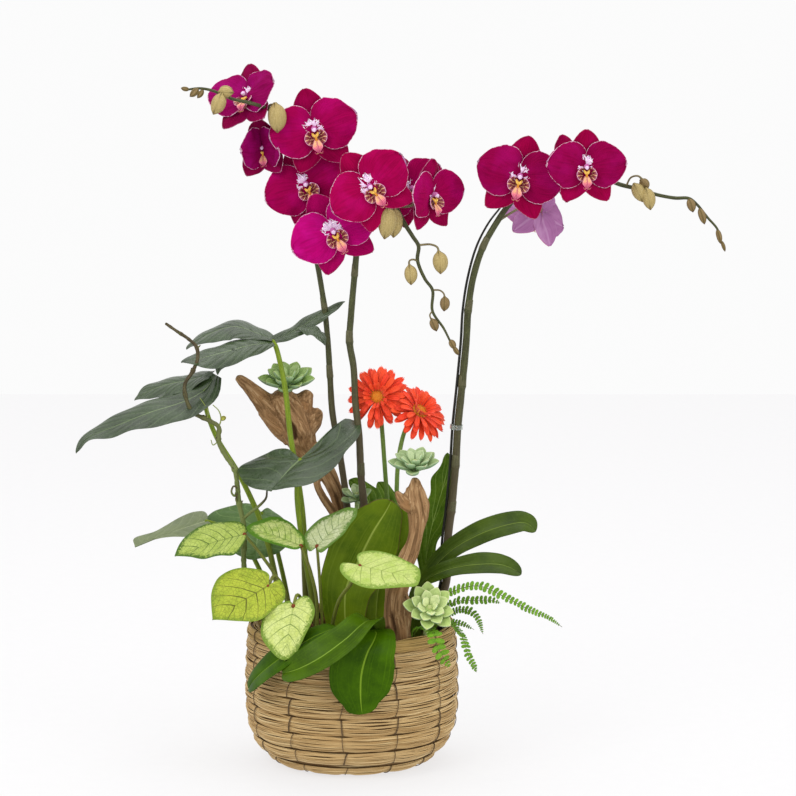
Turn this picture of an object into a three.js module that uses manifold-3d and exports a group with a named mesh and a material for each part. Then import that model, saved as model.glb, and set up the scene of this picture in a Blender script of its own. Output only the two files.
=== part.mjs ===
// Moth orchid arrangement in a round reed basket.
// Millimetres, +Z up. The origin is the centre of the basket's foot, on the surface it stands on.
// +X is to the right and -Y to the front as the arrangement is looked at.
// Pieces: a coiled reed basket, its plastic liner, growing mix and moss, three flower spikes with
// buds, their blooms, strap leaves, stalked foliage leaves, gerberas, rosette succulents,
// driftwood, a climbing vine, fern fronds, a flower stake and its clip.
import * as THREE from "three";
import { mergeVertices } from "three/addons/utils/BufferGeometryUtils.js";
import Module from "manifold-3d";

const wasm = await Module();
wasm.setup();

// ---- driving dimensions -----------------------------------------------------
const GAP = 0.35; // clearance left between neighbouring pieces
const BASKET_HEIGHT = 147;
const BASKET_WALL = 8.5;
const BASKET_SEGMENTS = 24;
const COIL_EDGES = [0, 15, 32, 49.5, 67.5, 86, 103.5, 119, 134.5, BASKET_HEIGHT]; // heights where two coils meet
const BASKET_PROFILE = [ // height, outer radius over the coils' crests
  [0, 74], [8, 88], [16, 97.5], [26, 104.5], [38, 109.5], [52, 112.2],
  [70, 113], [90, 113], [110, 112.3], [128, 111.2], [147, 110],
];
const COIL_DEPTH = 2.6; // how far the joint between two coils lies inside the crests
const LINER_RADIUS = 100.6;
const LINER_WALL = 1.2;
const LINER_TOP = 138;
const SOIL_TOP = 129;
const LEAF_THICKNESS = 1.3;
const STRAP_THICKNESS = 2.2;
const TEPAL_THICKNESS = 1.3;
const FROND_THICKNESS = 1.0;

// ---- the pieces' own sizes and places, millimetres ---------------------------
const PIECES = {
 spikes: {
  flower_spike_left: {
   pts: [[-0.6, 46.0, 100.0, 4.2], [-1.5, 46.0, 205.0, 4.0], [-5.6, 44.0, 265.2, 3.7], [-12.9, 41.0, 319.8, 3.5], [-20.7, 38.0, 365.5, 3.4], [-23.2, 36.0, 405.4, 3.2], [-25.2, 35.0, 440.8, 3.1], [-28.7, 34.0, 478.1, 3.0], [-34.9, 33.0, 518.5, 2.9], [-41.6, 32.0, 554.5, 2.7], [-48.7, 30.0, 592.5, 2.6], [-56.9, 27.0, 628.4, 2.4], [-66.9, 20.0, 658.9, 2.3], [-76.6, 4.0, 679.2, 2.1], [-86.0, -16.0, 689.6, 2.0], [-102.6, -33.0, 695.8, 1.9], [-121.8, -38.0, 700.5, 1.7], [-141.0, -40.0, 708.7, 1.5], [-154.2, -41.0, 710.9, 1.3], [-165.4, -41.0, 709.7, 1.1]],
   rings: [3, 5, 7, 9],
   ped: [[[-41.6, 32.0, 552.4, 1.4], [-30.6, 16.0, 559.9, 1.4], [-18.7, -2.0, 562.8, 1.6]], [[-48.7, 30.0, 592.5, 1.4], [-46.5, 27.0, 603.2, 1.4], [-45.8, 21.0, 608.8, 1.6]], [[-56.9, 27.0, 628.4, 1.4], [-47.1, 18.0, 649.6, 1.4], [-38.2, 1.0, 665.9, 1.6]], [[-66.9, 20.0, 658.9, 1.4], [-77.9, 31.0, 652.2, 1.4], [-90.3, 27.0, 648.2, 1.6]], [[-76.6, 4.0, 679.2, 1.3], [-88.0, 5.0, 689.5, 1.3], [-103.6, 6.5, 696.2, 1.6]], [[-85.0, -15.0, 689.1, 1.3], [-82.8, -18.0, 693.3, 1.2], [-77.6, -20.0, 693.3, 1.6]], [[-121.8, -38.0, 700.5, 1.1], [-124.6, -41.0, 706.1, 1.0], [-130.5, -44.0, 707.2, 1.3]], [[-123.8, -38.0, 701.0, 1.1], [-128.5, -44.0, 702.2, 1.0], [-132.4, -48.0, 701.8, 1.2]]],
   buds: [[[-77.6, -20.0, 694.4], [-75.2, -19.0, 665.6], 9.6], [[-133.7, -43.0, 707.2], [-118.8, -44.0, 706.7], 6.2], [[-130.8, -48.0, 705.3], [-139.1, -49.0, 685.0], 7.4], [[-155.1, -42.0, 710.7], [-163.3, -43.0, 702.6], 3.6], [[-164.4, -41.0, 709.7], [-172.5, -41.0, 711.2], 2.4], [[-150.0, -42.0, 709.2], [-155.7, -43.0, 701.1], 2.8]]
  },
  flower_spike_centre: {
   pts: [[20.2, 20.0, 100.0, 4.5], [17.0, 20.0, 209.9, 4.3], [12.9, 18.0, 268.6, 4.0], [9.8, 16.0, 303.3, 3.8], [7.8, 14.0, 346.4, 3.7], [4.2, 13.0, 378.5, 3.6], [2.2, 12.0, 417.9, 3.5], [-1.9, 11.0, 444.5, 3.6], [-0.3, 10.0, 473.1, 3.4], [3.5, 8.0, 515.4, 3.3], [7.2, 5.0, 551.3, 3.1], [12.6, 0.0, 577.7, 2.9], [20.9, -4.0, 594.6, 2.8], [33.4, -8.0, 599.0, 2.6], [45.4, -12.0, 588.9, 2.5], [55.7, -14.0, 570.9, 2.4], [64.6, -15.0, 557.0, 2.2], [70.3, -16.0, 547.7, 2.1], [69.2, -17.0, 533.2, 1.9], [77.0, -18.0, 513.5, 1.8], [84.8, -19.0, 502.2, 1.7], [84.8, -20.0, 480.4, 1.5], [96.3, -21.0, 462.7, 1.3], [103.1, -22.0, 449.3, 1.1]],
   rings: [3, 7, 9],
   ped: [[[20.9, -4.0, 594.6, 1.5], [21.1, -16.0, 603.7, 1.5], [21.2, -29.0, 608.5, 1.7]], [[33.4, -8.0, 599.0, 1.4], [46.9, 4.0, 604.6, 1.4], [58.4, 13.0, 606.1, 1.6]], [[45.4, -12.0, 588.9, 1.4], [61.4, -12.0, 588.9, 1.3], [75.9, -12.0, 598.2, 1.6]], [[46.9, -13.0, 587.9, 1.2], [42.8, -22.0, 587.5, 1.2], [38.2, -28.0, 588.4, 1.5]], [[49.0, -13.0, 584.8, 1.2], [46.9, -17.0, 585.1, 1.2], [45.9, -19.0, 583.2, 1.5]], [[70.8, -16.0, 548.7, 1.2], [83.2, -18.0, 549.4, 1.1], [89.9, -19.0, 546.4, 1.1], [91.2, -19.0, 540.7, 1.3]], [[69.2, -17.0, 532.2, 1.1], [64.5, -21.0, 534.1, 1.0], [60.7, -23.0, 532.7, 1.0], [60.9, -24.0, 526.5, 1.2]], [[84.8, -19.0, 502.2, 1.0], [92.6, -21.0, 501.9, 0.9], [96.7, -22.0, 498.3, 0.9], [97.2, -22.0, 494.1, 1.1]], [[84.8, -20.0, 480.4, 0.9], [82.0, -22.0, 476.4, 0.8], [83.8, -23.0, 471.3, 0.9]]],
   buds: [[[38.7, -28.0, 588.9], [35.1, -28.0, 556.4], 9.4], [[44.9, -16.0, 586.1], [44.3, -16.0, 557.0], 8.6], [[91.2, -19.0, 541.7], [93.1, -19.0, 519.4], 8.0], [[60.9, -24.0, 528.1], [62.5, -24.0, 508.4], 6.8], [[97.3, -22.0, 495.2], [96.8, -22.0, 480.6], 5.2], [[83.8, -23.0, 472.3], [89.0, -23.0, 459.8], 4.6], [[103.1, -22.0, 450.3], [107.8, -22.0, 440.9], 3.6], [[106.7, -22.0, 443.0], [111.9, -22.0, 434.6], 2.6]]
  },
  flower_spike_right: {
   pts: [[80.09589033261616, 17.56839070107234, 100.0, 4.6], [89.3, 19.5, 150.0, 4.6], [100.7, 22.0, 187.9, 4.5], [101.7, 21.0, 229.2, 4.4], [105.3, 20.0, 261.8, 4.3], [109.9, 17.0, 311.7, 4.1], [112.2, 14.0, 353.9, 4.0], [116.4, 10.0, 398.0, 3.9], [120.7, 6.0, 447.2, 3.8], [122.3, 3.0, 478.1, 3.7], [127.3, 1.0, 512.4, 3.5], [137.1, -1.0, 544.4, 3.4], [152.0, -2.0, 571.6, 3.2], [165.0, -2.0, 590.4, 3.0], [182.1, 0.0, 606.9, 2.8], [207.1, 2.0, 618.2, 2.6], [233.1, 2.0, 622.3, 2.4], [258.9, -1.0, 618.3, 2.3], [280.6, -4.0, 610.4, 2.2], [301.2, -6.0, 605.7, 2.1], [316.7, -8.0, 600.6, 1.9], [336.3, -9.0, 597.0, 1.8], [350.7, -10.0, 596.6, 1.7], [359.1, -10.0, 590.3, 1.5], [370.6, -11.0, 576.4, 1.3], [380.0, -12.0, 565.6, 1.2], [384.3, -12.0, 553.6, 1.0]],
   rings: [4, 5, 7, 9, 11],
   ped: [[[165.0, -2.0, 590.4, 1.5], [171.4, -8.0, 603.2, 1.5], [175.1, -16.0, 615.0, 1.7]], [[233.1, 2.0, 622.3, 1.4], [240.3, -14.0, 626.3, 1.4], [242.2, -33.0, 628.8, 1.6]], [[154.1, -2.0, 573.2, 1.5], [165.9, 8.0, 579.8, 1.4], [181.0, 20.0, 586.9, 1.4], [196.0, 26.0, 590.2, 1.6]], [[207.1, 2.0, 618.2, 1.3], [217.9, 10.0, 623.0, 1.3], [228.7, 17.0, 626.8, 1.5]], [[285.7, -5.0, 608.7, 1.1], [290.5, -8.0, 618.2, 1.0], [297.6, -10.0, 619.9, 1.0], [302.7, -11.0, 615.8, 1.3]], [[297.0, -6.0, 606.7, 1.0], [295.0, -12.0, 609.6, 1.0], [293.2, -15.0, 609.3, 1.2]], [[305.3, -7.0, 604.7, 1.0], [305.4, -12.0, 606.5, 1.0], [306.2, -15.0, 605.1, 1.2]]],
   buds: [[[293.1, -16.0, 611.9], [302.1, -16.0, 593.8], 6.8], [[305.4, -17.0, 607.3], [310.3, -17.0, 585.6], 6.9], [[300.2, -11.0, 615.8], [307.9, -12.0, 607.0], 5.2], [[350.7, -10.5, 596.1], [354.8, -13.0, 582.8], 4.6], [[361.7, -11.0, 586.3], [366.9, -13.0, 570.3], 3.9], [[380.3, -12.0, 564.5], [383.9, -12.5, 550.0], 3.0], [[384.9, -12.0, 552.6], [388.7, -12.0, 541.7], 2.0]]
  }
 },
 blooms: {
  bloom_left_1: {
   c: [-106.5, 2.0, 699.4],
   yaw: -32,
   pitch: 30,
   roll: 14,
   s: 42,
   cup: 24
  },
  bloom_left_2: {
   c: [-92.2, 22.0, 647.9],
   yaw: -5,
   pitch: -4,
   roll: 6,
   s: 37,
   cup: 64
  },
  bloom_left_3: {
   c: [-37.4, -6.0, 667.2],
   yaw: 0,
   pitch: 0,
   roll: 13,
   s: 47,
   cup: 14
  },
  bloom_left_4: {
   c: [-46.1, 15.0, 609.1],
   yaw: -4,
   pitch: 2,
   roll: 25,
   s: 46,
   cup: 14
  },
  bloom_left_5: {
   c: [-18.0, -8.0, 562.7],
   yaw: 3,
   pitch: -4,
   roll: 29,
   s: 47,
   cup: 12
  },
  bloom_centre_1: {
   c: [20.7, -36.0, 610.0],
   yaw: 2,
   pitch: 0,
   roll: 38,
   s: 46.5,
   cup: 14
  },
  bloom_centre_2: {
   c: [61.0, 20.0, 604.7],
   yaw: 32,
   pitch: 2,
   roll: 26,
   s: 41,
   cup: 14
  },
  bloom_centre_3: {
   c: [82.2, -8.0, 600.1],
   yaw: 47,
   pitch: -4,
   roll: 4,
   s: 41,
   cup: 18
  },
  bloom_right_1: {
   c: [174.3, -24.0, 619.6],
   yaw: 0,
   pitch: 0,
   roll: -12,
   s: 46.5,
   cup: 14
  },
  bloom_right_2: {
   c: [241.6, -42.0, 630.8],
   yaw: 2,
   pitch: -4,
   roll: 1,
   s: 41.5,
   cup: 14
  },
  bloom_right_3: {
   c: [198.4, 31.0, 580.9],
   yaw: 205,
   pitch: -30,
   roll: 24,
   s: 39,
   cup: 32
  },
  bloom_right_4: {
   c: [230.2, 24.0, 627.5],
   yaw: 28,
   pitch: 4,
   roll: 20,
   s: 38,
   cup: 14
  }
 },
 straps: {
  orchid_leaf_front: {
   pts: [[0.0, -50.0, 112.0], [9.0, -72.0, 150.0], [26.4, -96.0, 155.8], [24.4, -108.0, 150.0], [17.3, -116.0, 138.2], [11.7, -118.5, 117.9], [10.7, -119.0, 100.3], [11.2, -118.5, 86.6], [12.5, -117.5, 75.6]],
   w: [7, 9, 17, 24, 31, 33.5, 30, 18, 1.5],
   n: [[0.195, 0.976, 0.098], [0.097, 0.679, 0.728], [0.0, -0.148, 0.989], [0.0, -0.6, 0.8], [0.0, -0.954, 0.301], [0.0, -0.995, 0.1], [0.0, -0.999, 0.05], [0.0, -0.999, 0.05], [0.0, -0.999, 0.05]],
   fold: 10
  },
  orchid_leaf_left_upper: {
   pts: [[28.0, -56.0, 112.0], [28.0, -74.0, 152.0], [18.2, -99.0, 167.9], [-5.0, -122.0, 153.1], [-30.2, -131.0, 136.4], [-52.8, -127.0, 124.1], [-69.0, -118.0, 117.8]],
   w: [7, 9, 14, 19, 20, 16, 1.5],
   n: [[-0.286, 0.953, 0.095], [-0.28, 0.466, 0.839], [-0.092, -0.37, 0.925], [-0.153, -0.56, 0.814], [-0.206, -0.639, 0.742], [-0.36, -0.7, 0.617], [-0.439, -0.731, 0.522]],
   fold: 24
  },
  orchid_leaf_left_lower: {
   pts: [[-24.0, -44.0, 112.0], [-21.0, -66.0, 150.0], [-12.8, -88.0, 159.3], [-36.1, -103.0, 153.1], [-68.7, -109.0, 133.5], [-95.5, -88.0, 107.7], [-106.3, -72.0, 91.3]],
   w: [7, 9, 12, 14, 15.5, 13, 1.5],
   n: [[0.282, 0.941, 0.188], [0.196, 0.588, 0.784], [0.0, -0.1, 0.995], [-0.303, -0.505, 0.808], [-0.445, -0.672, 0.593], [-0.59, -0.64, 0.492], [-0.721, -0.577, 0.384]],
   fold: 14
  },
  orchid_leaf_back: {
   pts: [[-3.7, -18.0, 112.0], [-5.8, -14.0, 184.3], [7.9, -8.0, 215.3], [22.6, -6.0, 244.9], [35.8, -8.0, 266.6], [42.2, -12.0, 279.5]],
   w: [14, 28, 36, 32, 20, 1.5],
   n: [[-0.192, -0.962, 0.192], [0.098, -0.976, 0.195], [0.195, -0.877, 0.439]],
   fold: 10
  },
  orchid_leaf_back_right: {
   pts: [[24.7, -6.0, 112.0], [27.8, 2.0, 181.0], [38.4, 8.0, 212.2], [49.0, 8.0, 240.2], [52.2, 6.0, 267.9]],
   w: [9, 16, 22, 20, 1.5],
   n: [[0.279, -0.931, 0.233], [0.346, -0.89, 0.297], [0.346, -0.89, 0.297]],
   fold: 14
  },
  orchid_leaf_right_upper: {
   pts: [[73.4, 0.0, 112.0], [76.5, 0.0, 186.8], [102.8, -6.0, 221.8], [133.1, -14.0, 242.0], [162.3, -20.0, 253.8], [182.1, -22.0, 256.8], [193.7, -22.0, 248.8]],
   w: [8, 10, 14, 16, 16, 13.5, 1.5],
   n: [[-0.609, -0.508, 0.609], [-0.301, -0.622, 0.723], [0.351, -0.621, 0.701]],
   fold: 18
  },
  orchid_leaf_right_lower: {
   pts: [[65.9, -18.0, 112.0], [72.1, -22.0, 188.0], [95.1, -32.0, 206.5], [129.3, -44.0, 216.3], [158.2, -50.0, 216.9], [177.5, -50.0, 208.4]],
   w: [8, 10, 12.5, 15.5, 15, 1.5],
   n: [[-0.39, -0.488, 0.781], [-0.08, -0.551, 0.831], [0.249, -0.549, 0.798]],
   fold: 16
  }
 },
 leaves: {
  philodendron_leaf_centre: {
   a: [-53.1, -20.0, 324.4],
   m: [-68.2, -36.0, 311.6],
   t: [-82.7, -50.3, 296.5],
   w: 47.1,
   n: [-0.2, -0.55, 0.811],
   n2: [-0.2, -0.55, 0.811],
   stalk: [[-31.6, -2.0, 108.0, 3.4], [-45.1, -4.0, 193.0, 3.3], [-54.2, -8.0, 252.7, 3.1], [-57.0, -13.0, 290.9, 3.0], [-53.1, -20.0, 324.4, 2.6]],
   droop: 0.05,
   fold: 0.07,
   wave: 0.0,
   asym: 1.0,
   rim: {
    pos: [[1, 0], [1.047, 0.107], [1.12, 0.355], [1.101, 0.61], [0.983, 0.885], [0.836, 1.097], [0.701, 1.099], [0.495, 1.007], [0.191, 0.834], [0.03, 0.706], [-0.103, 0.434], [-0.052, 0.198], [-0.02, 0.03]],
    neg: [[1, 0], [0.96, 0.135], [0.824, 0.36], [0.673, 0.595], [0.451, 0.764], [0.128, 0.843], [-0.24, 0.889], [-0.609, 0.819], [-0.94, 0.779], [-1.295, 0.655], [-1.482, 0.384], [-1.485, 0.031], [-1.359, 0.02], [-1.123, 0.02], [-0.859, 0.02], [-0.567, 0.02], [-0.287, 0.02], [-0.02, 0.03]]
   }
  },
  philodendron_leaf_low_left: {
   a: [-155.5, 26.0, 251.0],
   m: [-193.9, 24.6, 238.3],
   t: [-231.4, 24.6, 223.2],
   w: 24.2,
   n: [-0.299, -0.458, 0.837],
   n2: [-0.299, -0.458, 0.837],
   stalk: [[-72.3, 38.7, 108.0, 2.8], [-96.8, 38.0, 190.2, 2.6], [-125.1, 32.0, 238.1, 2.4], [-155.5, 26.0, 251.0, 2.2]],
   droop: 0.05,
   fold: 0.07,
   wave: 0.0,
   asym: 1.0,
   rim: {
    pos: [[1, 0], [0.964, 0.576], [0.709, 0.483], [0.532, 0.646], [0.357, 0.848], [0.187, 0.929], [0.038, 0.812], [-0.032, 0.453], [-0.02, 0.03]],
    neg: [[1, 0], [0.891, 0.02], [0.721, 0.02], [0.508, 0.272], [0.313, 0.691], [0.119, 1.03], [-0.031, 1.071], [-0.088, 0.653], [-0.02, 0.03]]
   }
  },
  philodendron_leaf_low_back: {
   a: [-98.1, 52.0, 255.2],
   m: [-100.7, 32.1, 234.0],
   t: [-103.0, 14.5, 211.0],
   w: 46.4,
   n: [-0.05, -0.759, 0.649],
   n2: [-0.05, -0.759, 0.649],
   stalk: [[-60.9, 46.0, 108.0, 2.8], [-74.8, 50.0, 187.8, 2.6], [-90.7, 53.0, 245.2, 2.4], [-98.1, 52.0, 255.2, 2.2]],
   droop: 0.05,
   fold: 0.07,
   wave: 0.0,
   asym: 1.0,
   rim: {
    pos: [[1, 0], [1.001, 0.161], [0.951, 0.352], [0.83, 0.599], [0.638, 0.904], [0.416, 1.148], [0.211, 1.253], [0.051, 1.114], [-0.041, 0.894], [-0.117, 0.625], [-0.17, 0.399], [-0.153, 0.163], [-0.02, 0.03]],
    neg: [[1, 0], [0.967, 0.158], [0.912, 0.337], [0.803, 0.578], [0.654, 0.722], [0.443, 0.74], [0.249, 0.667], [0.099, 0.529], [-0.039, 0.322], [-0.134, 0.12], [-0.02, 0.03]]
   }
  },
  caladium_leaf_left: {
   a: [-111.5, -32.0, 246.9],
   m: [-148.3, -35.3, 237.4],
   t: [-184.5, -37.0, 225.5],
   w: 27.7,
   n: [-0.2, -0.55, 0.811],
   n2: [-0.2, -0.55, 0.811],
   stalk: [[-54.2, -22.0, 108.0, 2.0], [-72.8, -26.0, 188.8, 1.9], [-93.4, -29.0, 223.5, 1.8], [-111.5, -32.0, 246.9, 1.6]],
   droop: 0.05,
   fold: 0.07,
   wave: 0.0,
   asym: 1.0,
   rim: {
    pos: [[1, 0], [0.892, 0.438], [0.75, 0.879], [0.594, 1.084], [0.42, 1.106], [0.242, 0.991], [0.083, 0.789], [-0.016, 0.564], [-0.059, 0.238], [-0.02, 0.03]],
    neg: [[1, 0], [0.795, 0.379], [0.665, 0.615], [0.532, 0.785], [0.369, 0.888], [0.229, 0.897], [0.106, 0.716], [-0.002, 0.338], [-0.02, 0.03]]
   }
  },
  caladium_leaf_mid: {
   a: [-52.2, -40.0, 236.2],
   m: [-80.7, -34.4, 246.2],
   t: [-109.6, -26.9, 253.9],
   w: 18.2,
   n: [0.1, -0.619, 0.779],
   n2: [0.1, -0.619, 0.779],
   stalk: [[-39.2, -30.0, 108.0, 2.1], [-35.9, -33.0, 172.1, 2.0], [-43.0, -37.0, 210.1, 1.9], [-52.2, -40.0, 236.2, 1.7]],
   droop: 0.05,
   fold: 0.07,
   wave: 0.0,
   asym: 1.0,
   rim: {
    pos: [[1, 0], [0.935, 0.454], [0.847, 0.787], [0.714, 1.213], [0.552, 1.402], [0.364, 1.368], [0.175, 1.012], [0.03, 0.719], [-0.041, 0.427], [-0.02, 0.03]],
    neg: [[1, 0], [0.923, 0.327], [0.757, 0.565], [0.568, 0.627], [0.385, 0.625], [0.179, 0.509], [0.031, 0.366], [-0.02, 0.03]]
   }
  },
  caladium_leaf_upper: {
   a: [-35.3, -46.0, 237.0],
   m: [-14.8, -40.5, 256.7],
   t: [6.7, -32.9, 274.6],
   w: 18.5,
   n: [-0.36, -0.679, 0.639],
   n2: [-0.36, -0.679, 0.639],
   stalk: [[-28.8, -26.0, 108.0, 1.8], [-32.6, -36.0, 194.0, 1.7], [-35.3, -46.0, 237.0, 1.5]],
   droop: 0.05,
   fold: 0.07,
   wave: 0.0,
   asym: 1.0,
   rim: {
    pos: [[1, 0], [0.845, 0.446], [0.683, 0.571], [0.503, 0.711], [0.276, 0.723], [0.087, 0.669], [-0.033, 0.541], [-0.02, 0.03]],
    neg: [[1, 0], [0.889, 0.463], [0.763, 0.732], [0.585, 0.999], [0.395, 1.239], [0.153, 1.293], [0.025, 1.24], [-0.067, 0.919], [-0.146, 0.505], [-0.136, 0.059], [-0.02, 0.03]]
   }
  },
  caladium_leaf_low_left: {
   a: [-85.3, -66.0, 198.6],
   m: [-114.2, -74.7, 183.4],
   t: [-142.6, -81.0, 166.5],
   w: 34.0,
   n: [-0.12, -0.799, 0.589],
   n2: [-0.12, -0.799, 0.589],
   stalk: [[-55.7, -40.0, 108.0, 2.0], [-67.7, -50.0, 187.2, 1.9], [-79.6, -60.0, 208.3, 1.8], [-85.3, -66.0, 198.6, 1.6]],
   droop: 0.05,
   fold: 0.07,
   wave: 0.0,
   asym: 1.0,
   rim: {
    pos: [[1, 0], [0.897, 0.436], [0.81, 0.717], [0.701, 0.929], [0.562, 1.104], [0.396, 1.125], [0.218, 1.0], [0.027, 0.732], [-0.076, 0.529], [-0.106, 0.311], [-0.057, 0.136], [-0.02, 0.03]],
    neg: [[1, 0], [0.827, 0.262], [0.653, 0.535], [0.465, 0.809], [0.324, 0.874], [0.184, 0.814], [0.043, 0.755], [-0.088, 0.643], [-0.183, 0.4], [-0.202, 0.177], [-0.178, 0.02], [-0.111, 0.02], [-0.02, 0.03]]
   }
  },
  caladium_leaf_low_mid: {
   a: [-58.8, -84.0, 181.7],
   m: [-62.9, -102.7, 157.8],
   t: [-66.3, -119.1, 132.1],
   w: 27.9,
   n: [-0.281, -0.763, 0.582],
   n2: [-0.281, -0.763, 0.582],
   stalk: [[-47.0, -50.0, 108.0, 2.0], [-49.6, -62.0, 179.1, 1.9], [-55.3, -76.0, 191.4, 1.8], [-58.8, -84.0, 181.7, 1.6]],
   droop: 0.05,
   fold: 0.07,
   wave: 0.0,
   asym: 1.0,
   rim: {
    pos: [[1, 0], [0.958, 0.28], [0.818, 0.63], [0.64, 0.959], [0.456, 1.119], [0.268, 1.129], [0.118, 0.947], [-0.003, 0.676], [-0.069, 0.425], [-0.09, 0.161], [-0.02, 0.03]],
    neg: [[1, 0], [0.931, 0.257], [0.764, 0.485], [0.543, 0.692], [0.314, 0.849], [0.088, 0.873], [-0.082, 0.709], [-0.169, 0.482], [-0.172, 0.243], [-0.108, 0.087], [-0.02, 0.03]]
   }
  },
  caladium_leaf_right: {
   a: [9.7, -86.0, 223.8],
   m: [40.8, -91.9, 218.7],
   t: [71.5, -96.1, 211.2],
   w: 27.3,
   n: [0.08, -0.551, 0.831],
   n2: [0.08, -0.551, 0.831],
   stalk: [[-26.5, -36.0, 108.0, 2.0], [-13.2, -64.0, 180.6, 2.0], [1.6, -82.0, 206.3, 1.9], [9.7, -86.0, 223.8, 1.6]],
   droop: 0.05,
   fold: 0.07,
   wave: 0.0,
   asym: 1.0,
   rim: {
    pos: [[1, 0], [0.973, 0.383], [0.781, 0.62], [0.591, 0.847], [0.366, 1.043], [0.173, 1.083], [-0.024, 0.938], [-0.196, 0.664], [-0.296, 0.331], [-0.271, 0.063], [-0.172, 0.02], [-0.069, 0.02], [-0.02, 0.03]],
    neg: [[1, 0], [0.983, 0.247], [0.892, 0.632], [0.705, 0.741], [0.491, 0.871], [0.27, 0.916], [0.035, 0.85], [-0.076, 0.717], [-0.096, 0.45], [-0.02, 0.03]]
   }
  }
 },
 lobed_straps: {
  gerbera_leaf_right: {
   pts: [[67.0, 47.2, 112.0], [77.0, 50.0, 187.8], [83.3, 46.0, 232.3], [91.8, 42.0, 265.6], [99.2, 38.0, 293.3], [102.3, 34.0, 313.4], [101.6, 30.0, 323.7]],
   w: [3, 6, 13, 15, 12, 6, 1.2],
   n: [[-0.192, -0.962, 0.192], [-0.282, -0.941, 0.188], [-0.188, -0.941, 0.282]],
   fold: 16
  },
  gerbera_leaf_left: {
   pts: [[30.6, 62.0, 112.0], [28.5, 62.0, 191.0], [23.1, 60.0, 246.1], [12.5, 56.0, 275.2], [-3.5, 50.0, 291.4]],
   w: [3, 6, 12, 14, 1.5],
   n: [[0.095, -0.953, 0.286], [0.185, -0.74, 0.647], [-0.174, -0.696, 0.696]],
   fold: 12
  },
  gerbera_leaf_back: {
   pts: [[36.7, 73.3, 112.0], [39.2, 78.0, 187.9], [40.3, 78.0, 240.8], [35.0, 72.0, 270.3], [27.5, 66.0, 286.6]],
   w: [3, 6, 14, 13, 1.5],
   n: [[0.095, -0.953, 0.286], [0.185, -0.74, 0.647], [-0.174, -0.696, 0.696]],
   fold: 12
  }
 },
 gerberas: {
  gerbera_1: {
   c: [27.3, 27.0, 384.1],
   n: [-0.122, -0.967, 0.224],
   r: 33.5,
   stem: [[42.6, 30.0, 108.0, 2.5], [39.4, 32.0, 207.7, 2.5], [37.3, 34.0, 272.3, 2.5], [35.1, 35.0, 304.6, 2.4], [32.0, 35.0, 347.7, 2.4], [29.4, 33.5, 376.8, 2.5]]
  },
  gerbera_2: {
   c: [70.2, 27.0, 367.5],
   n: [0.501, -0.602, 0.622],
   r: 34,
   stem: [[51.1, 20.0, 108.0, 2.4], [49.0, 20.0, 209.9, 2.4], [47.4, 21.0, 274.5, 2.4], [50.1, 24.0, 322.4, 2.4], [57.5, 30.0, 350.5, 2.3], [64.9, 33.0, 360.3, 2.5]]
  }
 },
 rosettes: {
  succulent_top: {
   c: [-67.7, 47.0, 393.3],
   n: [0.0, -0.423, 0.906],
   r: 32.5,
   k: 16,
   h: 15
  },
  succulent_right: {
   c: [66.7, -32.0, 316.2],
   n: [0.0, -0.382, 0.924],
   r: 28.5,
   k: 16,
   h: 14
  },
  succulent_front: {
   c: [80.4, -86.0, 176.7],
   n: [0.121, -0.824, 0.553],
   r: 29.5,
   k: 18,
   h: 15,
   stem: [[80.4, -86.0, 176.7], [78.0, -62.0, 150.0], [74.0, -56.0, 112.0]]
  },
  succulent_small: {
   c: [5.2, 36.0, 273.1],
   n: [0.0, -0.503, 0.865],
   r: 20,
   k: 12,
   h: 12,
   stem: [[5.2, 36.0, 273.1], [4.0, 40.0, 200.0], [4.0, 42.0, 112.0]]
  }
 },
 woods: {
  driftwood_left: [[[-0.9, 66.0, 105.0, 10], [-5.0, 64.0, 201.6, 9], [-9.2, 60.0, 246.1, 8.5], [-16.5, 56.0, 274.1, 9], [-26.1, 53.0, 297.4, 9.5], [-43.1, 50.0, 317.4, 12], [-53.6, 48.0, 331.8, 16], [-59.9, 46.0, 348.2, 21], [-68.3, 44.0, 365.7, 22], [-75.6, 42.0, 377.8, 18]], [[-62.0, 46.0, 351.5, 21], [-82.1, 42.0, 366.0, 16], [-97.8, 38.0, 381.6, 10.5], [-110.2, 34.0, 395.0, 6.5], [-120.6, 31.0, 404.4, 3.6]], [[-64.1, 46.0, 362.2, 20], [-53.4, 46.0, 375.2, 14], [-46.9, 45.0, 384.4, 7]], [[-55.7, 48.0, 345.8, 18], [-42.8, 48.0, 357.7, 13], [-36.4, 47.0, 364.3, 7]], [[-52.6, 48.0, 335.0, 14], [-66.3, 44.0, 338.8, 10], [-81.0, 41.0, 348.9, 7], [-95.7, 38.0, 366.6, 5]], [[-36.8, 52.0, 301.9, 4], [-37.7, 44.0, 288.0, 4.5], [-31.1, 38.0, 274.9, 4.5], [-20.4, 36.0, 259.0, 5], [-11.0, 40.0, 238.8, 5.5]]],
  driftwood_right: [[[48.0, -64.0, 105.0, 13], [48.0, -66.0, 150.3, 13], [45.9, -63.0, 170.8, 12], [48.0, -54.0, 192.3, 12], [55.3, -44.0, 213.6, 9.5], [64.7, -38.0, 236.9, 8.5], [69.9, -36.0, 260.9, 9], [68.8, -36.0, 278.8, 11], [66.7, -35.0, 292.4, 9.5], [66.2, -34.0, 303.8, 6]], [[66.7, -36.0, 275.7, 9], [55.3, -37.0, 282.2, 7], [48.0, -37.0, 291.7, 3.6]], [[53.2, -58.0, 182.5, 9], [59.4, -64.0, 171.1, 6], [58.3, -68.0, 152.9, 4]]]
 },
 vine: {
  vine: {
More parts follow.
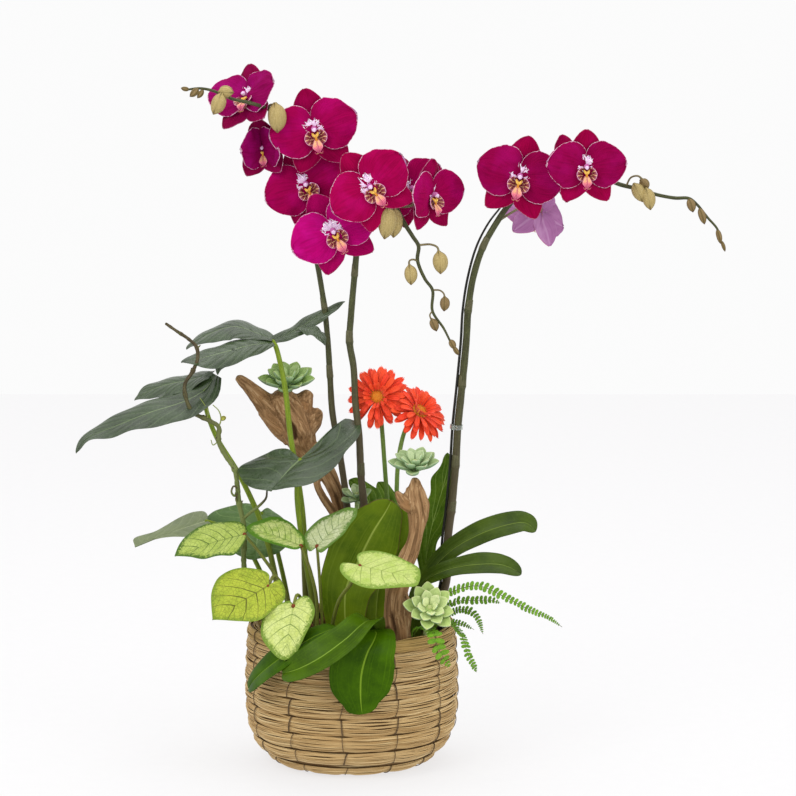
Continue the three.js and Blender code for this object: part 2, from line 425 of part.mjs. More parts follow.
   main: [[-81.98191051418308, -1.722309044415611, 108.0, 3.2], [-92.7, -4.0, 150.0, 3.2], [-109.6, -6.0, 180.5, 2.9], [-113.8, -8.0, 215.3, 2.7], [-112.8, -8.0, 242.0, 2.7], [-114.2, -9.0, 257.2, 2.6], [-117.5, -11.0, 273.5, 2.6], [-119.6, -13.0, 295.1, 2.6], [-122.4, -14.0, 313.4, 2.6], [-130.7, -15.0, 326.2, 2.6], [-138.8, -16.0, 343.3, 2.5], [-138.6, -17.0, 358.3, 2.5], [-150.5, -19.0, 366.5, 2.3], [-164.9, -21.0, 374.1, 2.2], [-172.0, -22.0, 389.5, 2.1], [-172.9, -22.0, 404.2, 2.0], [-164.8, -23.0, 417.4, 2.0], [-159.4, -23.0, 431.6, 1.9], [-160.6, -22.0, 443.0, 1.8], [-168.8, -21.0, 451.2, 1.7], [-181.3, -20.0, 459.5, 1.6], [-192.2, -19.0, 467.0, 1.5]],
   branches: [[[-113.1, -9.0, 260.4, 1.9], [-105.4, -14.0, 267.6, 1.7], [-95.8, -17.0, 275.6, 1.5], [-89.4, -18.0, 283.2, 1.2], [-88.3, -18.0, 291.7, 0.9]], [[-119.5, -13.0, 290.9, 1.4], [-122.5, -17.0, 285.2, 1.2], [-125.5, -19.0, 289.8, 1.1], [-123.0, -19.0, 296.1, 1.0], [-119.7, -19.0, 294.0, 0.9]], [[-117.5, -11.0, 273.5, 1.2], [-121.0, -15.0, 280.6, 1.0], [-119.8, -18.0, 287.5, 0.9]]],
   tendrils: [[[-138.7, -17.0, 357.2, 0.8], [-135.8, -20.0, 367.1, 0.7], [-137.7, -22.0, 375.8, 0.6], [-143.8, -23.0, 382.3, 0.5]], [[-150.5, -19.0, 367.0, 0.8], [-149.1, -22.0, 375.8, 0.6], [-153.1, -24.0, 383.5, 0.5], [-157.2, -25.0, 389.9, 0.4]], [[-138.8, -16.0, 343.3, 0.8], [-144.4, -19.0, 339.5, 0.6], [-146.3, -21.0, 345.1, 0.5]]],
   buds: [[[-135.8, -20.0, 366.1], [-130.5, -21.0, 369.4], 2.6]]
  }
 },
 fronds: {
  fern_frond_1: {
   pts: [[68.82865081190252, -44.57147997781981, 116.0], [76.1, -51.7, 150.0], [88.4, -62.0, 179.1], [104.9, -70.0, 193.4], [131.5, -78.0, 201.3], [157.1, -84.0, 192.0], [184.8, -88.0, 178.2], [204.3, -90.0, 170.2], [217.8, -90.0, 160.8]],
   w: [2, 2.5, 3, 6.0, 6.6, 6.2, 5.0, 3.4, 0.8],
   n: [0.0, -0.6, 0.8]
  },
  fern_frond_2: {
   pts: [[72.74896165122962, -37.83633939307451, 116.0], [81.8, -42.0, 150.0], [93.9, -48.0, 167.7], [108.4, -52.0, 179.2], [127.0, -56.0, 181.6], [146.7, -58.0, 182.0], [155.0, -58.0, 179.3]],
   w: [2, 2.5, 3, 6, 6, 5, 0.8],
   n: [0.0, -0.6, 0.8]
  },
  fern_frond_3: {
   pts: [[77.50158779721892, -26.786263063554927, 116.0], [87.4, -28.8, 150.0], [98.3, -32.0, 159.0], [111.9, -36.0, 167.3], [124.3, -40.0, 167.1], [132.6, -44.0, 159.4], [137.8, -46.0, 143.9]],
   w: [2, 2.5, 3, 4.8, 5, 4.2, 0.8],
   n: [0.196, -0.784, 0.588]
  },
  fern_frond_4: {
   pts: [[64.0, -50.0, 116.0], [66.0, -66.0, 150.5], [75.0, -88.0, 160.0], [85.8, -110.0, 157.7], [88.8, -117.0, 147.8], [94.9, -119.0, 135.8], [102.1, -117.0, 124.9]],
   w: [2, 3.5, 5, 8, 9.5, 8, 1],
   n: [[0.0, -0.981, 0.196], [0.0, -0.287, 0.958], [0.0, -0.287, 0.958], [0.207, -0.83, 0.518], [0.297, -0.89, 0.346], [0.302, -0.905, 0.302], [0.302, -0.905, 0.302]]
  },
  fern_frond_5: {
   pts: [[76.5, -29.4, 116.0], [84.0, -46.0, 150.5], [99.0, -57.0, 160.0], [111.2, -70.0, 153.3], [117.1, -86.0, 145.2], [121.1, -93.0, 132.0], [127.3, -92.0, 120.2], [130.0, -90.0, 113.4]],
   w: [2, 3, 3.6, 4.4, 5.5, 5.5, 4, 0.8],
   n: [[0.0, -0.981, 0.196], [0.0, -0.287, 0.958], [0.095, -0.286, 0.953], [0.398, -0.597, 0.697], [0.596, -0.745, 0.298], [0.596, -0.745, 0.298], [0.596, -0.745, 0.298], [0.596, -0.745, 0.298]]
  },
  fern_frond_6: {
   pts: [[80.51062544172089, -15.557608781008868, 116.0], [90.7, -15.6, 150.0], [99.6, -17.0, 151.6], [116.5, -20.0, 149.0], [129.1, -22.0, 143.5]],
   w: [2, 3.25, 4.5, 4, 0.8],
   n: [0.0, -0.6, 0.8]
  }
 },
 stake: {
  flower_stake: {
   pts: [[70.0, 25.0, 108.0, 1.4], [84.0, 24.0, 150.0, 1.4], [94.7, 22.0, 187.9, 1.4], [95.8, 21.5, 229.1, 1.4], [99.5, 20.5, 261.7, 1.4], [104.1, 17.5, 311.6, 1.4], [106.5, 14.5, 353.8, 1.4], [110.7, 10.5, 398.0, 1.4], [115.0, 6.5, 447.1, 1.4], [116.6, 3.5, 478.0, 1.3], [121.6, 1.0, 512.4, 1.3], [130.8, -1.0, 546.0, 1.2], [143.2, -2.0, 570.6, 1.1], [155.1, -3.0, 586.3, 1.0]]
  }
 },
 clips: {
  stem_clip: {
   at: 6,
   spike: "flower_spike_right"
  }
 },
 lobed_leaves: {
  philodendron_leaf_top: {
   stalk: [[-46.8, 10.0, 108.0, 3.6], [-49.8, 10.0, 195.7, 3.5], [-51.7, 11.0, 254.7, 3.3], [-56.7, 9.0, 298.0, 3.1], [-63.9, 9.0, 340.7, 3.0], [-70.5, 11.0, 399.0, 2.9], [-79.9, 14.0, 440.0, 2.6], [-83.1, 15.5, 445.1, 2.4]],
   lobes: [{"pts": [[-81.6, 17.0, 446.0], [-100.9, 24.0, 452.6], [-124.4, 30.0, 458.4], [-151.8, 28.0, 450.1], [-174.7, 22.0, 435.9]], "w": [6, 16, 26, 21, 2], "n": [[0.0, -0.243, 0.97], [0.0, -0.305, 0.952], [-0.477, -0.191, 0.858]], "fold": 10}, {"pts": [[-83.5, 13.0, 444.3], [-108.2, 2.0, 441.3], [-134.9, -8.0, 435.1], [-159.6, -14.0, 429.5], [-177.2, -17.0, 426.7]], "w": [8, 17, 20, 17, 3.5], "n": [[0.0, -0.494, 0.869], [0.0, -0.494, 0.869], [-0.302, -0.302, 0.905]], "fold": 9}, {"pts": [[-84.8, 17.0, 444.9], [-64.9, 22.0, 452.8], [-41.9, 30.0, 465.8], [-22.9, 34.0, 476.0], [-7.1, 38.0, 485.2]], "w": [5, 9, 9.5, 6, 1.2], "n": [[0.291, -0.389, 0.874], [0.349, -0.399, 0.848], [0.447, -0.298, 0.844]], "fold": 10}, {"pts": [[-51.2, 24.0, 459.0], [-38.2, 10.0, 456.3], [-30.6, 2.0, 449.7], [-27.4, -2.0, 442.8]], "w": [7, 9, 5, 1.0], "n": [[0.398, -0.697, 0.597], [0.505, -0.808, 0.303], [0.518, -0.83, 0.207]], "fold": 6}, {"pts": [[-118.2, -8.0, 436.1], [-130.3, -16.0, 428.7], [-137.5, -19.0, 421.7], [-139.1, -20.0, 413.4]], "w": [8, 7, 4, 1.0], "n": [[-0.196, -0.784, 0.588], [-0.206, -0.928, 0.309], [-0.195, -0.976, 0.098]], "fold": 6}]
  },
  philodendron_leaf_left: {
   stalk: [[-70.4, 14.0, 108.0, 3.2], [-80.7, 12.0, 189.9, 3.1], [-95.1, 9.0, 249.7, 3.0], [-117.8, 5.0, 302.9, 2.8], [-142.5, 1.0, 346.1, 2.6], [-152.6, -2.0, 376.3, 2.4], [-153.4, -2.0, 394.3, 2.2]],
   lobes: [{"pts": [[-142.0, 2.0, 410.7], [-153.4, -2.0, 395.3], [-175.1, -8.0, 383.4], [-210.2, -16.0, 372.9], [-249.5, -22.0, 357.9], [-274.3, -26.0, 348.0], [-287.3, -28.0, 332.4]], "w": [10, 25, 28, 24, 17, 9.5, 1.2], "n": [[-0.198, -0.446, 0.873], [-0.246, -0.491, 0.836], [-0.457, -0.457, 0.762]], "fold": 14}, {"pts": [[-146.6, 8.0, 411.0], [-170.5, 18.0, 403.4], [-196.6, 26.0, 397.1], [-217.0, 28.0, 389.3], [-230.8, 28.0, 380.8]], "w": [9, 18, 20, 11, 1.2], "n": [[-0.101, -0.404, 0.909], [-0.147, -0.442, 0.885], [-0.303, -0.505, 0.808]], "fold": 8}]
  }
 }
};

// ---- helpers -----------------------------------------------------------------
const V = (a) => new THREE.Vector3(a[0], a[1], a[2]);
const lerp = (a, b, t) => a + (b - a) * t;

function sample(table, t) { // table of [t, value...]
  if (t <= table[0][0]) return table[0][1];
  for (let i = 1; i < table.length; i++)
    if (t <= table[i][0])
      return lerp(table[i - 1][1], table[i][1], (t - table[i - 1][0]) / (table[i][0] - table[i - 1][0]));
  return table[table.length - 1][1];
}

// A closed geometry as a manifold solid: shared vertices merged, collapsed faces dropped.
function solid(geometry) {
  const flat = geometry.index ? geometry.toNonIndexed() : geometry;
  const bare = new THREE.BufferGeometry().setAttribute("position", flat.getAttribute("position"));
  const merged = mergeVertices(bare, 1e-3);
  const index = merged.index.array, kept = [];
  for (let i = 0; i < index.length; i += 3)
    if (index[i] !== index[i + 1] && index[i + 1] !== index[i + 2] && index[i] !== index[i + 2])
      kept.push(index[i], index[i + 1], index[i + 2]);
  const make = (tri) => new wasm.Manifold(new wasm.Mesh({
    numProp: 3,
    vertProperties: new Float32Array(merged.attributes.position.array),
    triVerts: new Uint32Array(tri),
  }));
  let made = make(kept);
  if (made.volume() < 0) {
    const turned = [];
    for (let i = 0; i < kept.length; i += 3) turned.push(kept[i], kept[i + 2], kept[i + 1]);
    made = make(turned);
  }
  return made;
}

function joined(solids) {
  return solids.reduce((a, b) => a.add(b));
}

function indexed(points, faces) {
  const g = new THREE.BufferGeometry();
  g.setAttribute("position", new THREE.Float32BufferAttribute(points.flatMap((p) => [p.x, p.y, p.z]), 3));
  g.setIndex(faces);
  return g;
}

// Directions across a curve, carried along it without twist.
function framesAlong(curve, steps, first) {
  const out = [];
  let across = null;
  for (let i = 0; i <= steps; i++) {
    const t = i / steps, p = curve.getPoint(t), d = curve.getTangent(t).normalize();
    if (!across) {
      across = first ? first.clone() : Math.abs(d.z) < 0.9 ? new THREE.Vector3(0, 0, 1) : new THREE.Vector3(1, 0, 0);
    }
    across = across.clone().sub(d.clone().multiplyScalar(across.dot(d))).normalize();
    out.push({ t, p, d, across, other: d.clone().cross(across).normalize() });
  }
  return out;
}

// The points of a long tube without those that its neighbours already give to within 1.2 mm.
function thinned(points) {
  const a = V(points[0]), b = V(points[points.length - 1]);
  const line = b.clone().sub(a), length = line.length();
  let worst = 1.2, at = -1;
  for (let i = 1; i < points.length - 1; i++) {
    const q = V(points[i]).sub(a), off = q.clone().sub(line.clone().multiplyScalar(q.dot(line) / length ** 2)).length();
    if (off > worst) [worst, at] = [off, i];
  }
  if (at < 0) return [points[0], points[points.length - 1]];
  return [...thinned(points.slice(0, at + 1)), ...thinned(points.slice(at)).slice(1)];
}

// A closed tapering tube through points [x, y, z, radius]; flat squashes it across.
function tube(points, sides = 6, perSpan = 2, grow = 0, flat = 1, rough = 0) {
  const curve = new THREE.CatmullRomCurve3(points.map(V), false, "centripetal");
  const steps = Math.max(2, Math.round((points.length - 1) * perSpan));
  const frames = framesAlong(curve, steps), verts = [], faces = [];
  for (const f of frames) {
    const at = f.t * (points.length - 1), i = Math.min(points.length - 2, Math.floor(at));
    const r = lerp(points[i][3], points[i + 1][3], at - i) + grow;
    for (let k = 0; k < sides; k++) {
      const a = (2 * Math.PI * k) / sides;
      const q = 1 + rough * (Math.sin(3 * a + 9 * f.t) * 0.5 + Math.sin(2 * a - 5 * f.t) * 0.5);
      verts.push(f.p.clone().addScaledVector(f.across, Math.cos(a) * r * q).addScaledVector(f.other, Math.sin(a) * r * q * flat));
    }
  }
  const n = frames.length;
  for (let i = 0; i < n - 1; i++)
    for (let k = 0; k < sides; k++) {
      const a = i * sides + k, b = i * sides + ((k + 1) % sides), c = a + sides, d = b + sides;
      faces.push(a, b, d, a, d, c);
    }
  verts.push(frames[0].p.clone().addScaledVector(frames[0].d, -grow), frames[n - 1].p.clone().addScaledVector(frames[n - 1].d, grow));
  const s = verts.length - 2, e = verts.length - 1, last = (n - 1) * sides;
  for (let k = 0; k < sides; k++) {
    faces.push(s, (k + 1) % sides, k);
    faces.push(e, last + k, last + ((k + 1) % sides));
  }
  return solid(indexed(verts, faces));
}

// An egg along base -> tip.
function egg(base, tip, radius, grow = 0, sides = 7) {
  const a = V(base), b = V(tip);
  const at = (t) => { const q = a.clone().lerp(b, t); return [q.x, q.y, q.z]; };
  if (sides < 5) return tube([[...at(0), radius * 0.4], [...at(0.5), radius], [...at(1), radius * 0.15]], sides, 1, grow);
  return tube([[...at(0), radius * 0.35], [...at(0.3), radius * 0.92], [...at(0.65), radius * 0.92], [...at(1), radius * 0.12]], sides, 1, grow);
}

// A thin sheet between two faces: middle points, normals, triangles and rim of the sheet.
function sheet(points, normals, triangles, rim, thickness) {
  const n = points.length, verts = [], faces = [];
  points.forEach((p, i) => verts.push(p.clone().addScaledVector(normals[i], thickness / 2)));
  points.forEach((p, i) => verts.push(p.clone().addScaledVector(normals[i], -thickness / 2)));
  for (const [a, b, c] of triangles) faces.push(a, b, c, n + a, n + c, n + b);
  for (let i = 0; i < rim.length; i++) {
    const a = rim[i], b = rim[(i + 1) % rim.length];
    faces.push(b, a, n + a, b, n + a, n + b);
  }
  return solid(indexed(verts, faces));
}

// A blade along a midrib: half widths w at the points, upper face towards n, folded along the rib.
// half 1 has a row of points on the rib, half 0.5 only the two edges.
function strap(s, steps, half, thickness, grow = 0) {
  const curve = new THREE.CatmullRomCurve3(s.pts.map(V), false, "centripetal");
  const rise = Math.tan(((s.fold || 0) * Math.PI) / 180);
  const ns = Array.isArray(s.n[0]) ? s.n.map(V) : [V(s.n), V(s.n)];
  const points = [], normals = [], triangles = [], columns = 2 * half + 1;
  for (let i = 0; i <= steps; i++) {
    const t = i / steps, p = curve.getPoint(t), d = curve.getTangent(t).normalize();
    const at = t * (s.w.length - 1), j = Math.min(s.w.length - 2, Math.floor(at));
    const w = lerp(s.w[j], s.w[j + 1], at - j) + grow;
    const na = t * (ns.length - 1), m = Math.min(ns.length - 2, Math.floor(na)), n = ns[m].clone().lerp(ns[m + 1], na - m);
    const side = d.clone().cross(n).normalize(), up = side.clone().cross(d).normalize();
    for (let k = -half; k <= half; k++) {
      const v = (k / half) * w;
      points.push(p.clone().addScaledVector(side, v).addScaledVector(up, Math.abs(v) * rise));
      normals.push(up);
    }
  }
  for (let i = 0; i < steps; i++)
    for (let k = 0; k < columns - 1; k++) {
      const a = i * columns + k, b = a + 1, c = a + columns, d = c + 1;
      triangles.push([a, b, d], [a, d, c]);
    }
  const rim = [];
  for (let k = 0; k < columns; k++) rim.push(k);
  for (let i = 1; i <= steps; i++) rim.push(i * columns + columns - 1);
  for (let k = columns - 2; k >= 0; k--) rim.push(steps * columns + k);
  for (let i = steps - 1; i > 0; i--) rim.push(i * columns);
  return sheet(points, normals, triangles, rim, thickness + 2 * grow);
}

function heart(s, thickness, grow = 0) {
  const a = V(s.a), m = V(s.m), t = V(s.t), curve = new THREE.CatmullRomCurve3([a, m, t], false, "centripetal");
  const L = curve.getLength(), n1 = V(s.n), n2 = V(s.n2);
  const place = (u, v) => {
    const c = Math.min(1, Math.max(0, u)), p = curve.getPointAt(c), d = curve.getTangentAt(c).normalize();
    if (u < 0) p.addScaledVector(d, u * L);
    if (u > 1) p.addScaledVector(d, (u - 1) * L);
    const n = n1.clone().lerp(n2, c), side = d.clone().cross(n).normalize(), up = side.clone().cross(d).normalize();
    const x = v * s.w;
    p.addScaledVector(side, x).addScaledVector(up, s.fold * Math.abs(x) - (s.droop * x * x) / s.w);
    return [p, up];
  };
  const { pos, neg } = s.rim, ring = []; // each side's margin from tip to notch: along and across, in lengths and half widths
  for (let i = neg.length - 1; i > 0; i--) ring.push([neg[i][0], -neg[i][1]]);
  for (const h of pos) ring.push(h);
  const k = ring.length, points = [], normals = [], triangles = [];
  const add = (u, v) => { const [p, n] = place(u, v); points.push(p); normals.push(n); };
  add(0, 0);
  const g = (1.6 * grow) / s.w;
  for (const q of [0.55, 1]) for (const [u, v] of ring) add(u * q + (q === 1 ? Math.sign(u) * g : 0), v * q + (q === 1 ? Math.sign(v) * g : 0));
  for (let i = 0; i < k - 1; i++) {
    triangles.push([0, 1 + i, 2 + i]);
    const b = 1 + i, c = 1 + k + i;
    triangles.push([b, c, c + 1], [b, c + 1, b + 1]);
  }
  const rim = [0, 1];
  for (let i = 0; i < k; i++) rim.push(1 + k + i);
  rim.push(k);
  return sheet(points, normals, triangles, rim, thickness + 2 * grow);
}

// ---- builders: each returns a solid, grown outwards by grow -------------------
function spike(s, grow) {
  return joined([
    tube(thinned(s.pts), 5, 1, grow),
    ...s.ped.map((q) => tube(q, 4, 1, grow)),
    ...s.buds.map(([a, b, r]) => egg(a, b, r, grow, r > 6 ? 5 : 4)),
  ]);
}

const PETAL_WIDTHS = [[0, 0.15], [0.33, 0.97], [0.67, 0.93], [1, 0.3]];
const SEPAL_WIDTHS = [[0, 0.34], [0.5, 1], [1, 0.1]];
const TEPALS = [ // direction in degrees, length, half width, widths, lift, sweep factor
  [90, 0.93, 0.33, SEPAL_WIDTHS, -0.02, 0.5],
  [235, 0.99, 0.31, SEPAL_WIDTHS, -0.02, 0.6],
  [-55, 0.99, 0.31, SEPAL_WIDTHS, -0.02, 0.6],
  [6, 1, 0.585, PETAL_WIDTHS, 0.04, 1],
  [174, 1, 0.585, PETAL_WIDTHS, 0.04, 1],
];

function bloom(s, grow) {
  const rad = Math.PI / 180, y = s.yaw * rad, p = s.pitch * rad, r = s.roll * rad;
  const face = new THREE.Vector3(Math.sin(y) * Math.cos(p), -Math.cos(y) * Math.cos(p), Math.sin(p));
  const right0 = new THREE.Vector3(Math.cos(y), Math.sin(y), 0), up0 = face.clone().cross(right0);
  const X = right0.clone().multiplyScalar(Math.cos(r)).addScaledVector(up0, Math.sin(r));
  const Y = right0.clone().multiplyScalar(-Math.sin(r)).addScaledVector(up0, Math.cos(r));
  const at = (x, yy, z) => V(s.c).addScaledVector(X, x * s.s).addScaledVector(Y, yy * s.s).addScaledVector(face, z * s.s);
  const arr = (x, yy, z, q) => { const v = at(x, yy, z); return [v.x, v.y, v.z, q * s.s]; };
  const parts = [
    tube([arr(0, 0, -0.1, 0.06), arr(0, 0, -0.01, 0.13), arr(0, 0.0, 0.2, 0.07)], 5, 1, grow),
    tube([arr(0, -0.02, 0.06, 0.09), arr(0, -0.2, 0.16, 0.19), arr(0, -0.45, 0.12, 0.03)], 5, 1, grow, 0.7),
  ];
  for (const [deg, length, half, widths, lift, sweep] of TEPALS) {
    const c = s.cup * sweep * rad, dir = X.clone().multiplyScalar(Math.cos(deg * rad)).addScaledVector(Y, Math.sin(deg * rad));
    const along = dir.clone().multiplyScalar(Math.cos(c)).addScaledVector(face, Math.sin(c));
    const normal = face.clone().multiplyScalar(Math.cos(c)).addScaledVector(dir, -Math.sin(c));
    const steps = half > 0.5 ? 3 : 2, pts = [], w = [];
    for (let i = 0; i <= steps; i++) {
      const u = i / steps;
      const q = at(0, 0, lift).addScaledVector(along, u * length * s.s).addScaledVector(normal, -0.1 * u * u * s.s);
      pts.push([q.x, q.y, q.z]);
      w.push(sample(widths, u) * half * s.s);
    }
    parts.push(strap({ pts, w, n: [normal.x, normal.y, normal.z] }, steps, 0.5, TEPAL_THICKNESS, grow));
  }
  return joined(parts);
}

function lobes(s, grow) {
  return joined(s.lobes.map((l) => strap(l, Math.round(l.pts.length * 1.4), 1, LEAF_THICKNESS, grow)));
}

function rosette(s, grow) {
  const n = V(s.n), e1 = new THREE.Vector3(1, 0, 0).sub(n.clone().multiplyScalar(n.x)).normalize(), e2 = n.clone().cross(e1);
  const c = V(s.c), parts = [];
  const arr = (v, r) => [v.x, v.y, v.z, r];
  parts.push(tube([arr(c.clone().addScaledVector(n, -0.3 * s.h), s.r * 0.16), arr(c.clone().addScaledVector(n, 0.1 * s.h), s.r * 0.3), arr(c.clone().addScaledVector(n, 0.75 * s.h), s.r * 0.14)], 6, 1, grow));
  const count = Math.round(s.k * 0.5);
  for (let i = 0; i < count; i++) {
    const a = i * 2.39996, q = Math.sqrt((i + 0.6) / count), lift = lerp(1.15, 0.12, q);
    const out = e1.clone().multiplyScalar(Math.cos(a)).addScaledVector(e2, Math.sin(a));
    const len = s.r * lerp(0.42, 1, q), wide = s.r * lerp(0.1, 0.2, q);
    const dir = out.clone().multiplyScalar(Math.cos(lift)).addScaledVector(n, Math.sin(lift));
    const from = c.clone().addScaledVector(n, s.h * lerp(0.45, 0.0, q));
    const at = (t, up) => from.clone().addScaledVector(dir, len * t).addScaledVector(n, up * len);
    parts.push(tube([arr(at(0, 0), wide * 0.5), arr(at(0.72, -0.01), wide), arr(at(1, 0.05), wide * 0.25)], 4, 1, grow, 0.8));
  }
  if (s.stem) parts.push(tube(s.stem.map((q) => [q[0], q[1], q[2], 2.2]), 6, 1, grow));
  return joined(parts);
}

function gerberaHead(s, grow) {
  const shape = new THREE.Shape(), k = 13;
  for (let i = 0; i < 2 * k; i++) {
    const a = (Math.PI * i) / k, r = (i % 2 ? s.r * 0.74 : s.r) + grow;
    if (i) shape.lineTo(r * Math.cos(a), r * Math.sin(a));
    else shape.moveTo(r, 0);
  }
  const disc = new THREE.ExtrudeGeometry(shape, { depth: 3 + 2 * grow, bevelEnabled: false, curveSegments: 1, steps: 1 }).translate(0, 0, -1.5 - grow);
  const dome = new THREE.SphereGeometry(s.r * 0.3 + grow, 8, 4).scale(1, 1, 0.6).translate(0, 0, 1.5);
  const q = new THREE.Quaternion().setFromUnitVectors(new THREE.Vector3(0, 0, 1), V(s.n));
  const m = new THREE.Matrix4().compose(V(s.c), q, new THREE.Vector3(1, 1, 1));
  const back = tube([[0, 0, -9, 2.8], [0, 0, -5, 6.5], [0, 0, 0, 8]].map(([x, y, z, r]) => { const v = new THREE.Vector3(x, y, z).applyMatrix4(m); return [v.x, v.y, v.z, r]; }), 6, 1, grow);
  return joined([solid(disc.applyMatrix4(m)), solid(dome.applyMatrix4(m)), back]);
}

function wood(tubes, grow) {
  return joined(tubes.map((t) => tube(thinned(t), 6, 1, grow, 0.85, 0.12)));
}

function vine(s, grow) {
  return joined([tube(thinned(s.main), 5, 1, grow), ...s.branches.map((b) => tube(b, 4, 1, grow)), ...s.tendrils.map((b) => tube(b, 3, 1, grow)), ...s.buds.map(([a, b, r]) => egg(a, b, r, grow, 4))]);
}

// The basket's wall: coils outside, smooth inside, one closed profile turned round the axis.
function basket(grow) {
  const outer = (z) => sample(BASKET_PROFILE, z), points = [];
  points.push(new THREE.Vector2(0, 0 - grow));
  points.push(new THREE.Vector2(outer(0) - 3 + grow, 0 - grow));
  for (let i = 0; i < COIL_EDGES.length - 1; i++) {
    const lo = COIL_EDGES[i], hi = COIL_EDGES[i + 1], mid = (lo + hi) / 2;
    if (i) points.push(new THREE.Vector2(outer(lo) - COIL_DEPTH + grow, lo));
    points.push(new THREE.Vector2(outer(mid) + grow, mid));
  }
  points.push(new THREE.Vector2(outer(BASKET_HEIGHT) - 1.5 + grow, BASKET_HEIGHT - 2));
  points.push(new THREE.Vector2(outer(BASKET_HEIGHT) - BASKET_WALL / 2, BASKET_HEIGHT + grow));
  points.push(new THREE.Vector2(outer(BASKET_HEIGHT) - BASKET_WALL - grow, BASKET_HEIGHT - 3));
  points.push(new THREE.Vector2(101.4 - grow, 44));
  points.push(new THREE.Vector2(94 - grow, 24));
  points.push(new THREE.Vector2(80 - grow, 9 + grow));
  points.push(new THREE.Vector2(0, 8 + grow));
  return solid(new THREE.LatheGeometry(points, BASKET_SEGMENTS).rotateX(Math.PI / 2));
}

function liner(grow) {
  const R = LINER_RADIUS + grow, w = LINER_WALL + 2 * grow;
  const points = [[0, 8.4 - grow], [78.5 + grow, 9.6 - grow], [92.6 + grow, 24.5], [R, 46], [R, LINER_TOP + grow], [R - w, LINER_TOP + grow], [R - w, 46.4], [92.2 - w, 25.6], [77.5 - w, 9.6 + w], [0, 8.4 + w]];
  return solid(new THREE.LatheGeometry(points.map(([x, y]) => new THREE.Vector2(x, y)), BASKET_SEGMENTS).rotateX(Math.PI / 2));
}

function soil() {
  const R = LINER_RADIUS - LINER_WALL - 0.5;
  const points = [[0, 10.4], [75, 11.4], [90.2, 27], [R, 47], [R, SOIL_TOP - 3], [R - 5, SOIL_TOP], [0, SOIL_TOP]];
  return solid(new THREE.LatheGeometry(points.map(([x, y]) => new THREE.Vector2(x, y)), BASKET_SEGMENTS).rotateX(Math.PI / 2));
}

// A low cushion of moss lying on the mix, front left of the middle.
function moss() {
  const z = SOIL_TOP + GAP, points = [[0, z], [40, z], [42, z + 2], [34, z + 6], [0, z + 8]];
  return solid(new THREE.LatheGeometry(points.map(([x, y]) => new THREE.Vector2(x, y)), 12).rotateX(Math.PI / 2).translate(-14, -44, 0));
}

// A clear clip holding the right spike to its stake.
function clip(spikePoints, stakePoints, index) {
  const a = V(spikePoints[index]), b = V(stakePoints[index]), c = a.clone().lerp(b, 0.4);
  const d = V(spikePoints[index + 1]).sub(V(spikePoints[index - 1])).normalize();
  return tube([[...c.clone().addScaledVector(d, -2.6).toArray(), 7.6], [...c.clone().addScaledVector(d, 2.6).toArray(), 7.6]], 8, 1);
}

// ---- the object -----------------------------------------------------------------
const MATERIALS = {
  reed: [0xb99a66, 0.75], plastic: [0x1c1c1c, 0.5], mix: [0x3b281a, 0.95], moss: [0x8a7a2e, 0.95],
  spike: [0x4c4f2c, 0.5], tepal: [0xa3085e, 0.6], leaf: [0x3c7a16, 0.4], dark_leaf: [0x35552f, 0.4],
  variegated: [0x9fbf4f, 0.5], succulent: [0x9fc29a, 0.55], wood: [0xa5764a, 0.8], gerbera: [0xe8401a, 0.6],
  stem: [0x6a8a3a, 0.5], vine: [0x4a3b2a, 0.7], fern: [0x4f8a22, 0.5], wire: [0x202018, 0.4], clip: [0xd8dcd8, 0.3],
};

const made = []; // { name, slot, solid, fat }
const box = (s) => s.boundingBox();
const near = (a, b) => [0, 1, 2].every((i) => a.min[i] <= b.max[i] && b.min[i] <= a.max[i]);

const stalks = []; // leaf stalks stay whole: where one passes a blade, the blade gives way

// Adds a piece, cut clear of those already made, with the gap between them.
function place(name, slot, build, blade) {
  let s = build(0);
  if (blade) {
    let b = blade(0);
    for (const other of stalks) if (other.name !== name && b.intersect(other.fat).volume() > 1e-6) b = b.subtract(other.fat);
    s = s.add(b);
  }
  const own = box(s);
  for (const other of made) {
    if (!near(own, box(other.fat))) continue;
    if (s.intersect(other.fat).volume() > 1e-6) s = s.subtract(other.fat);
    if (s.intersect(other.solid).volume() > 1e-4) s = s.subtract(other.solid);
  }
  const bodies = s.decompose();
  if (bodies.length > 1) bodies.sort((a, b) => b.volume() - a.volume());
  s = bodies[0];
  made.push({ name, slot, solid: s, fat: blade ? build(GAP).add(blade(GAP)) : build(GAP) });
}

place("basket", "reed", basket);
place("liner", "plastic", liner);
for (const [name, s] of Object.entries(PIECES.spikes)) place(name, "spike", (g) => spike(s, g));
for (const [name, s] of Object.entries(PIECES.stake)) place(name, "wire", (g) => tube(thinned(s.pts), 5, 1, g));
for (const [name, s] of Object.entries(PIECES.gerberas)) place(name + "_stem", "stem", (g) => tube(thinned(s.stem), 5, 1, g));
for (const [name, s] of Object.entries(PIECES.gerberas)) place(name + "_head", "gerbera", (g) => gerberaHead(s, g));
for (const [name, s] of Object.entries(PIECES.woods)) place(name, "wood", (g) => wood(s, g));
for (const [name, s] of Object.entries(PIECES.vine)) place(name, "vine", (g) => vine(s, g));
for (const [name, s] of Object.entries(PIECES.blooms)) place(name, "tepal", (g) => bloom(s, g));
for (const [name, s] of Object.entries({ ...PIECES.lobed_leaves, ...PIECES.leaves })) stalks.push({ name, fat: tube(thinned(s.stalk), 5, 1, GAP) });
for (const [name, s] of Object.entries(PIECES.lobed_leaves)) place(name, "dark_leaf", (g) => tube(thinned(s.stalk), 5, 1, g), (g) => lobes(s, g));
for (const [name, s] of Object.entries(PIECES.leaves))
  place(name, name.startsWith("caladium") ? "variegated" : "dark_leaf", (g) => tube(thinned(s.stalk), 5, 1, g), (g) => heart(s, LEAF_THICKNESS, g));
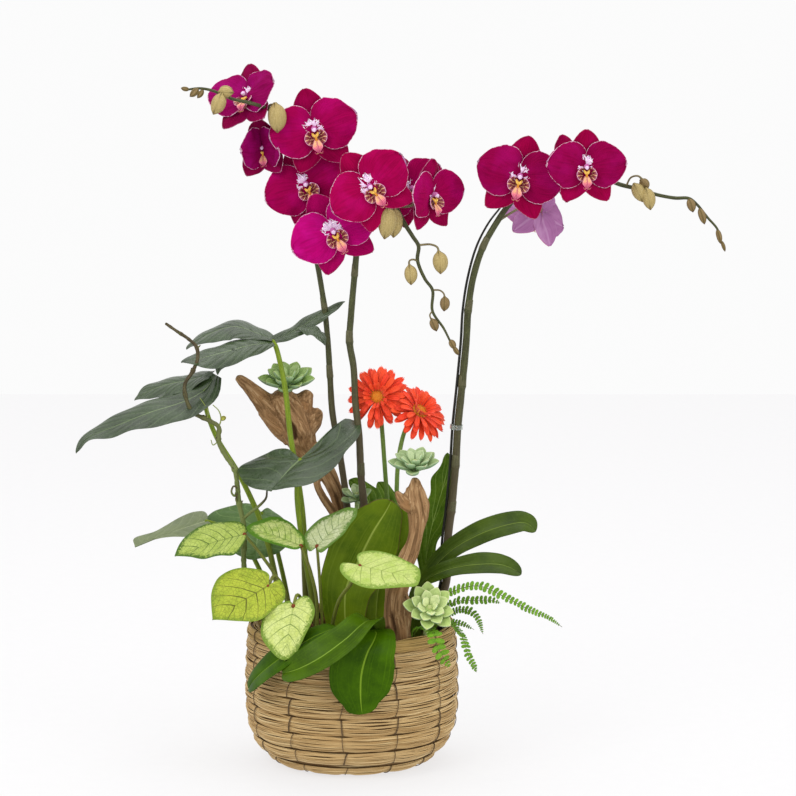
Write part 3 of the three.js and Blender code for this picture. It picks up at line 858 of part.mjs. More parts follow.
for (const [name, s] of Object.entries(PIECES.straps)) place(name, "leaf", (g) => strap(s, Math.round(s.pts.length * 1.4), 1, STRAP_THICKNESS, g));
for (const [name, s] of Object.entries(PIECES.lobed_straps)) place(name, "leaf", (g) => strap(s, s.pts.length, 1, LEAF_THICKNESS, g));
for (const [name, s] of Object.entries(PIECES.rosettes)) place(name, "succulent", (g) => rosette(s, g));
for (const [name, s] of Object.entries(PIECES.fronds)) place(name, "fern", (g) => strap(s, s.pts.length - 1, 0.5, FROND_THICKNESS, g));
for (const [name, s] of Object.entries(PIECES.clips)) place(name, "clip", (g) => clip(PIECES.spikes[s.spike].pts, PIECES.stake.flower_stake.pts, s.at));
place("growing_mix", "mix", soil);
place("moss_cushion", "moss", moss);

const group = new THREE.Group();
group.name = "moth_orchid_in_basket";
for (const piece of made) {
  const m = piece.solid.getMesh(), verts = new Float32Array(m.numVert * 3);
  for (let i = 0; i < m.numVert; i++) verts.set(m.vertProperties.subarray(i * m.numProp, i * m.numProp + 3), i * 3);
  const geometry = new THREE.BufferGeometry();
  geometry.setAttribute("position", new THREE.BufferAttribute(verts, 3));
  geometry.setIndex(new THREE.BufferAttribute(new Uint32Array(m.triVerts), 1));
  geometry.computeVertexNormals();
  const [colour, roughness] = MATERIALS[piece.slot];
  const mesh = new THREE.Mesh(geometry, new THREE.MeshStandardMaterial({ color: colour, roughness, metalness: 0 }));
  mesh.name = piece.name;
  group.add(mesh);
}
export default group;
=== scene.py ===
# A moth orchid arrangement in a round coiled reed basket: the visible surfaces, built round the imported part.
# Lengths in the tables are millimetres in the part's own frame; meshes are written in metres.
import bpy
import math
import zlib
import numpy as np
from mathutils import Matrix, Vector


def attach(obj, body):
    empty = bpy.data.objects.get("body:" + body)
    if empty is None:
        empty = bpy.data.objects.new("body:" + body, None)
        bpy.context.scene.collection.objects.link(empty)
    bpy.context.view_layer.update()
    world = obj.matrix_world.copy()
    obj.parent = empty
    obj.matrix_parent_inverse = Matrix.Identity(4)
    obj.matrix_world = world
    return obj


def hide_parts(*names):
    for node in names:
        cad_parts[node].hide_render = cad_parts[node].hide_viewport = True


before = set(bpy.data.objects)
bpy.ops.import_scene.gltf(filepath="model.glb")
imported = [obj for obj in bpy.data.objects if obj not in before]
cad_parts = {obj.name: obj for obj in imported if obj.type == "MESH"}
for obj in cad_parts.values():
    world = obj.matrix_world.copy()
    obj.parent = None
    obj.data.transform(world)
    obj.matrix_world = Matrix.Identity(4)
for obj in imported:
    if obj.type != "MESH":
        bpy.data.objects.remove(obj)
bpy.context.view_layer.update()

PIECES = {
    "spikes": {
        "flower_spike_left": {
            "pts": [[-0.6, 46.0, 100.0, 4.2], [-1.5, 46.0, 205.0, 4.0], [-5.6, 44.0, 265.2, 3.7], [-12.9, 41.0, 319.8, 3.5], [-20.7, 38.0, 365.5, 3.4], [-23.2, 36.0, 405.4, 3.2], [-25.2, 35.0, 440.8, 3.1], [-28.7, 34.0, 478.1, 3.0], [-34.9, 33.0, 518.5, 2.9], [-41.6, 32.0, 554.5, 2.7], [-48.7, 30.0, 592.5, 2.6], [-56.9, 27.0, 628.4, 2.4], [-66.9, 20.0, 658.9, 2.3], [-76.6, 4.0, 679.2, 2.1], [-86.0, -16.0, 689.6, 2.0], [-102.6, -33.0, 695.8, 1.9], [-121.8, -38.0, 700.5, 1.7], [-141.0, -40.0, 708.7, 1.5], [-154.2, -41.0, 710.9, 1.3], [-165.4, -41.0, 709.7, 1.1]],
            "rings": [3, 5, 7, 9],
            "ped": [[[-41.6, 32.0, 552.4, 1.4], [-30.6, 16.0, 559.9, 1.4], [-18.7, -2.0, 562.8, 1.6]], [[-48.7, 30.0, 592.5, 1.4], [-46.5, 27.0, 603.2, 1.4], [-45.8, 21.0, 608.8, 1.6]], [[-56.9, 27.0, 628.4, 1.4], [-47.1, 18.0, 649.6, 1.4], [-38.2, 1.0, 665.9, 1.6]], [[-66.9, 20.0, 658.9, 1.4], [-77.9, 31.0, 652.2, 1.4], [-90.3, 27.0, 648.2, 1.6]], [[-76.6, 4.0, 679.2, 1.3], [-88.0, 5.0, 689.5, 1.3], [-103.6, 6.5, 696.2, 1.6]], [[-85.0, -15.0, 689.1, 1.3], [-82.8, -18.0, 693.3, 1.2], [-77.6, -20.0, 693.3, 1.6]], [[-121.8, -38.0, 700.5, 1.1], [-124.6, -41.0, 706.1, 1.0], [-130.5, -44.0, 707.2, 1.3]], [[-123.8, -38.0, 701.0, 1.1], [-128.5, -44.0, 702.2, 1.0], [-132.4, -48.0, 701.8, 1.2]]],
            "buds": [[[-77.6, -20.0, 694.4], [-75.2, -19.0, 665.6], 9.6], [[-133.7, -43.0, 707.2], [-118.8, -44.0, 706.7], 6.2], [[-130.8, -48.0, 705.3], [-139.1, -49.0, 685.0], 7.4], [[-155.1, -42.0, 710.7], [-163.3, -43.0, 702.6], 3.6], [[-164.4, -41.0, 709.7], [-172.5, -41.0, 711.2], 2.4], [[-150.0, -42.0, 709.2], [-155.7, -43.0, 701.1], 2.8]]
        },
        "flower_spike_centre": {
            "pts": [[20.2, 20.0, 100.0, 4.5], [17.0, 20.0, 209.9, 4.3], [12.9, 18.0, 268.6, 4.0], [9.8, 16.0, 303.3, 3.8], [7.8, 14.0, 346.4, 3.7], [4.2, 13.0, 378.5, 3.6], [2.2, 12.0, 417.9, 3.5], [-1.9, 11.0, 444.5, 3.6], [-0.3, 10.0, 473.1, 3.4], [3.5, 8.0, 515.4, 3.3], [7.2, 5.0, 551.3, 3.1], [12.6, 0.0, 577.7, 2.9], [20.9, -4.0, 594.6, 2.8], [33.4, -8.0, 599.0, 2.6], [45.4, -12.0, 588.9, 2.5], [55.7, -14.0, 570.9, 2.4], [64.6, -15.0, 557.0, 2.2], [70.3, -16.0, 547.7, 2.1], [69.2, -17.0, 533.2, 1.9], [77.0, -18.0, 513.5, 1.8], [84.8, -19.0, 502.2, 1.7], [84.8, -20.0, 480.4, 1.5], [96.3, -21.0, 462.7, 1.3], [103.1, -22.0, 449.3, 1.1]],
            "rings": [3, 7, 9],
            "ped": [[[20.9, -4.0, 594.6, 1.5], [21.1, -16.0, 603.7, 1.5], [21.2, -29.0, 608.5, 1.7]], [[33.4, -8.0, 599.0, 1.4], [46.9, 4.0, 604.6, 1.4], [58.4, 13.0, 606.1, 1.6]], [[45.4, -12.0, 588.9, 1.4], [61.4, -12.0, 588.9, 1.3], [75.9, -12.0, 598.2, 1.6]], [[46.9, -13.0, 587.9, 1.2], [42.8, -22.0, 587.5, 1.2], [38.2, -28.0, 588.4, 1.5]], [[49.0, -13.0, 584.8, 1.2], [46.9, -17.0, 585.1, 1.2], [45.9, -19.0, 583.2, 1.5]], [[70.8, -16.0, 548.7, 1.2], [83.2, -18.0, 549.4, 1.1], [89.9, -19.0, 546.4, 1.1], [91.2, -19.0, 540.7, 1.3]], [[69.2, -17.0, 532.2, 1.1], [64.5, -21.0, 534.1, 1.0], [60.7, -23.0, 532.7, 1.0], [60.9, -24.0, 526.5, 1.2]], [[84.8, -19.0, 502.2, 1.0], [92.6, -21.0, 501.9, 0.9], [96.7, -22.0, 498.3, 0.9], [97.2, -22.0, 494.1, 1.1]], [[84.8, -20.0, 480.4, 0.9], [82.0, -22.0, 476.4, 0.8], [83.8, -23.0, 471.3, 0.9]]],
            "buds": [[[38.7, -28.0, 588.9], [35.1, -28.0, 556.4], 9.4], [[44.9, -16.0, 586.1], [44.3, -16.0, 557.0], 8.6], [[91.2, -19.0, 541.7], [93.1, -19.0, 519.4], 8.0], [[60.9, -24.0, 528.1], [62.5, -24.0, 508.4], 6.8], [[97.3, -22.0, 495.2], [96.8, -22.0, 480.6], 5.2], [[83.8, -23.0, 472.3], [89.0, -23.0, 459.8], 4.6], [[103.1, -22.0, 450.3], [107.8, -22.0, 440.9], 3.6], [[106.7, -22.0, 443.0], [111.9, -22.0, 434.6], 2.6]]
        },
        "flower_spike_right": {
            "pts": [[80.09589033261616, 17.56839070107234, 100.0, 4.6], [89.3, 19.5, 150.0, 4.6], [100.7, 22.0, 187.9, 4.5], [101.7, 21.0, 229.2, 4.4], [105.3, 20.0, 261.8, 4.3], [109.9, 17.0, 311.7, 4.1], [112.2, 14.0, 353.9, 4.0], [116.4, 10.0, 398.0, 3.9], [120.7, 6.0, 447.2, 3.8], [122.3, 3.0, 478.1, 3.7], [127.3, 1.0, 512.4, 3.5], [137.1, -1.0, 544.4, 3.4], [152.0, -2.0, 571.6, 3.2], [165.0, -2.0, 590.4, 3.0], [182.1, 0.0, 606.9, 2.8], [207.1, 2.0, 618.2, 2.6], [233.1, 2.0, 622.3, 2.4], [258.9, -1.0, 618.3, 2.3], [280.6, -4.0, 610.4, 2.2], [301.2, -6.0, 605.7, 2.1], [316.7, -8.0, 600.6, 1.9], [336.3, -9.0, 597.0, 1.8], [350.7, -10.0, 596.6, 1.7], [359.1, -10.0, 590.3, 1.5], [370.6, -11.0, 576.4, 1.3], [380.0, -12.0, 565.6, 1.2], [384.3, -12.0, 553.6, 1.0]],
            "rings": [4, 5, 7, 9, 11],
            "ped": [[[165.0, -2.0, 590.4, 1.5], [171.4, -8.0, 603.2, 1.5], [175.1, -16.0, 615.0, 1.7]], [[233.1, 2.0, 622.3, 1.4], [240.3, -14.0, 626.3, 1.4], [242.2, -33.0, 628.8, 1.6]], [[154.1, -2.0, 573.2, 1.5], [165.9, 8.0, 579.8, 1.4], [181.0, 20.0, 586.9, 1.4], [196.0, 26.0, 590.2, 1.6]], [[207.1, 2.0, 618.2, 1.3], [217.9, 10.0, 623.0, 1.3], [228.7, 17.0, 626.8, 1.5]], [[285.7, -5.0, 608.7, 1.1], [290.5, -8.0, 618.2, 1.0], [297.6, -10.0, 619.9, 1.0], [302.7, -11.0, 615.8, 1.3]], [[297.0, -6.0, 606.7, 1.0], [295.0, -12.0, 609.6, 1.0], [293.2, -15.0, 609.3, 1.2]], [[305.3, -7.0, 604.7, 1.0], [305.4, -12.0, 606.5, 1.0], [306.2, -15.0, 605.1, 1.2]]],
            "buds": [[[293.1, -16.0, 611.9], [302.1, -16.0, 593.8], 6.8], [[305.4, -17.0, 607.3], [310.3, -17.0, 585.6], 6.9], [[300.2, -11.0, 615.8], [307.9, -12.0, 607.0], 5.2], [[350.7, -10.5, 596.1], [354.8, -13.0, 582.8], 4.6], [[361.7, -11.0, 586.3], [366.9, -13.0, 570.3], 3.9], [[380.3, -12.0, 564.5], [383.9, -12.5, 550.0], 3.0], [[384.9, -12.0, 552.6], [388.7, -12.0, 541.7], 2.0]]
        }
    },
    "blooms": {
        "bloom_left_1": {"c": [-106.5, 2.0, 699.4], "yaw": -32, "pitch": 30, "roll": 14, "s": 42, "cup": 24},
        "bloom_left_2": {"c": [-92.2, 22.0, 647.9], "yaw": -5, "pitch": -4, "roll": 6, "s": 37, "cup": 64},
        "bloom_left_3": {"c": [-37.4, -6.0, 667.2], "yaw": 0, "pitch": 0, "roll": 13, "s": 47, "cup": 14},
        "bloom_left_4": {"c": [-46.1, 15.0, 609.1], "yaw": -4, "pitch": 2, "roll": 25, "s": 46, "cup": 14},
        "bloom_left_5": {"c": [-18.0, -8.0, 562.7], "yaw": 3, "pitch": -4, "roll": 29, "s": 47, "cup": 12},
        "bloom_centre_1": {"c": [20.7, -36.0, 610.0], "yaw": 2, "pitch": 0, "roll": 38, "s": 46.5, "cup": 14},
        "bloom_centre_2": {"c": [61.0, 20.0, 604.7], "yaw": 32, "pitch": 2, "roll": 26, "s": 41, "cup": 14},
        "bloom_centre_3": {"c": [82.2, -8.0, 600.1], "yaw": 47, "pitch": -4, "roll": 4, "s": 41, "cup": 18},
        "bloom_right_1": {"c": [174.3, -24.0, 619.6], "yaw": 0, "pitch": 0, "roll": -12, "s": 46.5, "cup": 14},
        "bloom_right_2": {"c": [241.6, -42.0, 630.8], "yaw": 2, "pitch": -4, "roll": 1, "s": 41.5, "cup": 14},
        "bloom_right_3": {"c": [198.4, 31.0, 580.9], "yaw": 205, "pitch": -30, "roll": 24, "s": 39, "cup": 32},
        "bloom_right_4": {"c": [230.2, 24.0, 627.5], "yaw": 28, "pitch": 4, "roll": 20, "s": 38, "cup": 14}
    },
    "straps": {
        "orchid_leaf_front": {
            "pts": [[0.0, -50.0, 112.0], [9.0, -72.0, 150.0], [26.4, -96.0, 155.8], [24.4, -108.0, 150.0], [17.3, -116.0, 138.2], [11.7, -118.5, 117.9], [10.7, -119.0, 100.3], [11.2, -118.5, 86.6], [12.5, -117.5, 75.6]],
            "w": [7, 9, 17, 24, 31, 33.5, 30, 18, 1.5],
            "n": [[0.195, 0.976, 0.098], [0.097, 0.679, 0.728], [0.0, -0.148, 0.989], [0.0, -0.6, 0.8], [0.0, -0.954, 0.301], [0.0, -0.995, 0.1], [0.0, -0.999, 0.05], [0.0, -0.999, 0.05], [0.0, -0.999, 0.05]],
            "fold": 10
        },
        "orchid_leaf_left_upper": {
            "pts": [[28.0, -56.0, 112.0], [28.0, -74.0, 152.0], [18.2, -99.0, 167.9], [-5.0, -122.0, 153.1], [-30.2, -131.0, 136.4], [-52.8, -127.0, 124.1], [-69.0, -118.0, 117.8]],
            "w": [7, 9, 14, 19, 20, 16, 1.5],
            "n": [[-0.286, 0.953, 0.095], [-0.28, 0.466, 0.839], [-0.092, -0.37, 0.925], [-0.153, -0.56, 0.814], [-0.206, -0.639, 0.742], [-0.36, -0.7, 0.617], [-0.439, -0.731, 0.522]],
            "fold": 24
        },
        "orchid_leaf_left_lower": {
            "pts": [[-24.0, -44.0, 112.0], [-21.0, -66.0, 150.0], [-12.8, -88.0, 159.3], [-36.1, -103.0, 153.1], [-68.7, -109.0, 133.5], [-95.5, -88.0, 107.7], [-106.3, -72.0, 91.3]],
            "w": [7, 9, 12, 14, 15.5, 13, 1.5],
            "n": [[0.282, 0.941, 0.188], [0.196, 0.588, 0.784], [0.0, -0.1, 0.995], [-0.303, -0.505, 0.808], [-0.445, -0.672, 0.593], [-0.59, -0.64, 0.492], [-0.721, -0.577, 0.384]],
            "fold": 14
        },
        "orchid_leaf_back": {
            "pts": [[-3.7, -18.0, 112.0], [-5.8, -14.0, 184.3], [7.9, -8.0, 215.3], [22.6, -6.0, 244.9], [35.8, -8.0, 266.6], [42.2, -12.0, 279.5]],
            "w": [14, 28, 36, 32, 20, 1.5],
            "n": [[-0.192, -0.962, 0.192], [0.098, -0.976, 0.195], [0.195, -0.877, 0.439]],
            "fold": 10
        },
        "orchid_leaf_back_right": {
            "pts": [[24.7, -6.0, 112.0], [27.8, 2.0, 181.0], [38.4, 8.0, 212.2], [49.0, 8.0, 240.2], [52.2, 6.0, 267.9]],
            "w": [9, 16, 22, 20, 1.5],
            "n": [[0.279, -0.931, 0.233], [0.346, -0.89, 0.297], [0.346, -0.89, 0.297]],
            "fold": 14
        },
        "orchid_leaf_right_upper": {
            "pts": [[73.4, 0.0, 112.0], [76.5, 0.0, 186.8], [102.8, -6.0, 221.8], [133.1, -14.0, 242.0], [162.3, -20.0, 253.8], [182.1, -22.0, 256.8], [193.7, -22.0, 248.8]],
            "w": [8, 10, 14, 16, 16, 13.5, 1.5],
            "n": [[-0.609, -0.508, 0.609], [-0.301, -0.622, 0.723], [0.351, -0.621, 0.701]],
            "fold": 18
        },
        "orchid_leaf_right_lower": {
            "pts": [[65.9, -18.0, 112.0], [72.1, -22.0, 188.0], [95.1, -32.0, 206.5], [129.3, -44.0, 216.3], [158.2, -50.0, 216.9], [177.5, -50.0, 208.4]],
            "w": [8, 10, 12.5, 15.5, 15, 1.5],
            "n": [[-0.39, -0.488, 0.781], [-0.08, -0.551, 0.831], [0.249, -0.549, 0.798]],
            "fold": 16
        }
    },
    "leaves": {
        "philodendron_leaf_centre": {
            "a": [-53.1, -20.0, 324.4],
            "m": [-68.2, -36.0, 311.6],
            "t": [-82.7, -50.3, 296.5],
            "w": 47.1,
            "n": [-0.2, -0.55, 0.811],
            "n2": [-0.2, -0.55, 0.811],
            "stalk": [[-31.6, -2.0, 108.0, 3.4], [-45.1, -4.0, 193.0, 3.3], [-54.2, -8.0, 252.7, 3.1], [-57.0, -13.0, 290.9, 3.0], [-53.1, -20.0, 324.4, 2.6]],
            "droop": 0.05,
            "fold": 0.07,
            "wave": 0.0,
            "asym": 1.0,
            "rim": {
                "pos": [[1, 0], [1.047, 0.107], [1.12, 0.355], [1.101, 0.61], [0.983, 0.885], [0.836, 1.097], [0.701, 1.099], [0.495, 1.007], [0.191, 0.834], [0.03, 0.706], [-0.103, 0.434], [-0.052, 0.198], [-0.02, 0.03]],
                "neg": [[1, 0], [0.96, 0.135], [0.824, 0.36], [0.673, 0.595], [0.451, 0.764], [0.128, 0.843], [-0.24, 0.889], [-0.609, 0.819], [-0.94, 0.779], [-1.295, 0.655], [-1.482, 0.384], [-1.485, 0.031], [-1.359, 0.02], [-1.123, 0.02], [-0.859, 0.02], [-0.567, 0.02], [-0.287, 0.02], [-0.02, 0.03]]
            }
        },
        "philodendron_leaf_low_left": {
            "a": [-155.5, 26.0, 251.0],
            "m": [-193.9, 24.6, 238.3],
            "t": [-231.4, 24.6, 223.2],
            "w": 24.2,
            "n": [-0.299, -0.458, 0.837],
            "n2": [-0.299, -0.458, 0.837],
            "stalk": [[-72.3, 38.7, 108.0, 2.8], [-96.8, 38.0, 190.2, 2.6], [-125.1, 32.0, 238.1, 2.4], [-155.5, 26.0, 251.0, 2.2]],
            "droop": 0.05,
            "fold": 0.07,
            "wave": 0.0,
            "asym": 1.0,
            "rim": {
                "pos": [[1, 0], [0.964, 0.576], [0.709, 0.483], [0.532, 0.646], [0.357, 0.848], [0.187, 0.929], [0.038, 0.812], [-0.032, 0.453], [-0.02, 0.03]],
                "neg": [[1, 0], [0.891, 0.02], [0.721, 0.02], [0.508, 0.272], [0.313, 0.691], [0.119, 1.03], [-0.031, 1.071], [-0.088, 0.653], [-0.02, 0.03]]
            }
        },
        "philodendron_leaf_low_back": {
            "a": [-98.1, 52.0, 255.2],
            "m": [-100.7, 32.1, 234.0],
            "t": [-103.0, 14.5, 211.0],
            "w": 46.4,
            "n": [-0.05, -0.759, 0.649],
            "n2": [-0.05, -0.759, 0.649],
            "stalk": [[-60.9, 46.0, 108.0, 2.8], [-74.8, 50.0, 187.8, 2.6], [-90.7, 53.0, 245.2, 2.4], [-98.1, 52.0, 255.2, 2.2]],
            "droop": 0.05,
            "fold": 0.07,
            "wave": 0.0,
            "asym": 1.0,
            "rim": {
                "pos": [[1, 0], [1.001, 0.161], [0.951, 0.352], [0.83, 0.599], [0.638, 0.904], [0.416, 1.148], [0.211, 1.253], [0.051, 1.114], [-0.041, 0.894], [-0.117, 0.625], [-0.17, 0.399], [-0.153, 0.163], [-0.02, 0.03]],
                "neg": [[1, 0], [0.967, 0.158], [0.912, 0.337], [0.803, 0.578], [0.654, 0.722], [0.443, 0.74], [0.249, 0.667], [0.099, 0.529], [-0.039, 0.322], [-0.134, 0.12], [-0.02, 0.03]]
            }
        },
        "caladium_leaf_left": {
            "a": [-111.5, -32.0, 246.9],
            "m": [-148.3, -35.3, 237.4],
            "t": [-184.5, -37.0, 225.5],
            "w": 27.7,
            "n": [-0.2, -0.55, 0.811],
            "n2": [-0.2, -0.55, 0.811],
            "stalk": [[-54.2, -22.0, 108.0, 2.0], [-72.8, -26.0, 188.8, 1.9], [-93.4, -29.0, 223.5, 1.8], [-111.5, -32.0, 246.9, 1.6]],
            "droop": 0.05,
            "fold": 0.07,
            "wave": 0.0,
            "asym": 1.0,
            "rim": {
                "pos": [[1, 0], [0.892, 0.438], [0.75, 0.879], [0.594, 1.084], [0.42, 1.106], [0.242, 0.991], [0.083, 0.789], [-0.016, 0.564], [-0.059, 0.238], [-0.02, 0.03]],
                "neg": [[1, 0], [0.795, 0.379], [0.665, 0.615], [0.532, 0.785], [0.369, 0.888], [0.229, 0.897], [0.106, 0.716], [-0.002, 0.338], [-0.02, 0.03]]
            }
        },
        "caladium_leaf_mid": {
            "a": [-52.2, -40.0, 236.2],
            "m": [-80.7, -34.4, 246.2],
            "t": [-109.6, -26.9, 253.9],
            "w": 18.2,
            "n": [0.1, -0.619, 0.779],
            "n2": [0.1, -0.619, 0.779],
            "stalk": [[-39.2, -30.0, 108.0, 2.1], [-35.9, -33.0, 172.1, 2.0], [-43.0, -37.0, 210.1, 1.9], [-52.2, -40.0, 236.2, 1.7]],
            "droop": 0.05,
            "fold": 0.07,
            "wave": 0.0,
            "asym": 1.0,
            "rim": {
                "pos": [[1, 0], [0.935, 0.454], [0.847, 0.787], [0.714, 1.213], [0.552, 1.402], [0.364, 1.368], [0.175, 1.012], [0.03, 0.719], [-0.041, 0.427], [-0.02, 0.03]],
                "neg": [[1, 0], [0.923, 0.327], [0.757, 0.565], [0.568, 0.627], [0.385, 0.625], [0.179, 0.509], [0.031, 0.366], [-0.02, 0.03]]
            }
        },
        "caladium_leaf_upper": {
            "a": [-35.3, -46.0, 237.0],
            "m": [-14.8, -40.5, 256.7],
            "t": [6.7, -32.9, 274.6],
            "w": 18.5,
            "n": [-0.36, -0.679, 0.639],
            "n2": [-0.36, -0.679, 0.639],
            "stalk": [[-28.8, -26.0, 108.0, 1.8], [-32.6, -36.0, 194.0, 1.7], [-35.3, -46.0, 237.0, 1.5]],
            "droop": 0.05,
            "fold": 0.07,
            "wave": 0.0,
            "asym": 1.0,
            "rim": {
                "pos": [[1, 0], [0.845, 0.446], [0.683, 0.571], [0.503, 0.711], [0.276, 0.723], [0.087, 0.669], [-0.033, 0.541], [-0.02, 0.03]],
                "neg": [[1, 0], [0.889, 0.463], [0.763, 0.732], [0.585, 0.999], [0.395, 1.239], [0.153, 1.293], [0.025, 1.24], [-0.067, 0.919], [-0.146, 0.505], [-0.136, 0.059], [-0.02, 0.03]]
            }
        },
        "caladium_leaf_low_left": {
            "a": [-85.3, -66.0, 198.6],
            "m": [-114.2, -74.7, 183.4],
            "t": [-142.6, -81.0, 166.5],
            "w": 34.0,
            "n": [-0.12, -0.799, 0.589],
            "n2": [-0.12, -0.799, 0.589],
            "stalk": [[-55.7, -40.0, 108.0, 2.0], [-67.7, -50.0, 187.2, 1.9], [-79.6, -60.0, 208.3, 1.8], [-85.3, -66.0, 198.6, 1.6]],
            "droop": 0.05,
            "fold": 0.07,
            "wave": 0.0,
            "asym": 1.0,
            "rim": {
                "pos": [[1, 0], [0.897, 0.436], [0.81, 0.717], [0.701, 0.929], [0.562, 1.104], [0.396, 1.125], [0.218, 1.0], [0.027, 0.732], [-0.076, 0.529], [-0.106, 0.311], [-0.057, 0.136], [-0.02, 0.03]],
                "neg": [[1, 0], [0.827, 0.262], [0.653, 0.535], [0.465, 0.809], [0.324, 0.874], [0.184, 0.814], [0.043, 0.755], [-0.088, 0.643], [-0.183, 0.4], [-0.202, 0.177], [-0.178, 0.02], [-0.111, 0.02], [-0.02, 0.03]]
            }
        },
        "caladium_leaf_low_mid": {
            "a": [-58.8, -84.0, 181.7],
            "m": [-62.9, -102.7, 157.8],
            "t": [-66.3, -119.1, 132.1],
            "w": 27.9,
            "n": [-0.281, -0.763, 0.582],
            "n2": [-0.281, -0.763, 0.582],
            "stalk": [[-47.0, -50.0, 108.0, 2.0], [-49.6, -62.0, 179.1, 1.9], [-55.3, -76.0, 191.4, 1.8], [-58.8, -84.0, 181.7, 1.6]],
            "droop": 0.05,
            "fold": 0.07,
            "wave": 0.0,
            "asym": 1.0,
            "rim": {
                "pos": [[1, 0], [0.958, 0.28], [0.818, 0.63], [0.64, 0.959], [0.456, 1.119], [0.268, 1.129], [0.118, 0.947], [-0.003, 0.676], [-0.069, 0.425], [-0.09, 0.161], [-0.02, 0.03]],
                "neg": [[1, 0], [0.931, 0.257], [0.764, 0.485], [0.543, 0.692], [0.314, 0.849], [0.088, 0.873], [-0.082, 0.709], [-0.169, 0.482], [-0.172, 0.243], [-0.108, 0.087], [-0.02, 0.03]]
            }
        },
        "caladium_leaf_right": {
            "a": [9.7, -86.0, 223.8],
            "m": [40.8, -91.9, 218.7],
            "t": [71.5, -96.1, 211.2],
            "w": 27.3,
            "n": [0.08, -0.551, 0.831],
            "n2": [0.08, -0.551, 0.831],
            "stalk": [[-26.5, -36.0, 108.0, 2.0], [-13.2, -64.0, 180.6, 2.0], [1.6, -82.0, 206.3, 1.9], [9.7, -86.0, 223.8, 1.6]],
            "droop": 0.05,
            "fold": 0.07,
            "wave": 0.0,
            "asym": 1.0,
            "rim": {
                "pos": [[1, 0], [0.973, 0.383], [0.781, 0.62], [0.591, 0.847], [0.366, 1.043], [0.173, 1.083], [-0.024, 0.938], [-0.196, 0.664], [-0.296, 0.331], [-0.271, 0.063], [-0.172, 0.02], [-0.069, 0.02], [-0.02, 0.03]],
                "neg": [[1, 0], [0.983, 0.247], [0.892, 0.632], [0.705, 0.741], [0.491, 0.871], [0.27, 0.916], [0.035, 0.85], [-0.076, 0.717], [-0.096, 0.45], [-0.02, 0.03]]
            }
        }
    },
    "lobed_straps": {
        "gerbera_leaf_right": {
            "pts": [[67.0, 47.2, 112.0], [77.0, 50.0, 187.8], [83.3, 46.0, 232.3], [91.8, 42.0, 265.6], [99.2, 38.0, 293.3], [102.3, 34.0, 313.4], [101.6, 30.0, 323.7]],
            "w": [3, 6, 13, 15, 12, 6, 1.2],
            "n": [[-0.192, -0.962, 0.192], [-0.282, -0.941, 0.188], [-0.188, -0.941, 0.282]],
            "fold": 16
        },
        "gerbera_leaf_left": {
            "pts": [[30.6, 62.0, 112.0], [28.5, 62.0, 191.0], [23.1, 60.0, 246.1], [12.5, 56.0, 275.2], [-3.5, 50.0, 291.4]],
            "w": [3, 6, 12, 14, 1.5],
            "n": [[0.095, -0.953, 0.286], [0.185, -0.74, 0.647], [-0.174, -0.696, 0.696]],
            "fold": 12
        },
        "gerbera_leaf_back": {
            "pts": [[36.7, 73.3, 112.0], [39.2, 78.0, 187.9], [40.3, 78.0, 240.8], [35.0, 72.0, 270.3], [27.5, 66.0, 286.6]],
            "w": [3, 6, 14, 13, 1.5],
            "n": [[0.095, -0.953, 0.286], [0.185, -0.74, 0.647], [-0.174, -0.696, 0.696]],
            "fold": 12
        }
    },
    "gerberas": {
        "gerbera_1": {
            "c": [27.3, 27.0, 384.1],
            "n": [-0.122, -0.967, 0.224],
            "r": 33.5,
            "stem": [[42.6, 30.0, 108.0, 2.5], [39.4, 32.0, 207.7, 2.5], [37.3, 34.0, 272.3, 2.5], [35.1, 35.0, 304.6, 2.4], [32.0, 35.0, 347.7, 2.4], [29.4, 33.5, 376.8, 2.5]]
        },
        "gerbera_2": {
            "c": [70.2, 27.0, 367.5],
            "n": [0.501, -0.602, 0.622],
            "r": 34,
            "stem": [[51.1, 20.0, 108.0, 2.4], [49.0, 20.0, 209.9, 2.4], [47.4, 21.0, 274.5, 2.4], [50.1, 24.0, 322.4, 2.4], [57.5, 30.0, 350.5, 2.3], [64.9, 33.0, 360.3, 2.5]]
        }
    },
    "rosettes": {
        "succulent_top": {"c": [-67.7, 47.0, 393.3], "n": [0.0, -0.423, 0.906], "r": 32.5, "k": 16, "h": 15},
        "succulent_right": {"c": [66.7, -32.0, 316.2], "n": [0.0, -0.382, 0.924], "r": 28.5, "k": 16, "h": 14},
        "succulent_front": {
            "c": [80.4, -86.0, 176.7],
            "n": [0.121, -0.824, 0.553],
            "r": 29.5,
            "k": 18,
            "h": 15,
            "stem": [[80.4, -86.0, 176.7], [78.0, -62.0, 150.0], [74.0, -56.0, 112.0]]
        },
        "succulent_small": {"c": [5.2, 36.0, 273.1], "n": [0.0, -0.503, 0.865], "r": 20, "k": 12, "h": 12, "stem": [[5.2, 36.0, 273.1], [4.0, 40.0, 200.0], [4.0, 42.0, 112.0]]}
    },
    "woods": {
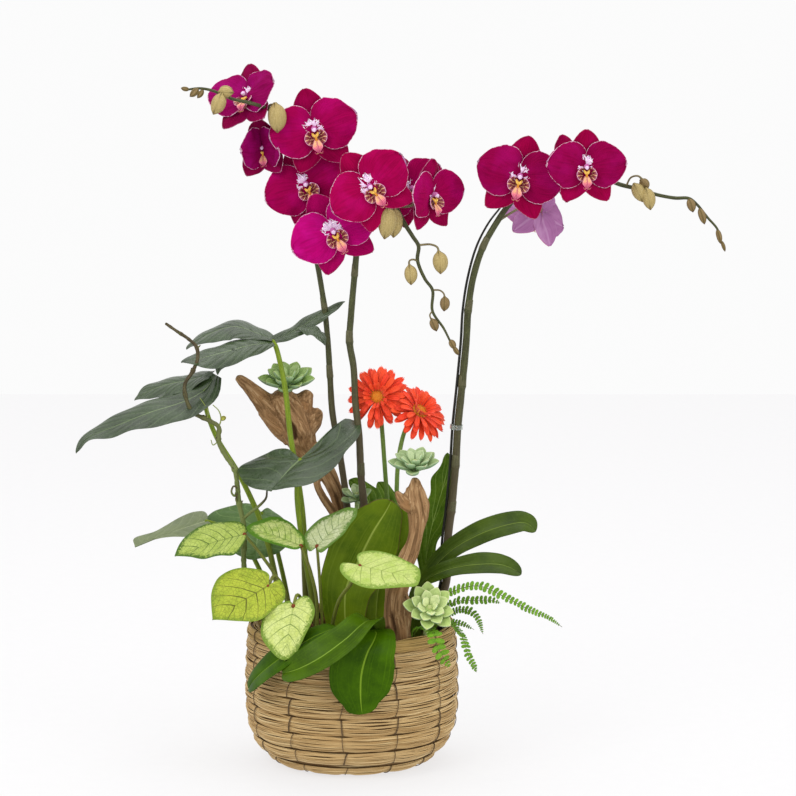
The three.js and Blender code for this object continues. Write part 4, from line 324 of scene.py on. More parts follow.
        "driftwood_left": [[[-0.9, 66.0, 105.0, 10], [-5.0, 64.0, 201.6, 9], [-9.2, 60.0, 246.1, 8.5], [-16.5, 56.0, 274.1, 9], [-26.1, 53.0, 297.4, 9.5], [-43.1, 50.0, 317.4, 12], [-53.6, 48.0, 331.8, 16], [-59.9, 46.0, 348.2, 21], [-68.3, 44.0, 365.7, 22], [-75.6, 42.0, 377.8, 18]], [[-62.0, 46.0, 351.5, 21], [-82.1, 42.0, 366.0, 16], [-97.8, 38.0, 381.6, 10.5], [-110.2, 34.0, 395.0, 6.5], [-120.6, 31.0, 404.4, 3.6]], [[-64.1, 46.0, 362.2, 20], [-53.4, 46.0, 375.2, 14], [-46.9, 45.0, 384.4, 7]], [[-55.7, 48.0, 345.8, 18], [-42.8, 48.0, 357.7, 13], [-36.4, 47.0, 364.3, 7]], [[-52.6, 48.0, 335.0, 14], [-66.3, 44.0, 338.8, 10], [-81.0, 41.0, 348.9, 7], [-95.7, 38.0, 366.6, 5]], [[-36.8, 52.0, 301.9, 4], [-37.7, 44.0, 288.0, 4.5], [-31.1, 38.0, 274.9, 4.5], [-20.4, 36.0, 259.0, 5], [-11.0, 40.0, 238.8, 5.5]]],
        "driftwood_right": [[[48.0, -64.0, 105.0, 13], [48.0, -66.0, 150.3, 13], [45.9, -63.0, 170.8, 12], [48.0, -54.0, 192.3, 12], [55.3, -44.0, 213.6, 9.5], [64.7, -38.0, 236.9, 8.5], [69.9, -36.0, 260.9, 9], [68.8, -36.0, 278.8, 11], [66.7, -35.0, 292.4, 9.5], [66.2, -34.0, 303.8, 6]], [[66.7, -36.0, 275.7, 9], [55.3, -37.0, 282.2, 7], [48.0, -37.0, 291.7, 3.6]], [[53.2, -58.0, 182.5, 9], [59.4, -64.0, 171.1, 6], [58.3, -68.0, 152.9, 4]]]
    },
    "vine": {
        "vine": {
            "main": [[-81.98191051418308, -1.722309044415611, 108.0, 3.2], [-92.7, -4.0, 150.0, 3.2], [-109.6, -6.0, 180.5, 2.9], [-113.8, -8.0, 215.3, 2.7], [-112.8, -8.0, 242.0, 2.7], [-114.2, -9.0, 257.2, 2.6], [-117.5, -11.0, 273.5, 2.6], [-119.6, -13.0, 295.1, 2.6], [-122.4, -14.0, 313.4, 2.6], [-130.7, -15.0, 326.2, 2.6], [-138.8, -16.0, 343.3, 2.5], [-138.6, -17.0, 358.3, 2.5], [-150.5, -19.0, 366.5, 2.3], [-164.9, -21.0, 374.1, 2.2], [-172.0, -22.0, 389.5, 2.1], [-172.9, -22.0, 404.2, 2.0], [-164.8, -23.0, 417.4, 2.0], [-159.4, -23.0, 431.6, 1.9], [-160.6, -22.0, 443.0, 1.8], [-168.8, -21.0, 451.2, 1.7], [-181.3, -20.0, 459.5, 1.6], [-192.2, -19.0, 467.0, 1.5]],
            "branches": [[[-113.1, -9.0, 260.4, 1.9], [-105.4, -14.0, 267.6, 1.7], [-95.8, -17.0, 275.6, 1.5], [-89.4, -18.0, 283.2, 1.2], [-88.3, -18.0, 291.7, 0.9]], [[-119.5, -13.0, 290.9, 1.4], [-122.5, -17.0, 285.2, 1.2], [-125.5, -19.0, 289.8, 1.1], [-123.0, -19.0, 296.1, 1.0], [-119.7, -19.0, 294.0, 0.9]], [[-117.5, -11.0, 273.5, 1.2], [-121.0, -15.0, 280.6, 1.0], [-119.8, -18.0, 287.5, 0.9]]],
            "tendrils": [[[-138.7, -17.0, 357.2, 0.8], [-135.8, -20.0, 367.1, 0.7], [-137.7, -22.0, 375.8, 0.6], [-143.8, -23.0, 382.3, 0.5]], [[-150.5, -19.0, 367.0, 0.8], [-149.1, -22.0, 375.8, 0.6], [-153.1, -24.0, 383.5, 0.5], [-157.2, -25.0, 389.9, 0.4]], [[-138.8, -16.0, 343.3, 0.8], [-144.4, -19.0, 339.5, 0.6], [-146.3, -21.0, 345.1, 0.5]]],
            "buds": [[[-135.8, -20.0, 366.1], [-130.5, -21.0, 369.4], 2.6]]
        }
    },
    "fronds": {
        "fern_frond_1": {
            "pts": [[68.82865081190252, -44.57147997781981, 116.0], [76.1, -51.7, 150.0], [88.4, -62.0, 179.1], [104.9, -70.0, 193.4], [131.5, -78.0, 201.3], [157.1, -84.0, 192.0], [184.8, -88.0, 178.2], [204.3, -90.0, 170.2], [217.8, -90.0, 160.8]],
            "w": [2, 2.5, 3, 6.0, 6.6, 6.2, 5.0, 3.4, 0.8],
            "n": [0.0, -0.6, 0.8]
        },
        "fern_frond_2": {
            "pts": [[72.74896165122962, -37.83633939307451, 116.0], [81.8, -42.0, 150.0], [93.9, -48.0, 167.7], [108.4, -52.0, 179.2], [127.0, -56.0, 181.6], [146.7, -58.0, 182.0], [155.0, -58.0, 179.3]],
            "w": [2, 2.5, 3, 6, 6, 5, 0.8],
            "n": [0.0, -0.6, 0.8]
        },
        "fern_frond_3": {
            "pts": [[77.50158779721892, -26.786263063554927, 116.0], [87.4, -28.8, 150.0], [98.3, -32.0, 159.0], [111.9, -36.0, 167.3], [124.3, -40.0, 167.1], [132.6, -44.0, 159.4], [137.8, -46.0, 143.9]],
            "w": [2, 2.5, 3, 4.8, 5, 4.2, 0.8],
            "n": [0.196, -0.784, 0.588]
        },
        "fern_frond_4": {
            "pts": [[64.0, -50.0, 116.0], [66.0, -66.0, 150.5], [75.0, -88.0, 160.0], [85.8, -110.0, 157.7], [88.8, -117.0, 147.8], [94.9, -119.0, 135.8], [102.1, -117.0, 124.9]],
            "w": [2, 3.5, 5, 8, 9.5, 8, 1],
            "n": [[0.0, -0.981, 0.196], [0.0, -0.287, 0.958], [0.0, -0.287, 0.958], [0.207, -0.83, 0.518], [0.297, -0.89, 0.346], [0.302, -0.905, 0.302], [0.302, -0.905, 0.302]]
        },
        "fern_frond_5": {
            "pts": [[76.5, -29.4, 116.0], [84.0, -46.0, 150.5], [99.0, -57.0, 160.0], [111.2, -70.0, 153.3], [117.1, -86.0, 145.2], [121.1, -93.0, 132.0], [127.3, -92.0, 120.2], [130.0, -90.0, 113.4]],
            "w": [2, 3, 3.6, 4.4, 5.5, 5.5, 4, 0.8],
            "n": [[0.0, -0.981, 0.196], [0.0, -0.287, 0.958], [0.095, -0.286, 0.953], [0.398, -0.597, 0.697], [0.596, -0.745, 0.298], [0.596, -0.745, 0.298], [0.596, -0.745, 0.298], [0.596, -0.745, 0.298]]
        },
        "fern_frond_6": {
            "pts": [[80.51062544172089, -15.557608781008868, 116.0], [90.7, -15.6, 150.0], [99.6, -17.0, 151.6], [116.5, -20.0, 149.0], [129.1, -22.0, 143.5]],
            "w": [2, 3.25, 4.5, 4, 0.8],
            "n": [0.0, -0.6, 0.8]
        }
    },
    "stake": {
        "flower_stake": {
            "pts": [[70.0, 25.0, 108.0, 1.4], [84.0, 24.0, 150.0, 1.4], [94.7, 22.0, 187.9, 1.4], [95.8, 21.5, 229.1, 1.4], [99.5, 20.5, 261.7, 1.4], [104.1, 17.5, 311.6, 1.4], [106.5, 14.5, 353.8, 1.4], [110.7, 10.5, 398.0, 1.4], [115.0, 6.5, 447.1, 1.4], [116.6, 3.5, 478.0, 1.3], [121.6, 1.0, 512.4, 1.3], [130.8, -1.0, 546.0, 1.2], [143.2, -2.0, 570.6, 1.1], [155.1, -3.0, 586.3, 1.0]]
        }
    },
    "clips": {"stem_clip": {"at": 6, "spike": "flower_spike_right"}},
    "lobed_leaves": {
        "philodendron_leaf_top": {
            "stalk": [[-46.8, 10.0, 108.0, 3.6], [-49.8, 10.0, 195.7, 3.5], [-51.7, 11.0, 254.7, 3.3], [-56.7, 9.0, 298.0, 3.1], [-63.9, 9.0, 340.7, 3.0], [-70.5, 11.0, 399.0, 2.9], [-79.9, 14.0, 440.0, 2.6], [-83.1, 15.5, 445.1, 2.4]],
            "lobes": [{
                "pts": [[-81.6, 17.0, 446.0], [-100.9, 24.0, 452.6], [-124.4, 30.0, 458.4], [-151.8, 28.0, 450.1], [-174.7, 22.0, 435.9]],
                "w": [6, 16, 26, 21, 2],
                "n": [[0.0, -0.243, 0.97], [0.0, -0.305, 0.952], [-0.477, -0.191, 0.858]],
                "fold": 10
            }, {
                "pts": [[-83.5, 13.0, 444.3], [-108.2, 2.0, 441.3], [-134.9, -8.0, 435.1], [-159.6, -14.0, 429.5], [-177.2, -17.0, 426.7]],
                "w": [8, 17, 20, 17, 3.5],
                "n": [[0.0, -0.494, 0.869], [0.0, -0.494, 0.869], [-0.302, -0.302, 0.905]],
                "fold": 9
            }, {
                "pts": [[-84.8, 17.0, 444.9], [-64.9, 22.0, 452.8], [-41.9, 30.0, 465.8], [-22.9, 34.0, 476.0], [-7.1, 38.0, 485.2]],
                "w": [5, 9, 9.5, 6, 1.2],
                "n": [[0.291, -0.389, 0.874], [0.349, -0.399, 0.848], [0.447, -0.298, 0.844]],
                "fold": 10
            }, {
                "pts": [[-51.2, 24.0, 459.0], [-38.2, 10.0, 456.3], [-30.6, 2.0, 449.7], [-27.4, -2.0, 442.8]],
                "w": [7, 9, 5, 1.0],
                "n": [[0.398, -0.697, 0.597], [0.505, -0.808, 0.303], [0.518, -0.83, 0.207]],
                "fold": 6
            }, {
                "pts": [[-118.2, -8.0, 436.1], [-130.3, -16.0, 428.7], [-137.5, -19.0, 421.7], [-139.1, -20.0, 413.4]],
                "w": [8, 7, 4, 1.0],
                "n": [[-0.196, -0.784, 0.588], [-0.206, -0.928, 0.309], [-0.195, -0.976, 0.098]],
                "fold": 6
            }]
        },
        "philodendron_leaf_left": {
            "stalk": [[-70.4, 14.0, 108.0, 3.2], [-80.7, 12.0, 189.9, 3.1], [-95.1, 9.0, 249.7, 3.0], [-117.8, 5.0, 302.9, 2.8], [-142.5, 1.0, 346.1, 2.6], [-152.6, -2.0, 376.3, 2.4], [-153.4, -2.0, 394.3, 2.2]],
            "lobes": [{
                "pts": [[-142.0, 2.0, 410.7], [-153.4, -2.0, 395.3], [-175.1, -8.0, 383.4], [-210.2, -16.0, 372.9], [-249.5, -22.0, 357.9], [-274.3, -26.0, 348.0], [-287.3, -28.0, 332.4]],
                "w": [10, 25, 28, 24, 17, 9.5, 1.2],
                "n": [[-0.198, -0.446, 0.873], [-0.246, -0.491, 0.836], [-0.457, -0.457, 0.762]],
                "fold": 14
            }, {
                "pts": [[-146.6, 8.0, 411.0], [-170.5, 18.0, 403.4], [-196.6, 26.0, 397.1], [-217.0, 28.0, 389.3], [-230.8, 28.0, 380.8]],
                "w": [9, 18, 20, 11, 1.2],
                "n": [[-0.101, -0.404, 0.909], [-0.147, -0.442, 0.885], [-0.303, -0.505, 0.808]],
                "fold": 8
            }]
        }
    }
}

BASKET_PROFILE = [(0, 74), (8, 88), (16, 97.5), (26, 104.5), (38, 109.5), (52, 112.2), (70, 113), (90, 113), (110, 112.3), (128, 111.2), (147, 110)]
COIL_EDGES = [0, 15, 32, 49.5, 67.5, 86, 103.5, 119, 134.5, 147]
TAU = 2 * math.pi


# ---- numbers --------------------------------------------------------------------------------------------------------
def rng_of(name):
    return np.random.default_rng(zlib.crc32(name.encode()))


def unit(v):
    v = np.asarray(v, float)
    return v / np.maximum(np.linalg.norm(v, axis=-1, keepdims=True), 1e-9)


def smooth(x, a, b):
    t = np.clip((np.asarray(x, float) - a) / (b - a), 0, 1)
    return t * t * (3 - 2 * t)


def curve_at(points, t):
    """Centripetal Catmull-Rom through the points, t from 0 to 1 even in the points' own count."""
    p = np.asarray(points, float)
    n = len(p)
    if n == 2:
        return p[0] + (p[1] - p[0]) * np.asarray(t)[..., None]
    t = np.clip(np.asarray(t, float), 0, 1) * (n - 1)
    i = np.minimum(t.astype(int), n - 2)
    w = (t - i)[..., None]
    ext = np.vstack([2 * p[0] - p[1], p, 2 * p[-1] - p[-2]])
    a, b, c, d = ext[i], ext[i + 1], ext[i + 2], ext[i + 3]
    k = lambda u, v: np.maximum(((u - v) ** 2).sum(-1, keepdims=True), 1e-8) ** 0.25
    d0, d1, d2 = k(a, b), k(b, c), k(c, d)
    t1 = ((b - a) / d0 - (c - a) / (d0 + d1) + (c - b) / d1) * d1
    t2 = ((c - b) / d1 - (d - b) / (d1 + d2) + (d - c) / d2) * d1
    return b + t1 * w + (-3 * b + 3 * c - 2 * t1 - t2) * w**2 + (2 * b - 2 * c + t1 + t2) * w**3


def even(points, count):
    """Values of t at which the curve's points lie evenly along it, and its length."""
    t = np.linspace(0, 1, 40 * len(points))
    p = curve_at(points, t)
    s = np.concatenate([[0], np.cumsum(np.linalg.norm(np.diff(p, axis=0), axis=1))])
    return np.interp(np.linspace(0, s[-1], count), s, t), s[-1]


def tangents(p):
    return unit(np.gradient(p, axis=0))


def list_at(values, t):
    v = np.asarray(values, float)
    at = np.clip(np.asarray(t, float), 0, 1) * (len(v) - 1)
    i = np.minimum(at.astype(int), len(v) - 2)
    f = at - i
    if v.ndim > 1:
        f = f[..., None]
    return v[i] * (1 - f) + v[i + 1] * f


def table_at(table, x):
    a = np.array(table, float)
    return np.interp(x, a[:, 0], a[:, 1])


def carried(p, first=None):
    """Directions across a line of points, carried along it without twist."""
    d = tangents(p)
    across = np.asarray(first if first is not None else ((0, 0, 1) if abs(d[0][2]) < 0.9 else (1, 0, 0)), float)
    out = []
    for k in d:
        across = across - k * across.dot(k)
        across = across / np.linalg.norm(across)
        out.append(across)
    out = np.array(out)
    return d, out, np.cross(d, out)


def waves(rng, count=5, low=1.0, high=4.0):
    """A smooth random function of two numbers, about -1 to 1."""
    k = [(rng.uniform(low, high) * rng.choice([-1, 1]), rng.uniform(low, high) * rng.choice([-1, 1]), rng.uniform(0, TAU), rng.uniform(0.5, 1)) for _ in range(count)]
    total = sum(x[3] for x in k) * 0.6
    return lambda u, v: sum(a * np.sin(i * u + j * v + f) for i, j, f, a in k) / total


# ---- meshes ---------------------------------------------------------------------------------------------------------
class Build:
    """Collects the surfaces of one piece. q: straightened place in mm, n: along 0..1, across -1..1, number; e: mm to the margin."""

    def __init__(self):
        self.v, self.quads, self.tris, self.mq, self.mt, self.q, self.n, self.e, self.rim = [], [], [], [], [], [], [], [], []
        self.count = 0

    def add(self, v, quads=None, tris=None, mat=0, q=None, n=None, e=None, rim=None):
        v = np.asarray(v, float).reshape(-1, 3)
        k = len(v)
        self.v.append(v)
        self.q.append(np.broadcast_to(v if q is None else np.reshape(q, (-1, 3)), (k, 3)))
        self.n.append(np.broadcast_to((0.5, 0, 0) if n is None else np.reshape(n, (-1, 3)), (k, 3)))
        self.e.append(np.broadcast_to(5.0 if e is None else np.reshape(e, -1), (k,)))
        self.rim.append(np.zeros(k, int) if rim is None else rim)
        for faces, out, mats in ((quads, self.quads, self.mq), (tris, self.tris, self.mt)):
            if faces is not None and len(faces):
                faces = np.asarray(faces, int)
                out.append(faces + self.count)
                mats.append(np.broadcast_to(mat, (len(faces),)))
        self.count += k

    def piece(self, name, materials, node=None, slot=None):
        v = np.concatenate(self.v) * 0.001
        faces = [f for part in self.quads for f in part.tolist()] + [f for part in self.tris for f in part.tolist()]
        mats = np.concatenate([*self.mq, *self.mt])
        me = bpy.data.meshes.new(name)
        me.from_pydata(v.tolist(), [], faces)
        me.polygons.foreach_set("material_index", mats.astype(np.int32))
        me.polygons.foreach_set("use_smooth", np.ones(len(faces), bool))
        for key, kind, values in (("q", "FLOAT_VECTOR", self.q), ("n", "FLOAT_VECTOR", self.n), ("e", "FLOAT", self.e)):
            data = np.concatenate(values).astype(np.float32).ravel()
            me.attributes.new(key, kind, "POINT").data.foreach_set("vector" if kind == "FLOAT_VECTOR" else "value", data)
        rim = np.concatenate(self.rim)
        if rim.any():
            pairs = np.zeros(len(me.edges) * 2, np.int32)
            me.edges.foreach_get("vertices", pairs)
            pairs = rim[pairs.reshape(-1, 2)]
            sharp = (pairs[:, 0] == pairs[:, 1]) & (pairs[:, 0] > 0)
            me.edges.foreach_set("use_edge_sharp", sharp)
        me.update()
        ob = bpy.data.objects.new(name, me)
        bpy.context.scene.collection.objects.link(ob)
        for m in materials:
            me.materials.append(m)
        if node:
            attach(ob, "root")
            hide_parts(node)
        return ob


def grid_faces(rows, cols):
    i, k = np.arange(rows - 1)[:, None], np.arange(cols - 1)[None, :]
    a = i * cols + k
    return np.stack([a, a + 1, a + cols + 1, a + cols], -1).reshape(-1, 4)


def normals_of(v, faces):
    a, b, c, d = (v[faces[:, j]] for j in range(4))
    n = np.cross(c - a, d - b)
    out = np.zeros_like(v)
    for j in range(4):
        np.add.at(out, faces[:, j], n)
    return unit(out)


def slab(b, p, thick, front=0, back=1, flip=False, q=None, n=None, e=None, bias=0.0):
    """A closed sheet round a grid of middle points; thick may vary over the grid. bias moves it along its normal, in thicknesses."""
    rows, cols = p.shape[:2]
    v, faces, m = p.reshape(-1, 3), grid_faces(rows, cols), rows * cols
    if flip:
        faces = faces[:, ::-1]
    normal = normals_of(v, faces)
    t = np.broadcast_to(thick, (rows, cols)).reshape(-1, 1)
    ring = np.concatenate([np.arange(cols), np.arange(1, rows) * cols + cols - 1, (rows - 1) * cols + np.arange(cols - 2, -1, -1), np.arange(rows - 2, 0, -1) * cols])
    if flip:
        ring = ring[::-1]
    nxt = np.roll(ring, -1)
    side = np.stack([nxt, ring, ring + m, nxt + m], -1)
    flag = np.zeros(2 * m, int)
    flag[ring], flag[ring + m] = 1, 2
    twice = lambda a, w: None if a is None else np.tile(np.asarray(a, float).reshape((m, w) if w > 1 else (m,)), (2, 1) if w > 1 else 2)
    quads = np.concatenate([faces, faces[:, ::-1] + m, side])
    mats = np.concatenate([np.full(len(faces), front), np.full(len(faces), back), np.full(len(side), front)])
    b.add(np.concatenate([v + normal * t * (0.5 + bias), v - normal * t * (0.5 - bias)]), quads, mat=mats, q=twice(q, 3), n=twice(n, 3), e=twice(e, 1), rim=flag)
    return normal.reshape(rows, cols, 3)


def tube(b, points, sides=8, step=2.0, mat=0, number=0.0, flat=1.0, first=None, radius=None, rough=None, cap=True, least=3, offset=0.0, margin=None, dent=None):
    """A closed tapering tube with rounded ends through points [x, y, z, radius]. radius(s, t, r) and rough(s, angle, r) may change it."""
    pts = np.asarray(points, float)
    _, length = even(pts[:, :3], 3)
    count = max(least, int(length / step) + 1)
    t, length = even(pts[:, :3], count)
    p = curve_at(pts[:, :3], t)
    r = list_at(pts[:, 3], t)
    s = np.linspace(0, length, count)
    if radius is not None:
        r = radius(s, t, r)
    d, across, other = carried(p, first)
    a = np.arange(sides) * TAU / sides
    x, y = r[:, None] * np.cos(a), r[:, None] * np.sin(a) * flat
    if rough is not None:
        k = 1 + rough(s[:, None], a[None, :], r[:, None])
        x, y = x * k, y * k
    v = p[:, None] + across[:, None] * x[..., None] + other[:, None] * y[..., None]
    q = np.stack([np.broadcast_to(s[:, None] + offset, x.shape), x, y], -1)
    n = np.stack([np.broadcast_to(t[:, None], x.shape), np.broadcast_to(np.cos(a), x.shape), np.full(x.shape, float(number))], -1)
    e = np.full(x.shape, 5.0) if margin is None else margin(s[:, None], a[None, :], r[:, None]) + x * 0
    if cap:
        def ring(i, sign, f, g):
            lq = q[i] * (1, f, f) + (sign * r[i] * g, 0, 0)
            return p[i] + (v[i] - p[i]) * f + d[i] * sign * r[i] * g, lq, n[i], e[i]
        start = [ring(0, -1, 0.42, 0.62), ring(0, -1, 0.8, 0.4)]
        end = [ring(-1, 1, 0.8, 0.4), ring(-1, 1, 0.42, 0.62)]
        v, q, n, e = (np.concatenate([np.stack([o[j] for o in start]), w, np.stack([o[j] for o in end])]) for j, w in enumerate((v, q, n, e)))
    rows = len(v)
    i = np.arange(rows - 1)[:, None] * sides
    wrap = np.stack([i + sides - 1, i, i + sides, i + 2 * sides - 1], -1).reshape(-1, 4)
    faces = np.concatenate([grid_faces(rows, sides), wrap])
    m, k = rows * sides, np.arange(sides)
    tris = np.concatenate([np.stack([np.full(sides, m), (k + 1) % sides, k], -1), np.stack([np.full(sides, m + 1), m - sides + k, m - sides + (k + 1) % sides], -1)])
    ends = lambda w: np.concatenate([w.reshape(m, -1), w[0].reshape(sides, -1).mean(0)[None], w[-1].reshape(sides, -1).mean(0)[None]])
    b.add(ends(v), faces, tris, mat=mat, q=ends(q), n=ends(n), e=ends(e)[:, 0])
    return p, d, across, other, s, r


# ---- materials ------------------------------------------------------------------------------------------------------
def colour(text):
    c = [int(text[i : i + 2], 16) / 255 for i in (1, 3, 5)]
    return tuple(x / 12.92 if x <= 0.04045 else ((x + 0.055) / 1.055) ** 2.4 for x in c) + (1.0,)


class Finish:
    """A node material: small calls that add one node each and give its output."""

    def __init__(self, name, **sockets):
        self.m = bpy.data.materials.new(name)
        self.m.use_nodes = True
        self.t = self.m.node_tree
        self.t.nodes.clear()
        self.out = self.t.nodes.new("ShaderNodeOutputMaterial")
        self.b = self.t.nodes.new("ShaderNodeBsdfPrincipled")
        self.t.links.new(self.b.outputs[0], self.out.inputs[0])
        self.cache = {}
        for k, v in sockets.items():
            self.set(k.replace("_", " "), v)

    def set(self, socket, value):
        names = {"base": "Base Color", "rough": "Roughness", "spec": "Specular IOR Level", "metal": "Metallic", "coat": "Coat Weight", "coat rough": "Coat Roughness",
                 "sheen": "Sheen Weight", "sheen rough": "Sheen Roughness", "sheen tint": "Sheen Tint", "ior": "IOR", "alpha": "Alpha", "sub": "Subsurface Weight",
                 "sub scale": "Subsurface Scale", "sub radius": "Subsurface Radius", "glass": "Transmission Weight", "normal": "Normal"}
        self.link(self.b.inputs[names.get(socket, socket)], value)

    def link(self, socket, value):
        if hasattr(value, "node") or hasattr(value, "is_output"):
            self.t.links.new(value, socket)
        elif isinstance(value, str):
            socket.default_value = colour(value)
        elif isinstance(value, (tuple, list)) and len(value) == 3 and len(socket.default_value) == 4:
            socket.default_value = (*value, 1.0)
        else:
            socket.default_value = value

    def attr(self, name):
        if name not in self.cache:
            a = self.t.nodes.new("ShaderNodeAttribute")
            a.attribute_name = name
            self.cache[name] = a
        return self.cache[name]

    def vec(self, name="q"):
        return self.attr(name).outputs["Vector"]

    def part(self, name, axis):
        key = (name, "split")
        if key not in self.cache:
            s = self.t.nodes.new("ShaderNodeSeparateXYZ")
            self.t.links.new(self.vec(name), s.inputs[0])
            self.cache[key] = s
        return self.cache[key].outputs[axis]

    def e(self):
        return self.attr("e").outputs["Fac"]

    def math(self, op, a, b=0.0, c=0.0, clamp=False):
        x = self.t.nodes.new("ShaderNodeMath")
        x.operation = op
        x.use_clamp = clamp
        for i, v in enumerate((a, b, c)):
            if i < len(x.inputs):
                self.link(x.inputs[i], v)
        return x.outputs[0]

    def mul(self, a, b):
        return self.math("MULTIPLY", a, b)

    def plus(self, a, b):
        return self.math("ADD", a, b)

    def between(self, x, lo, hi, out_lo=0.0, out_hi=1.0):
        """x from lo..hi to out_lo..out_hi, smooth and held at the ends; lo may be over hi."""
        r = self.t.nodes.new("ShaderNodeMapRange")
        r.interpolation_type = "SMOOTHSTEP"
        if lo > hi:
            lo, hi, out_lo, out_hi = hi, lo, out_hi, out_lo
        for i, v in enumerate((x, lo, hi, out_lo, out_hi)):
            self.link(r.inputs[i], v)
        return r.outputs[0]

    def scaled(self, v, by):
        x = self.t.nodes.new("ShaderNodeVectorMath")
        x.operation = "MULTIPLY"
        self.link(x.inputs[0], v)
        self.link(x.inputs[1], by)
        return x.outputs[0]

    def joinv(self, a, b, c):
        x = self.t.nodes.new("ShaderNodeCombineXYZ")
        for i, v in enumerate((a, b, c)):
            self.link(x.inputs[i], v)
        return x.outputs[0]

    def noise(self, v, scale=1.0, detail=2.0, rough=0.5, bend=0.0):
        x = self.t.nodes.new("ShaderNodeTexNoise")
        self.link(x.inputs["Vector"], v)
        for k, val in (("Scale", scale), ("Detail", detail), ("Roughness", rough), ("Distortion", bend)):
            self.link(x.inputs[k], val)
        return x.outputs[0]

    def cells(self, v, scale=1.0, feature="F1", edge=False):
        x = self.t.nodes.new("ShaderNodeTexVoronoi")
        x.feature = "DISTANCE_TO_EDGE" if edge else feature
        self.link(x.inputs["Vector"], v)
        self.link(x.inputs["Scale"], scale)
        return x.outputs["Distance"]

    def mix(self, f, a, b, how="MIX"):
        x = self.t.nodes.new("ShaderNodeMix")
        x.data_type = "RGBA"
        x.blend_type = how
        x.clamp_factor = True
        self.link(x.inputs[0], f)
        self.link(x.inputs[6], a)
        self.link(x.inputs[7], b)
        return x.outputs[2]

    def ramp(self, f, stops):
        x = self.t.nodes.new("ShaderNodeValToRGB")
        r = x.color_ramp
        while len(r.elements) > 1:
            r.elements.remove(r.elements[-1])
        for i, (at, c) in enumerate(stops):
            el = r.elements[0] if i == 0 else r.elements.new(at)
            el.position = at
            el.color = colour(c) if isinstance(c, str) else (*c, 1.0)
        self.link(x.inputs[0], f)
        return x.outputs[0]

    def bump(self, height, strength=0.3, distance=0.001, normal=None):
        x = self.t.nodes.new("ShaderNodeBump")
        x.inputs["Strength"].default_value = strength
        x.inputs["Distance"].default_value = distance
        self.link(x.inputs["Height"], height)
        if normal is not None:
            self.link(x.inputs["Normal"], normal)
        self.link(self.b.inputs["Normal"], x.outputs[0])
        return x.outputs[0]


def petal_finish(name, main, deep, light, edge="#f3d4e2", white=0.0, reverse=False, rim=0.75):
    f = Finish(name, spec=0.02)
    u, v = f.part("n", 0), f.part("n", 1)
    fan = f.joinv(f.mul(f.math("DIVIDE", v, f.math("MAXIMUM", f.plus(u, 0.25), 0.2)), 9.0), f.mul(u, 1.3), f.part("n", 2))
    veins = f.noise(fan, 1.6, 3.0, 0.55, 0.4)
    blotch = f.noise(f.vec("q"), 0.035, 3.0, 0.55)
    c = f.mix(f.between(veins, 0.42, 0.64, 0.0, 0.55), main, deep)
    c = f.mix(f.between(blotch, 0.42, 0.7, 0.0, 0.5), c, light)
    # darker towards the foot of each tepal; with the pale crown's lilac this is painted shade
    c = f.mix(f.between(u, 0.30, 0.02, 0.0, 0.6), c, deep)
    if reverse:
        rib = f.math("ABSOLUTE", v)
        c = f.mix(f.between(rib, 0.16, 0.0, 0.0, 0.5), c, light)
    # ragged white nicks and a fine white line along the margin
    e = f.plus(f.e(), f.mul(f.noise(f.vec("q"), 0.5, 2.0, 0.6), -1.9))
    line = f.between(e, -0.45, -0.85, 0.0, rim)
    c = f.mix(line, c, edge)
    # pale ragged patch at the foot of the tepal
    r = f.plus(f.mul(u, 30.0), f.mul(f.noise(f.vec("q"), 0.5, 2.0, 0.7), 5.0))
    if white:
        c = f.mix(f.between(r, 7.6, 6.6, 0.0, white), c, "#e9cfe8")
    f.set("base", c)
    f.set("rough", f.between(blotch, 0.2, 0.8, 0.56, 0.68))
    fine = f.noise(f.vec("q"), 3.5, 2.0, 0.6)
    f.bump(f.plus(f.mul(veins, 0.6), f.mul(fine, 0.25)), 0.30, 0.0008)
    return f.m


